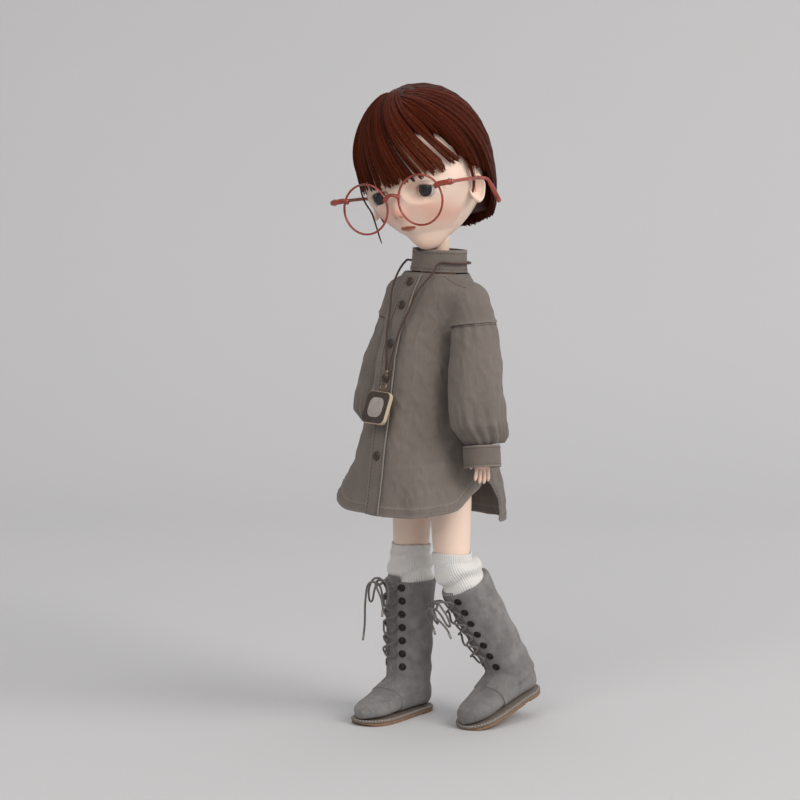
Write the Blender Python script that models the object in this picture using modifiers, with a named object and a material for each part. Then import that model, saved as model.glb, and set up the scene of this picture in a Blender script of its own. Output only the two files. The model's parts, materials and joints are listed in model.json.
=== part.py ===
"""Elastic-strung ball jointed doll in a shirt dress, wig, glasses and lace-up boots.

The doll faces -Y, its left side is +X and the floor is z = 0. The origin is the
middle of the right boot's sole. Every limb is modelled straight in its own frame,
and nested empties turn the frames into the doll's standing pose.
"""
import math

import bmesh
import bpy
from mathutils import Matrix, Vector

MM = 0.001
DEG = math.pi / 180

# Fits
CLEAR = 0.3 * MM
OVERRUN = 30 * MM
MERGE = 0.00001

# Skeleton lengths
HIP_SPREAD = 14 * MM
HIP_LINK = 9 * MM
THIGH_LENGTH = 58 * MM
SHIN_LENGTH = 62 * MM
ANKLE_HEIGHT = 17 * MM
WAIST_RISE = 20 * MM
CHEST_RISE = 16 * MM
SHOULDER_RISE = 25 * MM
SHOULDER_INNER = 14 * MM
SHOULDER_OUTER = 22 * MM
NECK_RISE = 40 * MM
NECK_LENGTH = 13 * MM
UPPER_ARM_LENGTH = 34 * MM
FOREARM_LENGTH = 29 * MM

# Standing pose, in degrees
LEAN = -3.3
CHEST_YAW = 8
NECK_NOD = 4.6
HEAD_TURN = 18.8
HEAD_TILT = 10.6
ARM_SWING = -2.0
ARM_RAISE = 10.4
ELBOW = 3.7
LEG_POSE = {
    "right": {"swing": 1.9, "spread": 1.9, "knee": 1.9, "yaw": 5.4, "heading": 15.7},
    "left": {"swing": 0.5, "spread": 2.4, "knee": 29.6, "yaw": -3.2, "heading": 8.6},
}

# Body radii
HIP_BALL = 7.2 * MM
HIP_LOWER_BALL = 6.8 * MM
WAIST_BALL = 10 * MM
CHEST_BALL = 9 * MM
KNEE_BALL = 7.2 * MM
ANKLE_BALL = 5 * MM
SHOULDER_BALL = 5.8 * MM
ARM_BALL = 5.2 * MM
ELBOW_BALL = 4.6 * MM
WRIST_BALL = 3 * MM
NECK_BALL = 5 * MM
NECK_WAIST = 4.6 * MM
STRING_BORE = 2 * MM
ELASTIC = 0.6 * MM
THIGH_RADIUS = 9.6 * MM
SHIN_RADIUS = 8.4 * MM
ANKLE_RADIUS = 6 * MM
ARM_RADIUS = 5.6 * MM
FOREARM_RADIUS = 5 * MM
WRIST_RADIUS = 3.9 * MM
PELVIS_HALF = Vector((19.5 * MM, 14 * MM, 18 * MM))
CHEST_HALF = Vector((16.1 * MM, 12.5 * MM, 30 * MM))

# Head, in the head frame
SKULL_CENTRE = Vector((0, -3 * MM, 33 * MM))
SKULL_HALF = Vector((27 * MM, 29 * MM, 34 * MM))
SKULL_WALL = 3 * MM
EYE_PLACE = Vector((12 * MM, -20.5 * MM, 22.5 * MM))
EYE_OPENING = Vector((5.2 * MM, 10 * MM, 3 * MM))
EAR_PLACE = Vector((27 * MM, -6 * MM, 19 * MM))
EAR_HALF = Vector((2.2 * MM, 3.6 * MM, 6.3 * MM))
EYE_RADIUS = 6.5 * MM
NOSE_TIP = Vector((0, -33.2 * MM, 14 * MM))
MOUTH_PLACE = Vector((0, -30 * MM, 7 * MM))
CAP_SEAM = 2 * MM

# Wig
HAIR_THICKNESS = 5 * MM
HAIR_GAP = 0.9 * MM
LOCK_RADIUS = 2.2 * MM
LOCK_TOP = 34 * MM
LOCK_DROP = {"right": 32 * MM, "left": 20 * MM}

# Glasses
LENS_RADIUS = 10 * MM
LENS_THICKNESS = 0.8 * MM
RIM_WIRE = 0.95 * MM
LENS_SPACING = 28.6 * MM
LENS_CENTRE = Vector((0, -36 * MM, 18.5 * MM))
TEMPLE_X = 30.8 * MM
TEMPLE_WIRE = 0.75 * MM
TEMPLE_RISE = 5.5 * MM
TEMPLE_LENGTH = 41 * MM
TEMPLE_DROP = 12 * MM
END_BLOCK = 2.2 * MM

# Shirt dress, heights above the hips
CLOTH = 0.8 * MM
COLLAR_RADIUS = 12.6 * MM
COLLAR_HEIGHT = 10 * MM
HEM_FRONT = -33.9 * MM
HEM_BACK = -41.9 * MM
HEM_SIDE = -20.9 * MM
FOLD_DEPTH = 2.4 * MM
FOLDS = 9
SLEEVE_TOP = 9 * MM
SHOULDER_CLOTH = 9.3 * MM
SLEEVE_TOP_RADIUS = 10.6 * MM
SLEEVE_PUFF = 15.2 * MM
SLEEVE_FOLD = 1.1 * MM
SLEEVE_FOLDS = 6
CUFF_RADIUS = 8.6 * MM
CUFF_HEIGHT = 10 * MM
CUFF_DROP = 72 * MM
PLACKET_WIDTH = 9.5 * MM
PLACKET_THICKNESS = 0.8 * MM
BUTTON_RADIUS = 2.1 * MM
BUTTON_THICKNESS = 0.9 * MM

# Necklace
NECKLACE_CORD = 0.5 * MM
RING_RADIUS = 1.8 * MM
RING_WIRE = 0.4 * MM
TAG_SIZE = 15 * MM
TAG_THICKNESS = 2 * MM
TAG_CORNER = 2.4 * MM

# Boots, in the foot frame: the sole's underside is ANKLE_HEIGHT below the ankle
SOLE_LENGTH = 49 * MM
SOLE_WIDTH = 21 * MM
SOLE_BACK = 13 * MM
SOLE_THICKNESS = 2.6 * MM
TOE_SPRING = 4 * MM
LEATHER = 0.9 * MM
SHAFT_HEIGHT = 49 * MM
SHAFT_RADIUS = 11.6 * MM
LACE = 0.75 * MM
EYELET_ROWS = 7

# Colours, roughness and metallic value
SKIN = ((0.80, 0.52, 0.42), 0.55, 0)
RESIN = ((0.78, 0.54, 0.44), 0.5, 0)
STEEL = ((0.5, 0.5, 0.5), 0.3, 1)
RUBBER = ((0.75, 0.72, 0.65), 0.7, 0)
EYE_WHITE = ((0.75, 0.74, 0.72), 0.15, 0)
HAIR = ((0.06, 0.018, 0.012), 0.5, 0)
ACETATE = ((0.17, 0.035, 0.018), 0.2, 0)
CLEAR_LENS = ((0.85, 0.88, 0.88), 0.05, 0)
LINEN = ((0.30, 0.26, 0.235), 0.9, 0)
CORD_BROWN = ((0.035, 0.016, 0.01), 0.7, 0)
TAG_BROWN = ((0.04, 0.022, 0.016), 0.45, 0)
COTTON = ((0.75, 0.74, 0.71), 0.9, 0)
SUEDE = ((0.17, 0.16, 0.165), 0.9, 0)
SOLE_TAN = ((0.35, 0.14, 0.05), 0.6, 0)
LACE_GREY = ((0.10, 0.085, 0.075), 0.85, 0)


def clear_scene():
    """Removes what a new file brings along."""
    for thing in list(bpy.data.objects):
        bpy.data.objects.remove(thing, do_unlink=True)


def make_collection(name):
    group = bpy.data.collections.new(name)
    bpy.context.scene.collection.children.link(group)
    return group


def make_material(name, look):
    """Gives a sub-part its own plain finish."""
    colour, roughness, metallic = look
    finish = bpy.data.materials.new(name)
    finish.use_nodes = True
    shader = finish.node_tree.nodes["Principled BSDF"]
    shader.inputs["Base Color"].default_value = (*colour, 1)
    shader.inputs["Roughness"].default_value = roughness
    shader.inputs["Metallic"].default_value = metallic
    return finish


class Bench:
    """Holds the two collections and the frames, and puts pieces into them."""

    def __init__(self):
        self.parts = make_collection("ball_jointed_doll")
        self.cutters = make_collection("cutters")
        self.frames = {}

    def frame(self, name, parent, place, turn=None):
        """An empty at a joint's centre; the pieces below it are modelled in it."""
        empty = bpy.data.objects.new(name + "_pivot", None)
        empty.empty_display_size = LENS_RADIUS
        self.cutters.objects.link(empty)
        local = Matrix.Translation(place) @ (turn or Matrix()).to_4x4()
        if parent:
            empty.parent = self.frames[parent]
        empty.matrix_basis = local
        self.frames[name] = empty
        return empty

    def put(self, name, mesh, frame, look, place=None):
        thing = bpy.data.objects.new(name, mesh)
        self.parts.objects.link(thing)
        thing.parent = self.frames[frame]
        if place is not None:
            thing.matrix_basis = place
        mesh.materials.append(make_material(name, look))
        return thing

    def cutter(self, name, mesh, frame, place=None):
        thing = bpy.data.objects.new(name + "_cutter", mesh)
        self.cutters.objects.link(thing)
        thing.parent = self.frames[frame]
        if place is not None:
            thing.matrix_basis = place
        thing.hide_render = True
        thing.display_type = "WIRE"
        return thing


def cut(thing, cutter, operation="DIFFERENCE"):
    step = thing.modifiers.new(cutter.name, "BOOLEAN")
    step.operation = operation
    step.solver = "EXACT"
    step.object = cutter
    return step


def finish_mesh(shape, name, smooth=True):
    bmesh.ops.triangulate(shape, faces=shape.faces)
    bmesh.ops.recalc_face_normals(shape, faces=shape.faces)
    mesh = bpy.data.meshes.new(name)
    shape.to_mesh(mesh)
    shape.free()
    if smooth:
        mesh.shade_smooth()
        mesh.set_sharp_from_angle(angle=40 * DEG)
    return mesh


def ball_mesh(name, radius, across=10, up=6):
    shape = bmesh.new()
    bmesh.ops.create_uvsphere(shape, u_segments=across, v_segments=up, radius=radius)
    return finish_mesh(shape, name)


def cup_mesh(name, ball, across=9, up=6):
    """A cutter whose flat faces all clear a ball of the given radius."""
    shrink = math.cos(math.pi / across) * math.cos(math.pi / (2 * up))
    return ball_mesh(name, (ball + CLEAR) / shrink, across, up)


def box_mesh(name, low, high):
    """A box between two corners."""
    shape = bmesh.new()
    size = Vector(high) - Vector(low)
    middle = (Vector(high) + Vector(low)) / 2
    place = Matrix.Translation(middle) @ Matrix.Diagonal((*size, 1))
    bmesh.ops.create_cube(shape, size=1, matrix=place)
    return finish_mesh(shape, name, smooth=False)


def rod_mesh(name, radius, low, high, sides=12, top_radius=None):
    """An upright round bar or cone from height low to height high."""
    shape = bmesh.new()
    place = Matrix.Translation((0, 0, (low + high) / 2))
    bmesh.ops.create_cone(shape, cap_ends=True, segments=sides, radius1=radius,
                          radius2=radius if top_radius is None else top_radius,
                          depth=high - low, matrix=place)
    return finish_mesh(shape, name)


def bored(outline, bore):
    """Closes an outline round a bore that runs right through."""
    return list(outline) + [(bore, outline[-1][1]), (bore, outline[0][1])]


def turned(bench, name, outline, frame, look, loop=True, sides=11, place=None):
    """A turned piece: (radius, height) points run down its outer side, and back up
    its bore if they make a loop."""
    shape = bmesh.new()
    ring = [shape.verts.new((radius, 0, height)) for radius, height in outline]
    for first, second in zip(ring, ring[1:]):
        shape.edges.new((first, second))
    if loop:
        shape.edges.new((ring[-1], ring[0]))
    mesh = bpy.data.meshes.new(name)
    shape.to_mesh(mesh)
    shape.free()
    thing = bench.put(name, mesh, frame, look, place)
    lathe = thing.modifiers.new("turn", "SCREW")
    lathe.steps = sides
    lathe.render_steps = sides
    lathe.use_merge_vertices = True
    lathe.merge_threshold = MERGE
    lathe.use_smooth_shade = True
    return thing


def arc_points(radius, start, stop, count, height=0):
    """Outline points on a ball, by angle from its top, in degrees."""
    points = []
    for step in range(count + 1):
        angle = (start + (stop - start) * step / count) * DEG
        points.append((radius * math.sin(angle), height + radius * math.cos(angle)))
    return points


def oval(half_x, front, back, around, square=2.0):
    """A point of an oval section; it may reach further forward than back."""
    side = math.sin(around)
    depth = -math.cos(around)
    power = 2 / square
    x = half_x * math.copysign(abs(side) ** power, side)
    reach = front if depth < 0 else back
    return x, reach * math.copysign(abs(depth) ** power, depth)


def loft_mesh(name, rings, closed_ends=True):
    """Joins rings of equally many points, first ring to last, and caps the ends."""
    shape = bmesh.new()
    rows = [[shape.verts.new(point) for point in ring] for ring in rings]
    for lower, upper in zip(rows, rows[1:]):
        for index in range(len(lower)):
            after = (index + 1) % len(lower)
            shape.faces.new((lower[index], lower[after], upper[after], upper[index]))
    if closed_ends:
        shape.faces.new(rows[0][::-1])
        shape.faces.new(rows[-1])
    return finish_mesh(shape, name)


def smooth_route(points, spacing):
    """Points at an even spacing on a Catmull-Rom curve through a route."""
    ends = [points[0] * 2 - points[1]] + list(points) + [points[-1] * 2 - points[-2]]
    route = [points[0].copy()]
    for before, start, stop, after in zip(ends, ends[1:], ends[2:], ends[3:]):
        pieces = max(1, round((stop - start).length / spacing))
        for step in range(1, pieces + 1):
            share = step / pieces
            route.append((start * 2 + (stop - before) * share
                          + (before * 2 - start * 5 + stop * 4 - after) * share ** 2
                          + (start * 3 - before - stop * 3 + after) * share ** 3) / 2)
    return route


def tube(bench, name, points, radius, frame, look, roundness=2, closed=False):
    """A wire, cord or rod along a route."""
    line = bpy.data.curves.new(name, "CURVE")
    line.dimensions = "3D"
    line.bevel_depth = radius
    line.bevel_resolution = roundness
    line.use_fill_caps = not closed
    spline = line.splines.new("POLY")
    spline.points.add(len(points) - 1)
    spline.use_cyclic_u = closed
    for knot, point in zip(spline.points, points):
        knot.co = (*point, 1)
    thing = bpy.data.objects.new(name, line)
    bench.parts.objects.link(thing)
    thing.parent = bench.frames[frame]
    line.materials.append(make_material(name, look))
    return thing


def turn(axis, degrees):
    return Matrix.Rotation(degrees * DEG, 3, axis)


def leg_turns(side):
    """Turns of the hip ball, thigh and shin frames, and the hip's side sign."""
    pose = LEG_POSE[side]
    sign = 1 if side == "left" else -1
    hip = turn("X", -pose["swing"])
    thigh = turn("Y", -sign * pose["spread"]) @ turn("Z", pose["yaw"])
    return sign, hip, thigh, turn("X", pose["knee"])


def ankle_offset(side):
    """Where the ankle lies from the pelvis, and how the shin is turned."""
    sign, hip, thigh, shin = leg_turns(side)
    upper = Vector((0, 0, HIP_LINK - THIGH_LENGTH))
    lower = Vector((0, 0, -SHIN_LENGTH))
    place = Vector((sign * HIP_SPREAD, 0, 0)) + hip @ Vector((0, 0, -HIP_LINK))
    place = place + hip @ thigh @ upper + hip @ thigh @ shin @ lower
    return place, hip @ thigh @ shin


def pelvis_place():
    """The right sole is flat on the floor, with its middle at the origin."""
    place = ankle_offset("right")[0]
    middle = Vector((0, SOLE_BACK - SOLE_LENGTH / 2, -ANKLE_HEIGHT))
    return -(place + turn("Z", LEG_POSE["right"]["heading"]) @ middle)


def toe_pitch():
    """How far the left foot pitches until the bevel under its toe lies on the floor."""
    height = pelvis_place().z + ankle_offset("left")[0].z
    toe = SOLE_LENGTH - SOLE_BACK - TOE_SPRING
    reach = math.hypot(toe, ANKLE_HEIGHT)
    return math.asin(min(1, height / reach)) - math.atan2(ANKLE_HEIGHT, toe)


def foot_turn(side):
    """The right foot is flat; the left one stands on its toe."""
    world = turn("Z", LEG_POSE[side]["heading"])
    if side == "left":
        world = world @ turn("X", toe_pitch() / DEG)
    return ankle_offset(side)[1].inverted() @ world


def lay_out_frames(bench):
    """Nests the joint centres in the standing pose."""
    bench.frame("floor", None, Vector((0, 0, 0)))
    bench.frame("pelvis", "floor", pelvis_place())
    bench.frame("abdomen", "pelvis", Vector((0, 0, WAIST_RISE)), turn("X", LEAN))
    bench.frame("chest", "abdomen", Vector((0, 0, CHEST_RISE)), turn("Z", CHEST_YAW))
    bench.frame("neck", "chest", Vector((0, 0, NECK_RISE)), turn("X", NECK_NOD))
    bench.frame("hook", "neck", Vector((0, 0, NECK_LENGTH)), turn("Z", HEAD_TURN))
    bench.frame("head", "hook", Vector((0, 0, 0)), turn("Y", -HEAD_TILT))
    bench.frame("glasses", "head", LENS_CENTRE)
    for side in ("right", "left"):
        sign, hip, thigh, shin = leg_turns(side)
        bench.frame(side + "_hip", "pelvis", Vector((sign * HIP_SPREAD, 0, 0)), hip)
        bench.frame(side + "_thigh", side + "_hip", Vector((0, 0, -HIP_LINK)), thigh)
        bench.frame(side + "_shin", side + "_thigh",
                    Vector((0, 0, HIP_LINK - THIGH_LENGTH)), shin)
        bench.frame(side + "_foot", side + "_shin", Vector((0, 0, -SHIN_LENGTH)),
                    foot_turn(side))
        bench.frame(side + "_shoulder", "chest",
                    Vector((sign * SHOULDER_INNER, 0, SHOULDER_RISE)), turn("X", -ARM_SWING))
        bench.frame(side + "_upper_arm", side + "_shoulder",
                    Vector((sign * (SHOULDER_OUTER - SHOULDER_INNER), 0, 0)),
                    turn("Y", -sign * ARM_RAISE))
        bench.frame(side + "_forearm", side + "_upper_arm",
                    Vector((0, 0, -UPPER_ARM_LENGTH)), turn("X", -ELBOW))
        bench.frame(side + "_wrist", side + "_forearm", Vector((0, 0, -FOREARM_LENGTH)))
        bench.frame(side + "_temple", "glasses", Vector((sign * TEMPLE_X, 0, TEMPLE_RISE)))


def oval_rings(sections, half, around=11, centre=(0, 0)):
    """Rings from (height, width share, depth share) rows, lowest first."""
    rings = []
    for height, width_share, depth_share in sections:
        ring = []
        for index in range(around):
            x, y = oval(half.x * width_share, half.y * depth_share,
                        half.y * depth_share, 2 * math.pi * index / around)
            ring.append(Vector((x + centre[0], y + centre[1], height)))
        rings.append(ring)
    return rings


PELVIS_SHARES = ((-0.5, 0.34, 0.5), (-0.3, 0.8, 0.9), (0, 1, 1), (0.45, 0.9, 0.95),
                 (1, 0.72, 0.8))
CHEST_SHARES = ((0.03, 0.68, 0.82), (0.25, 0.86, 0.95), (0.6, 0.95, 1), (0.9, 0.97, 0.9),
                (1.1, 0.9, 0.78), (1.22, 0.6, 0.62), (1.3, 0.4, 0.52))


def make_pelvis(bench):
    """Cups for the belly's ball and both hip balls, open in front so that it sits."""
    rows = [(share * PELVIS_HALF.z, wide, deep) for share, wide, deep in PELVIS_SHARES]
    pelvis = bench.put("pelvis", loft_mesh("pelvis", oval_rings(rows, PELVIS_HALF)),
                       "pelvis", RESIN)
    cut(pelvis, bench.cutter("waist_cup", cup_mesh("waist_cup", WAIST_BALL),
                             "abdomen"))
    bore = rod_mesh("pelvis_bore", HIP_BALL / 2, HIP_BALL / 3, OVERRUN, sides=8)
    cut(pelvis, bench.cutter("pelvis_bore", bore, "pelvis"))
    reach = HIP_SPREAD + STRING_BORE
    channel = box_mesh("string_channel", (-reach, -STRING_BORE, STRING_BORE),
                       (reach, STRING_BORE, WAIST_RISE * 0.65))
    cut(pelvis, bench.cutter("string_channel", channel, "pelvis"))
    inner = HIP_SPREAD - THIGH_RADIUS - CLEAR * 2
    outer = HIP_SPREAD + OVERRUN
    for sign, side in ((-1, "right"), (1, "left")):
        cup = cup_mesh("hip_cup", HIP_BALL)
        cut(pelvis, bench.cutter(side + "_hip_cup", cup, "pelvis",
                                 Matrix.Translation((sign * HIP_SPREAD, 0, 0))))
        near, far = sorted((sign * inner, sign * outer))
        room = box_mesh("leg_room", (near, -OVERRUN, -OVERRUN),
                        (far, OVERRUN, -CLEAR * 2))
        cut(pelvis, bench.cutter(side + "_leg_room", room, "pelvis"))
        front = box_mesh("lap_room", (near, -OVERRUN, -OVERRUN),
                         (far, -CLEAR * 4, HIP_LOWER_BALL + CLEAR * 3))
        cut(pelvis, bench.cutter(side + "_lap_room", front, "pelvis"))


def make_torso(bench):
    outline = arc_points(CHEST_BALL, 21, 124, 4, CHEST_RISE)
    outline += arc_points(WAIST_BALL, 46, 161, 5)
    turned(bench, "abdomen", bored(outline, STRING_BORE * 1.4), "abdomen", RESIN, sides=12)
    rows = [(share * CHEST_HALF.z, wide, deep) for share, wide, deep in CHEST_SHARES]
    chest = bench.put("chest", loft_mesh("chest", oval_rings(rows, CHEST_HALF)),
                      "chest", RESIN)
    cut(chest, bench.cutter("belly_cup", cup_mesh("belly_cup", CHEST_BALL),
                            "chest"))
    hollow = rod_mesh("chest_hollow", NECK_BALL, 0, SHOULDER_RISE + STRING_BORE * 3, sides=10)
    cut(chest, bench.cutter("chest_hollow", hollow, "chest"))
    bore = rod_mesh("neck_bore", STRING_BORE * 1.15, SHOULDER_RISE, NECK_RISE, sides=8)
    cut(chest, bench.cutter("neck_bore", bore, "chest"))
    cut(chest, bench.cutter("neck_cup", cup_mesh("neck_cup", NECK_BALL), "chest",
                            Matrix.Translation((0, 0, NECK_RISE))))
    half = STRING_BORE * 0.95
    bore = box_mesh("arm_bore", (-SHOULDER_INNER, -half, SHOULDER_RISE - half),
                    (SHOULDER_INNER, half, SHOULDER_RISE + half))
    cut(chest, bench.cutter("arm_bore", bore, "chest"))
    for sign, side in ((-1, "right"), (1, "left")):
        cup = cup_mesh("shoulder_cup", SHOULDER_BALL)
        place = Matrix.Translation((sign * SHOULDER_INNER, 0, SHOULDER_RISE))
        cut(chest, bench.cutter(side + "_shoulder_cup", cup, "chest", place))


def make_neck(bench):
    mouth = STRING_BORE * 1.5
    outline = arc_points(NECK_BALL, 38, 120, 3, NECK_LENGTH)
    outline += [(NECK_WAIST * 0.85, NECK_LENGTH / 2)]
    outline += arc_points(NECK_BALL, 60, 155, 3)
    inner = [(STRING_BORE, outline[-1][1]), (STRING_BORE, NECK_LENGTH - NECK_BALL),
             (mouth, NECK_LENGTH), (mouth, outline[0][1])]
    turned(bench, "neck", outline + inner, "neck", SKIN)


def string_slot(bench, thing, name, frame, ball, back):
    """A slot over a knee or elbow ball, where the elastic swings as it bends."""
    half = STRING_BORE
    low, high = (-half, ball * 2) if back else (-ball * 2, half)
    slot = box_mesh(name, (-half, low, -half / 2), (half, high, ball * 2))
    cut(thing, bench.cutter(name, slot, frame))


def limb_end(bench, thing, name, frame, height, ball, back):
    """A cup over the next limb's ball, cut away on a slant on the side it bends to."""
    cup = Matrix.Translation((0, 0, height))
    cut(thing, bench.cutter(name + "_cup", cup_mesh(name, ball), frame, cup))
    slant = cup @ turn("X", 45 if back else -45).to_4x4()
    half = (-OVERRUN, -OVERRUN, -OVERRUN)
    clearance = CLEAR * 1.5
    wedge = box_mesh(name + "_slant", half, (OVERRUN, OVERRUN, clearance))
    cut(thing, bench.cutter(name + "_slant", wedge, frame, slant))


def make_leg(bench, side):
    upper = arc_points(HIP_BALL, 18, 126, 4)
    lower = arc_points(HIP_LOWER_BALL, 53, 161, 4, -HIP_LINK)
    turned(bench, side + "_hip_ball", bored(upper + lower, STRING_BORE), side + "_hip", RESIN)
    knee = HIP_LINK - THIGH_LENGTH
    wide = THIGH_RADIUS
    rim = KNEE_BALL * 1.2
    outline = [(wide * 0.86, 0), (wide, knee * 0.14), (wide, knee * 0.45),
               (wide * 0.93, knee * 0.75), (rim, knee + KNEE_BALL), (rim, knee - KNEE_BALL * 0.8)]
    thigh = turned(bench, side + "_thigh", bored(outline, STRING_BORE), side + "_thigh", SKIN)
    cup = cup_mesh("thigh_cup", HIP_LOWER_BALL)
    cut(thigh, bench.cutter(side + "_thigh_cup", cup, side + "_thigh"))
    limb_end(bench, thigh, side + "_thigh_end", side + "_thigh", knee, KNEE_BALL, True)
    calf = SHIN_RADIUS
    ankle = -SHIN_LENGTH
    outline = arc_points(KNEE_BALL, 17, 135, 5)
    outline += [(calf * 0.9, -calf * 0.92), (calf, ankle * 0.3), (calf * 0.85, ankle * 0.6),
                (ANKLE_RADIUS, ankle * 0.85), (ANKLE_RADIUS, ankle + ANKLE_BALL * 0.3)]
    shin = turned(bench, side + "_shin", bored(outline, STRING_BORE), side + "_shin", SKIN)
    cup = Matrix.Translation((0, 0, ankle))
    cut(shin, bench.cutter(side + "_shin_cup", cup_mesh("shin_cup", ANKLE_BALL),
                           side + "_shin", cup))
    string_slot(bench, shin, side + "_knee_slot", side + "_shin", KNEE_BALL, True)


FOOT_SHARES = ((-0.86, 0.55, 0.52), (-0.75, 0.8, 0.55), (-0.2, 1, 0.5), (0.25, 0.95, 0.72),
               (0.55, 0.7, 0.95), (0.85, 0.62, 0.9))
FOOT_HALF_WIDTH = 6.3 * MM
FOOT_LENGTH_SHARE = 0.7755
FOOT_FLOOR = 3.6 * MM
FOOT_RISE = 8.6 * MM


def make_foot(bench, side):
    """A slim foot inside the boot, with the ankle ball on top."""
    rings = []
    back = SOLE_BACK - LEATHER * 3.8
    for along_share, wide, high in FOOT_SHARES:
        along = back - FOOT_LENGTH_SHARE * SOLE_LENGTH * (0.86 - along_share) / 1.72
        ring = []
        for index in range(10):
            angle = 2 * math.pi * index / 10
            x = FOOT_HALF_WIDTH * wide * math.sin(angle)
            rise = FOOT_RISE * high * (1 - math.cos(angle)) / 2
            ring.append(Vector((x, along, FOOT_FLOOR - ANKLE_HEIGHT + rise)))
        rings.append(ring)
    foot = bench.put(side + "_foot", loft_mesh("foot", rings), side + "_foot", SKIN)
    ball = bench.cutter(side + "_ankle_ball", ball_mesh("ankle_ball", ANKLE_BALL), side + "_foot")
    cut(foot, ball, "UNION")
    stem = rod_mesh("ankle_stem", ANKLE_BALL * 0.7, FOOT_FLOOR - ANKLE_HEIGHT + FOOT_RISE / 2, 0)
    cut(foot, bench.cutter(side + "_ankle_stem", stem, side + "_foot"), "UNION")
    bore = rod_mesh("ankle_bore", ELASTIC * 2, -CLEAR * 2, ANKLE_BALL * 2,
                    top_radius=STRING_BORE * 2)
    cut(foot, bench.cutter(side + "_ankle_bore", bore, side + "_foot"))


HAND_SHARES = ((-0.12, 0.5, 0.8), (-0.22, 0.85, 0.95), (-0.42, 1, 1), (-0.62, 1, 0.8))
HAND_LENGTH = 19 * MM
HAND_HALF = Vector((2.3 * MM, 4.2 * MM, 1 * MM))
FINGER_RADIUS = 1 * MM
FINGER_LENGTH_SHARES = (0.33, 0.4, 0.42, 0.36)
HOOK_WIRE = 0.45 * MM


def finger_mesh(name, radius, length):
    """A round-ended finger hanging down from its root."""
    shape = bmesh.new()
    bmesh.ops.create_uvsphere(shape, u_segments=5, v_segments=4, radius=radius)
    for corner in shape.verts:
        if corner.co.z < -radius / 10:
            corner.co.z -= length - radius
    return finish_mesh(shape, name)


def make_hand(bench, side, sign):
    """Palm towards the body, four fingers and a thumb, and the wrist ball."""
    frame = side + "_wrist"
    rows = [(share * HAND_LENGTH, wide, deep) for share, wide, deep in HAND_SHARES[::-1]]
    rings = oval_rings(rows, HAND_HALF, around=8)
    hand = bench.put(side + "_hand", loft_mesh("hand", rings), frame, SKIN)
    cut(hand, bench.cutter(side + "_wrist_ball", ball_mesh("wrist_ball", WRIST_BALL, 8, 5),
                           frame), "UNION")
    root = HAND_LENGTH * 0.58
    for index, share in enumerate(FINGER_LENGTH_SHARES):
        finger = finger_mesh("finger", FINGER_RADIUS, HAND_LENGTH * share)
        along = HAND_HALF.y * (index - 1.5) / 2
        place = Matrix.Translation((0, along, -root)) @ turn("X", (index - 1.5) * 4).to_4x4()
        name = f"{side}_finger_{index + 1}"
        cut(hand, bench.cutter(name, finger, frame, place), "UNION")
    thumb = finger_mesh("thumb", FINGER_RADIUS * 1.1, HAND_LENGTH * 0.38)
    place = (Matrix.Translation((-sign * HAND_HALF.x / 2, -HAND_HALF.y * 0.8, -HAND_LENGTH * 0.32))
             @ turn("X", -18).to_4x4())
    cut(hand, bench.cutter(side + "_thumb", thumb, frame, place), "UNION")
    bore = rod_mesh("hand_bore", WRIST_BALL * 0.45, -WRIST_BALL * 0.8, WRIST_BALL * 1.2,
                    top_radius=WRIST_BALL)
    cut(hand, bench.cutter(side + "_hand_bore", bore, frame))


def make_hook(bench, name, frame, foot, top, eye, wire):
    """A wire hook: a straight stem with an open eye bent at its top."""
    route = [Vector((0, 0, foot))]
    for step in range(7):
        angle = (-90 + 45 * step) * DEG
        route.append(Vector((eye * math.cos(angle), 0, top + eye * math.sin(angle))))
    tube(bench, name, route, wire, frame, STEEL)


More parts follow.
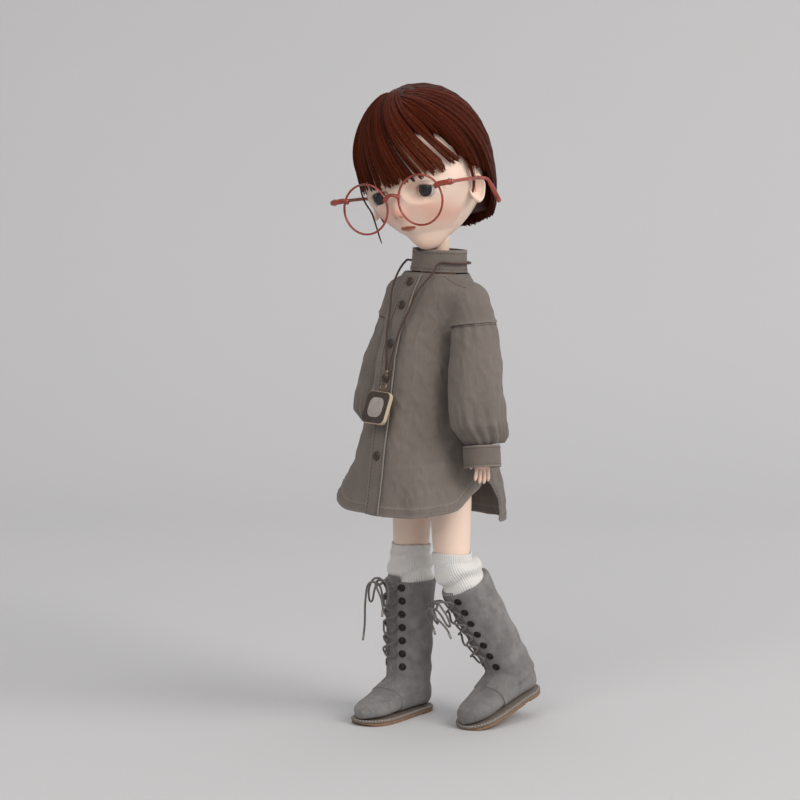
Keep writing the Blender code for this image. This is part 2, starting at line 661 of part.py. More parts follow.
def make_arm(bench, side):
    sign = 1 if side == "left" else -1
    link = SHOULDER_OUTER - SHOULDER_INNER
    inner = arc_points(SHOULDER_BALL, 26, 133, 4)
    outer = arc_points(ARM_BALL, 52, 151, 4, -link)
    sideways = turn("Y", -sign * 90).to_4x4()
    ball = turned(bench, side + "_shoulder_ball", bored(inner + outer, STRING_BORE * 1.15),
                  side + "_shoulder", RESIN, sides=10, place=sideways)
    near, far = sorted((sign * (link - STRING_BORE * 1.8), sign * SHOULDER_OUTER))
    slot = box_mesh("shoulder_slot", (near, -STRING_BORE, -ARM_BALL * 2),
                    (far, STRING_BORE, STRING_BORE))
    cut(ball, bench.cutter(side + "_shoulder_slot", slot, side + "_shoulder"))
    frame = side + "_upper_arm"
    elbow = -UPPER_ARM_LENGTH
    cap = ARM_BALL + CLEAR * 5
    outline = arc_points(cap, 0, 90, 3)
    outline += [(ARM_RADIUS, elbow * 0.35), (ARM_RADIUS * 0.95, elbow * 0.7),
                (ELBOW_BALL * 1.28, elbow + ELBOW_BALL), (ELBOW_BALL * 1.28, elbow - ELBOW_BALL * 0.8),
                (STRING_BORE, elbow - ELBOW_BALL * 0.8), (STRING_BORE, 0), (0, 0)]
    arm = turned(bench, frame, outline, frame, SKIN, loop=False, sides=10)
    cut(arm, bench.cutter(side + "_arm_cup", cup_mesh("arm_cup", ARM_BALL), frame))
    slant = turn("Y", -sign * 45).to_4x4()
    wedge = box_mesh("arm_slant", (-OVERRUN, -OVERRUN, CLEAR * 2), (OVERRUN, OVERRUN, OVERRUN))
    cut(arm, bench.cutter(side + "_arm_slant", wedge, frame, slant))
    limb_end(bench, arm, side + "_arm_end", frame, elbow, ELBOW_BALL, False)
    frame = side + "_forearm"
    wrist = -FOREARM_LENGTH
    outline = arc_points(ELBOW_BALL, 27, 135, 4)
    outline += [(FOREARM_RADIUS * 0.94, -FOREARM_RADIUS), (FOREARM_RADIUS, wrist * 0.35),
                (FOREARM_RADIUS * 0.9, wrist * 0.65), (WRIST_RADIUS, wrist + WRIST_BALL),
                (WRIST_RADIUS, wrist + CLEAR * 2)]
    forearm = turned(bench, frame, bored(outline, STRING_BORE), frame, SKIN, sides=10)
    cup = Matrix.Translation((0, 0, wrist))
    cut(forearm, bench.cutter(side + "_wrist_cup", cup_mesh("wrist_cup", WRIST_BALL),
                              frame, cup))
    string_slot(bench, forearm, side + "_elbow_slot", frame, ELBOW_BALL, False)
    make_hand(bench, side, sign)
    eye = STRING_BORE * 0.55
    make_hook(bench, side + "_wrist_hook", side + "_wrist", -WRIST_BALL * 0.4,
              WRIST_BALL * 1.7, eye, HOOK_WIRE)


def frame_point(bench, frame, point):
    """A point of a frame in world space."""
    return bench.frames[frame].matrix_world @ Vector(point)


def make_elastics(bench):
    """One cord from ankle to ankle over the head's hook, one from wrist to wrist."""
    bpy.context.view_layer.update()
    gap = STRING_BORE * 0.47
    legs = {}
    for sign, side in ((-1, "right"), (1, "left")):
        legs[side] = [frame_point(bench, side + "_foot", (0, 0, CLEAR)),
                      frame_point(bench, side + "_shin", (0, 0, -SHIN_LENGTH / 2)),
                      frame_point(bench, side + "_shin", (0, 0, 0)),
                      frame_point(bench, side + "_thigh", (0, 0, -THIGH_LENGTH / 2)),
                      frame_point(bench, side + "_thigh", (0, 0, 0)),
                      frame_point(bench, side + "_hip", (0, 0, 0)),
                      frame_point(bench, side + "_hip", (0, 0, HIP_BALL * 1.1)),
                      frame_point(bench, "pelvis", (sign * gap * 6, 0, WAIST_RISE * 0.43)),
                      frame_point(bench, "pelvis", (sign * gap * 1.3, 0, WAIST_RISE * 0.47)),
                      frame_point(bench, "abdomen", (sign * gap, 0, 0)),
                      frame_point(bench, "chest", (sign * gap, 0, 0)),
                      frame_point(bench, "chest", (sign * gap, 0, CHEST_BALL)),
                      frame_point(bench, "chest", (sign * gap, STRING_BORE * 0.8,
                                                   SHOULDER_RISE * 0.8)),
                      frame_point(bench, "chest", (sign * gap, STRING_BORE * 0.8,
                                                   SHOULDER_RISE * 1.08)),
                      frame_point(bench, "chest", (sign * gap, 0, SHOULDER_RISE * 1.35)),
                      frame_point(bench, "neck", (sign * gap, 0, 0)),
                      frame_point(bench, "neck", (sign * gap, 0, NECK_LENGTH * 0.95))]
    top = [frame_point(bench, "neck", (0, 0, NECK_LENGTH + gap))]
    route = legs["right"] + top + legs["left"][::-1]
    tube(bench, "body_elastic", smooth_route(route, ELASTIC * 14), ELASTIC, "floor", RUBBER,
         roundness=0)
    arms = {}
    for sign, side in ((-1, "right"), (1, "left")):
        arms[side] = [frame_point(bench, side + "_wrist", (0, 0, WRIST_BALL * 2.7)),
                      frame_point(bench, side + "_forearm", (0, 0, -FOREARM_LENGTH / 2)),
                      frame_point(bench, side + "_forearm", (0, 0, 0)),
                      frame_point(bench, side + "_upper_arm", (0, 0, -UPPER_ARM_LENGTH / 2)),
                      frame_point(bench, side + "_upper_arm", (0, 0, -ARM_BALL * 1.1)),
                      frame_point(bench, side + "_upper_arm", (-sign * ARM_BALL * 0.5, 0, -ELASTIC)),
                      frame_point(bench, side + "_shoulder", (0, 0, 0))]
    middle = [frame_point(bench, "chest", (0, -ELASTIC, SHOULDER_RISE))]
    route = arms["right"] + middle + arms["left"][::-1]
    tube(bench, "arm_elastic", smooth_route(route, ELASTIC * 10), ELASTIC, "floor", RUBBER,
         roundness=0)


def bump(distance, width):
    return math.exp(-(distance / width) ** 2)


NOSE_WIDTH = 3 * MM
NOSE_HEIGHT = 4.2 * MM
NOSE_REACH = 4 * MM
LIP_WIDTH = 4.2 * MM
LIP_HEIGHT = 1.8 * MM
LIP_REACH = 1.2 * MM
CHIN_REACH = 2 * MM
SOCKET_DEPTH = 1.6 * MM
SOCKET_WIDTH = 7 * MM


def head_point(around, up, grow=0.0):
    """The doll's head by angle round from the face and angle up from its middle."""
    side = math.sin(around)
    front = math.cos(around)
    level = math.cos(up)
    below = max(0, -math.sin(up))
    cheek = 1 - 0.3 * below ** 3 + 0.05 * bump(below - 0.35, 0.3)
    x = (SKULL_HALF.x + grow) * level * side * cheek
    depth = level
    if front > 0 and below > 0:
        depth = level + front * 0.34 * below * (1 - below) ** 0.35
    y = -(SKULL_HALF.y + grow) * depth * front
    z = (SKULL_HALF.z + grow) * math.sin(up)
    place = SKULL_CENTRE + Vector((x, y, z))
    if front > 0:
        reach = NOSE_REACH * bump(place.x, NOSE_WIDTH) * bump(place.z - NOSE_TIP.z, NOSE_HEIGHT)
        reach += LIP_REACH * bump(place.x, LIP_WIDTH) * bump(place.z - MOUTH_PLACE.z, LIP_HEIGHT * 1.6)
        reach += CHIN_REACH * bump(place.x, LIP_WIDTH * 1.4) * bump(place.z, LIP_HEIGHT * 2)
        for sign in (-1, 1):
            reach -= (SOCKET_DEPTH * bump(place.x - sign * EYE_PLACE.x, SOCKET_WIDTH)
                      * bump(place.z - EYE_PLACE.z, SOCKET_WIDTH * 0.7))
        place.y -= reach * front
    return place


def head_mesh(name, grow, around=20, up=12):
    """The head as rings from chin to crown, closer together at the face."""
    rings = []
    for row in range(1, up):
        height = math.pi * (row / up - 0.5)
        ring = []
        for index in range(around):
            angle = 2 * math.pi * index / around
            ring.append(head_point(angle - 0.42 * math.sin(angle), height, grow))
        rings.append(ring)
    return loft_mesh(name, rings)


def half_space(name, far):
    return box_mesh(name, (-far, -far, 0), (far, far, far * 2))


def make_head(bench):
    """A face half with eye openings and a cap half, hollow, round the neck ball."""
    wide = SKULL_HALF.z * 3
    seam = Matrix.Translation((0, CAP_SEAM, SKULL_CENTRE.z)) @ turn("X", -58).to_4x4()
    flip = turn("X", 180).to_4x4()
    halves = (("head_face", SKIN, Matrix.Translation((0, 0, -CLEAR / 2))),
              ("head_cap", RESIN, Matrix.Translation((0, 0, CLEAR / 2)) @ flip))
    for name, look, side_of_seam in halves:
        half = bench.put(name, head_mesh(name, 0), "head", look)
        if name == "head_face":
            for sign, side in ((-1, "right"), (1, "left")):
                ear = bmesh.new()
                size = Matrix.Diagonal((*EAR_HALF, 1))
                bmesh.ops.create_uvsphere(ear, u_segments=9, v_segments=6, radius=1, matrix=size)
                place = Matrix.Translation((sign * EAR_PLACE.x, EAR_PLACE.y, EAR_PLACE.z))
                cut(half, bench.cutter(side + "_ear", finish_mesh(ear, "ear"), "head", place),
                    "UNION")
        cut(half, bench.cutter(name + "_hollow", head_mesh("hollow", -SKULL_WALL, 11, 7), "head"))
        cut(half, bench.cutter(name + "_seam", half_space("seam", wide), "head",
                               seam @ side_of_seam))
        cup = cup_mesh("head_cup", NECK_BALL)
        cut(half, bench.cutter(name + "_neck", cup, "head"))
        if name == "head_face":
            for sign, side in ((-1, "right"), (1, "left")):
                centre = Matrix.Translation((sign * EYE_PLACE.x, EYE_PLACE.y, EYE_PLACE.z))
                socket = cup_mesh("eye_socket", EYE_RADIUS, 11, 6)
                room = bench.cutter(side + "_eye_socket", socket, "head", centre)
                almond = bmesh.new()
                size = Matrix.Diagonal((*EYE_OPENING, 1)) @ turn("X", 90).to_4x4()
                bmesh.ops.create_uvsphere(almond, u_segments=10, v_segments=6, radius=1,
                                          matrix=size)
                place = centre @ turn("Y", sign * 7).to_4x4()
                opening = finish_mesh(almond, "eye_opening")
                cut(room, bench.cutter(side + "_eye_opening", opening, "head", place), "UNION")
                cut(half, room)
                eye = ball_mesh("eye", EYE_RADIUS, 9, 5)
                bench.put(side + "_eye", eye, "head", EYE_WHITE, centre)
    eye = NECK_BALL * 0.42
    seat = STRING_BORE * 0.47 + ELASTIC + CLEAR
    make_hook(bench, "head_hook", "hook", seat, NECK_BALL * 1.8, eye, ELASTIC)


# Degrees round from the face, share of the skull's top
HAIR_EDGE_SHARES = ((0, 0.791), (40, 0.7313), (62, 0.4925), (80, 0.4403), (100, 0.403),
                    (118, 0.194), (180, 0.1194))


def hair_edge(around):
    """The lowest height of the wig at an angle round from the face."""
    turned_away = abs(math.degrees(around))
    top = SKULL_CENTRE.z + SKULL_HALF.z
    for (start, low), (stop, high) in zip(HAIR_EDGE_SHARES, HAIR_EDGE_SHARES[1:]):
        if start <= turned_away <= stop:
            return (low + (high - low) * (turned_away - start) / (stop - start)) * top
    return HAIR_EDGE_SHARES[-1][1] * top


def skull_angle(height):
    """Angle up from the skull's middle at a height on its surface."""
    return math.asin(max(-1, min(1, (height - SKULL_CENTRE.z) / SKULL_HALF.z)))


def wig_shell(name, spans, rows, edge, top, near, thick, wave):
    """A closed layer of hair over the head between two heights."""
    outer_rings = []
    inner_rings = []
    for row in range(rows + 1):
        outer = []
        inner = []
        for around in spans:
            low = edge(around)
            high = top(around)
            up = skull_angle(low) + (skull_angle(high) - skull_angle(low)) * row / rows
            share = 1 - 0.45 * (1 - row / rows) ** 2
            swell = wave * math.sin(around * 9) * (1 - row / rows)
            inner.append(head_point(around, up, near))
            outer.append(head_point(around, up, near + thick * share + swell))
        inner_rings.append(inner)
        outer_rings.append(outer)
    shape = bmesh.new()
    outside = [[shape.verts.new(point) for point in ring] for ring in outer_rings]
    inside = [[shape.verts.new(point) for point in ring] for ring in inner_rings]
    count = len(spans)
    full = spans[-1] - spans[0] > math.pi * 1.8
    reach = count if full else count - 1
    for rings, flip in ((outside, False), (inside, True)):
        for lower, upper in zip(rings, rings[1:]):
            for index in range(reach):
                after = (index + 1) % count
                face = (lower[index], lower[after], upper[after], upper[index])
                shape.faces.new(face[::-1] if flip else face)
    for first, second in ((inside[0], outside[0]), (outside[-1], inside[-1])):
        if full and first is outside[-1]:
            shape.faces.new(first)
            shape.faces.new(second[::-1])
            continue
        for index in range(reach):
            after = (index + 1) % count
            shape.faces.new((first[index], first[after], second[after], second[index]))
    if not full:
        for column in (0, count - 1):
            for row in range(rows):
                face = (outside[row][column], outside[row + 1][column],
                        inside[row + 1][column], inside[row][column])
                shape.faces.new(face if column else face[::-1])
    return finish_mesh(shape, name)


FRINGE_LOW = 36 * MM
FRINGE_TOP = 52.5 * MM
CROWN_TOP = SKULL_CENTRE.z + SKULL_HALF.z * 0.985


def make_wig(bench):
    """A bob over the skull, a fringe on the brow and a lock beside each cheek."""
    around = [2 * math.pi * index / 22 - math.pi for index in range(22)]
    crown = wig_shell("hair_crown", around, 6, hair_edge, lambda angle: CROWN_TOP,
                      HAIR_GAP, HAIR_THICKNESS, HAIR_GAP * 1.6)
    bench.put("hair_crown", crown, "head", HAIR)
    across = [(-38 + 76 * index / 9) * DEG for index in range(10)]

    def fringe_low(angle):
        return FRINGE_LOW + (FRINGE_TOP - FRINGE_LOW) * 0.5 * (angle / (38 * DEG)) ** 2 * (
            1 if angle > 0 else 0.2)

    def fringe_top(angle):
        return min(FRINGE_TOP, hair_edge(angle) - HAIR_GAP * 2)

    fringe = wig_shell("fringe", across, 3, fringe_low, fringe_top, HAIR_GAP * 1.5,
                       HAIR_THICKNESS * 0.5, HAIR_GAP)
    bench.put("fringe", fringe, "head", HAIR)
    for sign, side in ((-1, "right"), (1, "left")):
        route = []
        for step in range(7):
            share = step / 6
            height = LOCK_TOP - share * LOCK_DROP[side]
            up = skull_angle(height)
            angle = sign * (57 + 5 * math.sin(share * math.pi)) * DEG
            centre = head_point(angle, up, HAIR_GAP * 2 + LOCK_RADIUS)
            size = LOCK_RADIUS * (0.75 + 0.5 * share - 1.1 * share ** 3)
            outward = Vector((math.sin(angle), -math.cos(angle), 0))
            along = Vector((math.cos(angle), math.sin(angle), 0))
            ring = []
            for index in range(8):
                spin = 2 * math.pi * index / 8
                ring.append(centre + outward * math.cos(spin) * size
                            + along * math.sin(spin) * size * 1.5)
            route.append(ring)
        lock = loft_mesh(side + "_lock", route)
        bench.put(side + "_lock", lock, "head", HAIR)


def make_glasses(bench):
    """Two rims, a bridge and end pieces in one front, with lenses and temples."""
    ring_radius = LENS_RADIUS + CLEAR + RIM_WIRE
    parts = []
    for sign, side in ((-1, "right"), (1, "left")):
        circle = bmesh.new()
        for index in range(5):
            angle = 2 * math.pi * index / 5
            circle.verts.new((ring_radius + RIM_WIRE * math.cos(angle), 0,
                              RIM_WIRE * 1.15 * math.sin(angle)))
        circle.verts.ensure_lookup_table()
        for index in range(5):
            circle.edges.new((circle.verts[index], circle.verts[(index + 4) % 5]))
        mesh = bpy.data.meshes.new("rim")
        circle.to_mesh(mesh)
        circle.free()
        place = Matrix.Translation((sign * LENS_SPACING / 2, 0, 0)) @ turn("X", 90).to_4x4()
        name = "glasses_frame" if side == "left" else "right_rim"
        if side == "left":
            rim = bench.put(name, mesh, "glasses", ACETATE, place)
            front = rim
        else:
            rim = bench.cutter(name, mesh, "glasses", place)
            parts.append(rim)
        lathe = rim.modifiers.new("turn", "SCREW")
        lathe.steps = 16
        lathe.render_steps = 16
        lathe.use_merge_vertices = True
        lathe.merge_threshold = MERGE
        lens = rod_mesh(side + "_lens", LENS_RADIUS + CLEAR * 0.3, -LENS_THICKNESS / 2,
                        LENS_THICKNESS / 2, sides=16)
        bench.put(side + "_lens", lens, "glasses", CLEAR_LENS, place)
    half = LENS_SPACING / 2 - ring_radius + RIM_WIRE * 0.5
    high = TEMPLE_RISE * 0.55
    bridge = box_mesh("bridge", (-half, -RIM_WIRE, high - RIM_WIRE),
                      (half, RIM_WIRE, high + RIM_WIRE * 1.2))
    parts.append(bench.cutter("bridge", bridge, "glasses"))
    near = LENS_SPACING / 2 + ring_radius * math.cos(math.asin(TEMPLE_RISE / ring_radius))
    for sign, side in ((-1, "right"), (1, "left")):
        low, far = sorted((sign * (near - RIM_WIRE * 0.5), sign * (TEMPLE_X + RIM_WIRE)))
        block = box_mesh("end_piece", (low, -RIM_WIRE, TEMPLE_RISE - END_BLOCK / 2),
                         (far, RIM_WIRE, TEMPLE_RISE + END_BLOCK / 2))
        parts.append(bench.cutter(side + "_end_piece", block, "glasses"))
        start = RIM_WIRE + CLEAR + TEMPLE_WIRE * 0.2
        bend = TEMPLE_LENGTH * 0.8
        route = [Vector((0, start, 0)), Vector((0, bend * 0.5, 0)), Vector((0, bend, -TEMPLE_WIRE)),
                 Vector((0, bend + TEMPLE_DROP * 0.35, -TEMPLE_DROP * 0.3)),
                 Vector((0, TEMPLE_LENGTH + TEMPLE_DROP * 0.15, -TEMPLE_DROP))]
        tube(bench, side + "_temple", smooth_route(route, TEMPLE_WIRE * 5), TEMPLE_WIRE,
             side + "_temple", ACETATE, roundness=1)
    for part in parts:
        cut(front, part, "UNION")


DRESS_YAW = 9
NECK_HEIGHT = WAIST_RISE + CHEST_RISE + NECK_RISE
# Shares of the neck's height over the hips, of the chest's half width and twice of its
# half depth, forward and back; the last one is the squareness
DRESS_SHARES = (
    (1.0066, 0.8012, 0.776, 1.288, 2.0),
    (0.9355, 0.9938, 1, 1.376, 2.3),
    (0.8697, 1.1429, 1.24, 1.504, 2.7),
    (0.7645, 1.0559, 1.52, 1.584, 2.9),
    (0.6329, 0.9876, 1.92, 1.52, 2.7),
    (0.3697, 1.1677, 2.36, 1.76, 2.8),
    (0.1724, 1.2919, 2.64, 1.92, 2.8),
    (-0.0118, 1.4037, 2.92, 2.08, 2.8),
    (-0.1434, 1.5093, 3.12, 2.2, 2.8),
    (-0.275, 1.8323, 3.36, 2.32, 3.0),
    (-0.4197, 2.3602, 3.64, 2.4, 3.0),
    (-0.5645, 2.6087, 3.84, 2.48, 3.0),
)
DRESS_ROWS = [(high * NECK_HEIGHT, wide * CHEST_HALF.x, front * CHEST_HALF.y,
               back * CHEST_HALF.y, square) for high, wide, front, back, square in DRESS_SHARES]
NECK_HOLE = DRESS_ROWS[0][0]
FOLD_START = 35.1 * MM
SWING_START = -12 * MM
LEFT_TUCK = 0.3
RIGHT_FLARE = 0.1
SLIT_ANGLE = 97
SLIT_WIDTH = 11


def blend_rows(height):
    """Half width, reaches and squareness of the dress at a height over the hips."""
    for upper, lower in zip(DRESS_ROWS, DRESS_ROWS[1:]):
        if height >= lower[0]:
            share = max(0, (upper[0] - height) / (upper[0] - lower[0]))
            return [start + (stop - start) * share for start, stop in zip(upper[1:], lower[1:])]
    return list(DRESS_ROWS[-1][1:])


def dress_point(height, around, grow=0.0):
    """The dress's outer surface; the folds only draw it in, less at the sides."""
    half_x, front, back, square = blend_rows(height)
    drop = max(0, FOLD_START - height) / (FOLD_START - HEM_BACK)
    facing = 0.2 + 0.8 * math.cos(around) ** 2
    fold = FOLD_DEPTH * drop * facing * (1 + math.cos(FOLDS * around + 0.6)) / 2
    size = grow - fold
    x, y = oval(half_x + size, front + size, back + size, around, square)
    swing = min(1, max(0, SWING_START - height) / (SWING_START - HEM_BACK))
    x *= 1 - LEFT_TUCK * swing if x > 0 else 1 + RIGHT_FLARE * swing
    return Vector((x, y, height))


def hem_height(around):
    """Front and back hems with a slit at each side; the right front rises early."""
    angle = (math.degrees(around) + 180) % 360 - 180
    away = abs(angle)
    step = min(1, max(0, (away - SLIT_ANGLE + SLIT_WIDTH) / (2 * SLIT_WIDTH)))
    level = HEM_FRONT + (HEM_BACK - HEM_FRONT) * step
    tail = level + (HEM_SIDE - level) * bump(away - SLIT_ANGLE, SLIT_WIDTH)
    if -SLIT_ANGLE < angle < 0:
        tail = max(tail, HEM_FRONT + (HEM_SIDE - HEM_FRONT) * math.sin(
            math.pi / 2 * away / SLIT_ANGLE) ** 2)
    return tail


def neck_height(around):
    """The neck hole leans back with the chest."""
    return NECK_HOLE - COLLAR_RADIUS * math.sin(LEAN * DEG) * math.cos(around)


DRESS_AROUND = 30
DRESS_LEVEL_SHARES = (0, 0.05, 0.1, 0.17, 0.26, 0.43, 0.58, 0.7, 0.8, 0.9, 1)


def dress_rings(grow):
    rings = []
    for share in DRESS_LEVEL_SHARES:
        ring = []
        for index in range(DRESS_AROUND):
            around = 2 * math.pi * index / DRESS_AROUND - math.pi
            top = neck_height(around)
            height = top + (hem_height(around) - top) * share
            ring.append(dress_point(height, around, grow))
        rings.append(ring)
    return rings


def double_wall(name, outer, inner):
    """A closed sheet between two grids of rings, open at its top and bottom."""
    shape = bmesh.new()
    outside = [[shape.verts.new(point) for point in ring] for ring in outer]
    inside = [[shape.verts.new(point) for point in ring] for ring in inner]
    count = len(outside[0])
    for index in range(count):
        after = (index + 1) % count
        for upper, lower in zip(outside, outside[1:]):
            shape.faces.new((upper[index], lower[index], lower[after], upper[after]))
        for upper, lower in zip(inside, inside[1:]):
            shape.faces.new((upper[index], upper[after], lower[after], lower[index]))
        shape.faces.new((outside[0][index], outside[0][after], inside[0][after],
                         inside[0][index]))
        shape.faces.new((outside[-1][index], inside[-1][index], inside[-1][after],
                         outside[-1][after]))
    return finish_mesh(shape, name)


def make_dress(bench):
    """The A-line body with its two dropped shoulders and armholes."""
    body = bench.put("shirt_body", double_wall("shirt_body", dress_rings(0),
                                               dress_rings(-CLOTH)), "dress", LINEN)
    inside = []
    for row in DRESS_ROWS[:6]:
        ring = [dress_point(row[0], 2 * math.pi * index / DRESS_AROUND, -CLOTH / 2)
                for index in range(DRESS_AROUND)]
        inside.append(ring)
    lift = Vector((0, 0, CLOTH * 2))
    inside[0] = [point + lift for point in inside[0]]
    rooms = []
    hollow = bench.cutter("dress_hollow", loft_mesh("dress_hollow", inside), "dress")
    for side in ("right", "left"):
        frame = side + "_upper_arm"
        outline = arc_points(SHOULDER_CLOTH, 0, 80, 3)
        outline += [(SLEEVE_TOP_RADIUS, -SLEEVE_TOP), (0, -SLEEVE_TOP)]
        room = arc_points(SHOULDER_CLOTH - CLOTH, 0, 80, 3)
        room += [(SLEEVE_TOP_RADIUS - CLOTH, -SLEEVE_TOP - CLOTH / 2),
                 (0, -SLEEVE_TOP - CLOTH / 2)]
        forms = []
        for name, points in (("shoulder_cloth", outline), ("shoulder_room", room)):
            spin = bmesh.new()
            ring = [spin.verts.new((radius, 0, height)) for radius, height in points]
            for first, second in zip(ring, ring[1:]):
                spin.edges.new((first, second))
            mesh = bpy.data.meshes.new(name)
            spin.to_mesh(mesh)
            spin.free()
            spun = turn("Z", 11 if name == "shoulder_room" else 0).to_4x4()
            form = bench.cutter(f"{side}_{name}", mesh, frame, spun)
            lathe = form.modifiers.new("turn", "SCREW")
            lathe.steps = 14
            lathe.render_steps = 14
            lathe.use_merge_vertices = True
            lathe.merge_threshold = MERGE
            forms.append(form)
        cloth, room = forms
        cut(cloth, hollow)
        cut(body, cloth, "UNION")
        rooms.append(room)
    for room in rooms:
        cut(body, room)


# Share of the sleeve's length, share of the way from shoulder width to full puff
SLEEVE_SHARES = ((0, 0), (0.12, 0.3), (0.3, 0.6), (0.5, 0.85), (0.7, 1), (0.85, 0.85),
                 (0.95, 0.2), (1, -0.35))
BODY_SIDE_REACH = 6.9 * MM
SLEEVE_AROUND = 18


def sleeve_rings(sign, grow):
    top = SLEEVE_TOP + CLEAR
    length = CUFF_DROP - CUFF_HEIGHT + CLEAR * 10 - top
    rings = []
    for along, puff in SLEEVE_SHARES:
        full = SLEEVE_TOP_RADIUS + (SLEEVE_PUFF - SLEEVE_TOP_RADIUS) * puff
        ring = []
        for index in range(SLEEVE_AROUND):
            around = 2 * math.pi * index / SLEEVE_AROUND
            outward = 0.5 + 0.5 * math.sin(around) * sign
            fold = SLEEVE_FOLD * along * (1 + math.cos(SLEEVE_FOLDS * around)) / 2
            reach = full - fold * (0.3 + 0.7 * outward)
            x = math.sin(around) * reach
            if x * sign < 0:
                x = math.sin(around) * min(BODY_SIDE_REACH, reach)
            size = 1 + grow / full
            x_size = 1 + grow / (BODY_SIDE_REACH if x * sign < 0 else full)
            ring.append(Vector((x * x_size, -math.cos(around) * reach * size,
                                -top - length * along)))
        rings.append(ring)
    return rings


def make_sleeves(bench):
    for sign, side in ((-1, "right"), (1, "left")):
        mesh = double_wall("sleeve", sleeve_rings(sign, 0), sleeve_rings(sign, -CLOTH))
        bench.put(side + "_sleeve", mesh, side + "_upper_arm", LINEN)
        top = UPPER_ARM_LENGTH - CUFF_DROP + CUFF_HEIGHT - CLEAR * 11
        wide = CUFF_RADIUS
        outline = [(wide * 0.97, top), (wide, top - CUFF_HEIGHT / 2), (wide * 0.98, top - CUFF_HEIGHT),
                   (wide - CLOTH, top - CUFF_HEIGHT), (wide - CLOTH, top)]
        turned(bench, side + "_cuff", outline, side + "_forearm", LINEN, sides=16)


def make_collar(bench):
    low = NECK_RISE + CLEAR * 3
    high = low + COLLAR_HEIGHT
    wide = COLLAR_RADIUS
    outline = [(wide * 0.98, high), (wide * 1.02, high - COLLAR_HEIGHT / 2), (wide * 1.04, low),
               (wide * 1.04 - CLOTH, low), (wide * 0.98 - CLOTH, high)]
    turned(bench, "collar", outline, "chest", LINEN, sides=20)


BUTTON_SHARES = (0.7776, 0.5539, 0.35, 0.1197, -0.1039)


def front_angle(height):
    """The placket drifts to the doll's left towards the hem."""
    return 7 * DEG * max(0, FOLD_START - height) / (FOLD_START - HEM_FRONT)


def surface_frame(height, around, out):
    """A frame on the dress with its Z axis pointing straight out of the cloth."""
    step = BUTTON_RADIUS * 2
    centre = dress_point(height, around)
    up = (dress_point(height + step, around) - dress_point(height - step, around)).normalized()
    along = dress_point(height, around + 0.05) - dress_point(height, around - 0.05)
    normal = along.cross(up).normalized()
    side = up.cross(normal)
    turn_matrix = Matrix((side, up, normal)).transposed()
    return Matrix.Translation(centre + normal * out) @ turn_matrix.to_4x4()


def make_placket(bench):
    """The buttoned strip down the front, lying on the dress."""
    levels = len(DRESS_LEVEL_SHARES) - 1
    grids = []
    for out in (CLEAR * 1.5 + PLACKET_THICKNESS, CLEAR * 1.5):
        rows = []
        for share in DRESS_LEVEL_SHARES:
            top = neck_height(0)
            height = min(top - CLEAR * 11, top + (HEM_FRONT - top) * share)
            row = []
            for column in range(4):
                across = (column / 3 - 0.5) * PLACKET_WIDTH
                middle = dress_point(height, front_angle(height)).x
                point = nearest_dress_point(height, middle + across)
                row.append(point + Vector((0, -out * 1.15, 0)))
            rows.append(row)
        grids.append(rows)
    shape = bmesh.new()
    outside = [[shape.verts.new(point) for point in row] for row in grids[0]]
    inside = [[shape.verts.new(point) for point in row] for row in grids[1]]
    for sheet, flip in ((outside, False), (inside, True)):
        for upper, lower in zip(sheet, sheet[1:]):
            for column in range(3):
                face = (upper[column], lower[column], lower[column + 1], upper[column + 1])
                shape.faces.new(face[::-1] if flip else face)
    for column in (0, 3):
        for level in range(levels):
            shape.faces.new((outside[level][column], inside[level][column],
                             inside[level + 1][column], outside[level + 1][column]))
    for level in (0, levels):
        for column in range(3):
            shape.faces.new((outside[level][column], outside[level][column + 1],
                             inside[level][column + 1], inside[level][column]))
    placket = bench.put("button_placket", finish_mesh(shape, "button_placket"), "dress", LINEN)
    for index, share in enumerate(BUTTON_SHARES):
        height = share * NECK_HEIGHT
        place = surface_frame(height, front_angle(height), CLEAR * 1.5 + PLACKET_THICKNESS)
        button = rod_mesh("button", BUTTON_RADIUS, -PLACKET_THICKNESS / 2, BUTTON_THICKNESS,
                          sides=8)
        cut(placket, bench.cutter(f"button_{index + 1}", button, "dress", place), "UNION")


def nearest_dress_point(height, x):
    """The front of the dress at a height and a distance to the side."""
    low, high = -math.pi / 2, math.pi / 2
    for step in range(26):
        middle = (low + high) / 2
        if dress_point(height, middle).x < x:
            low = middle
        else:
            high = middle
    return dress_point(height, (low + high) / 2)


PENDANT_TOP = 27.1 * MM
STRAND_SHARES = ((0.95, 0.55), (0.8, 0.42), (0.6, 0.28), (0.4, 0.17), (0.2, 0.08), (0.04, 0.035))
NECKLACE_OUT = PLACKET_THICKNESS + BUTTON_THICKNESS + CLEAR * 6
PENDANT_LEAN = 18
PENDANT_SIDE = 4.5 * MM


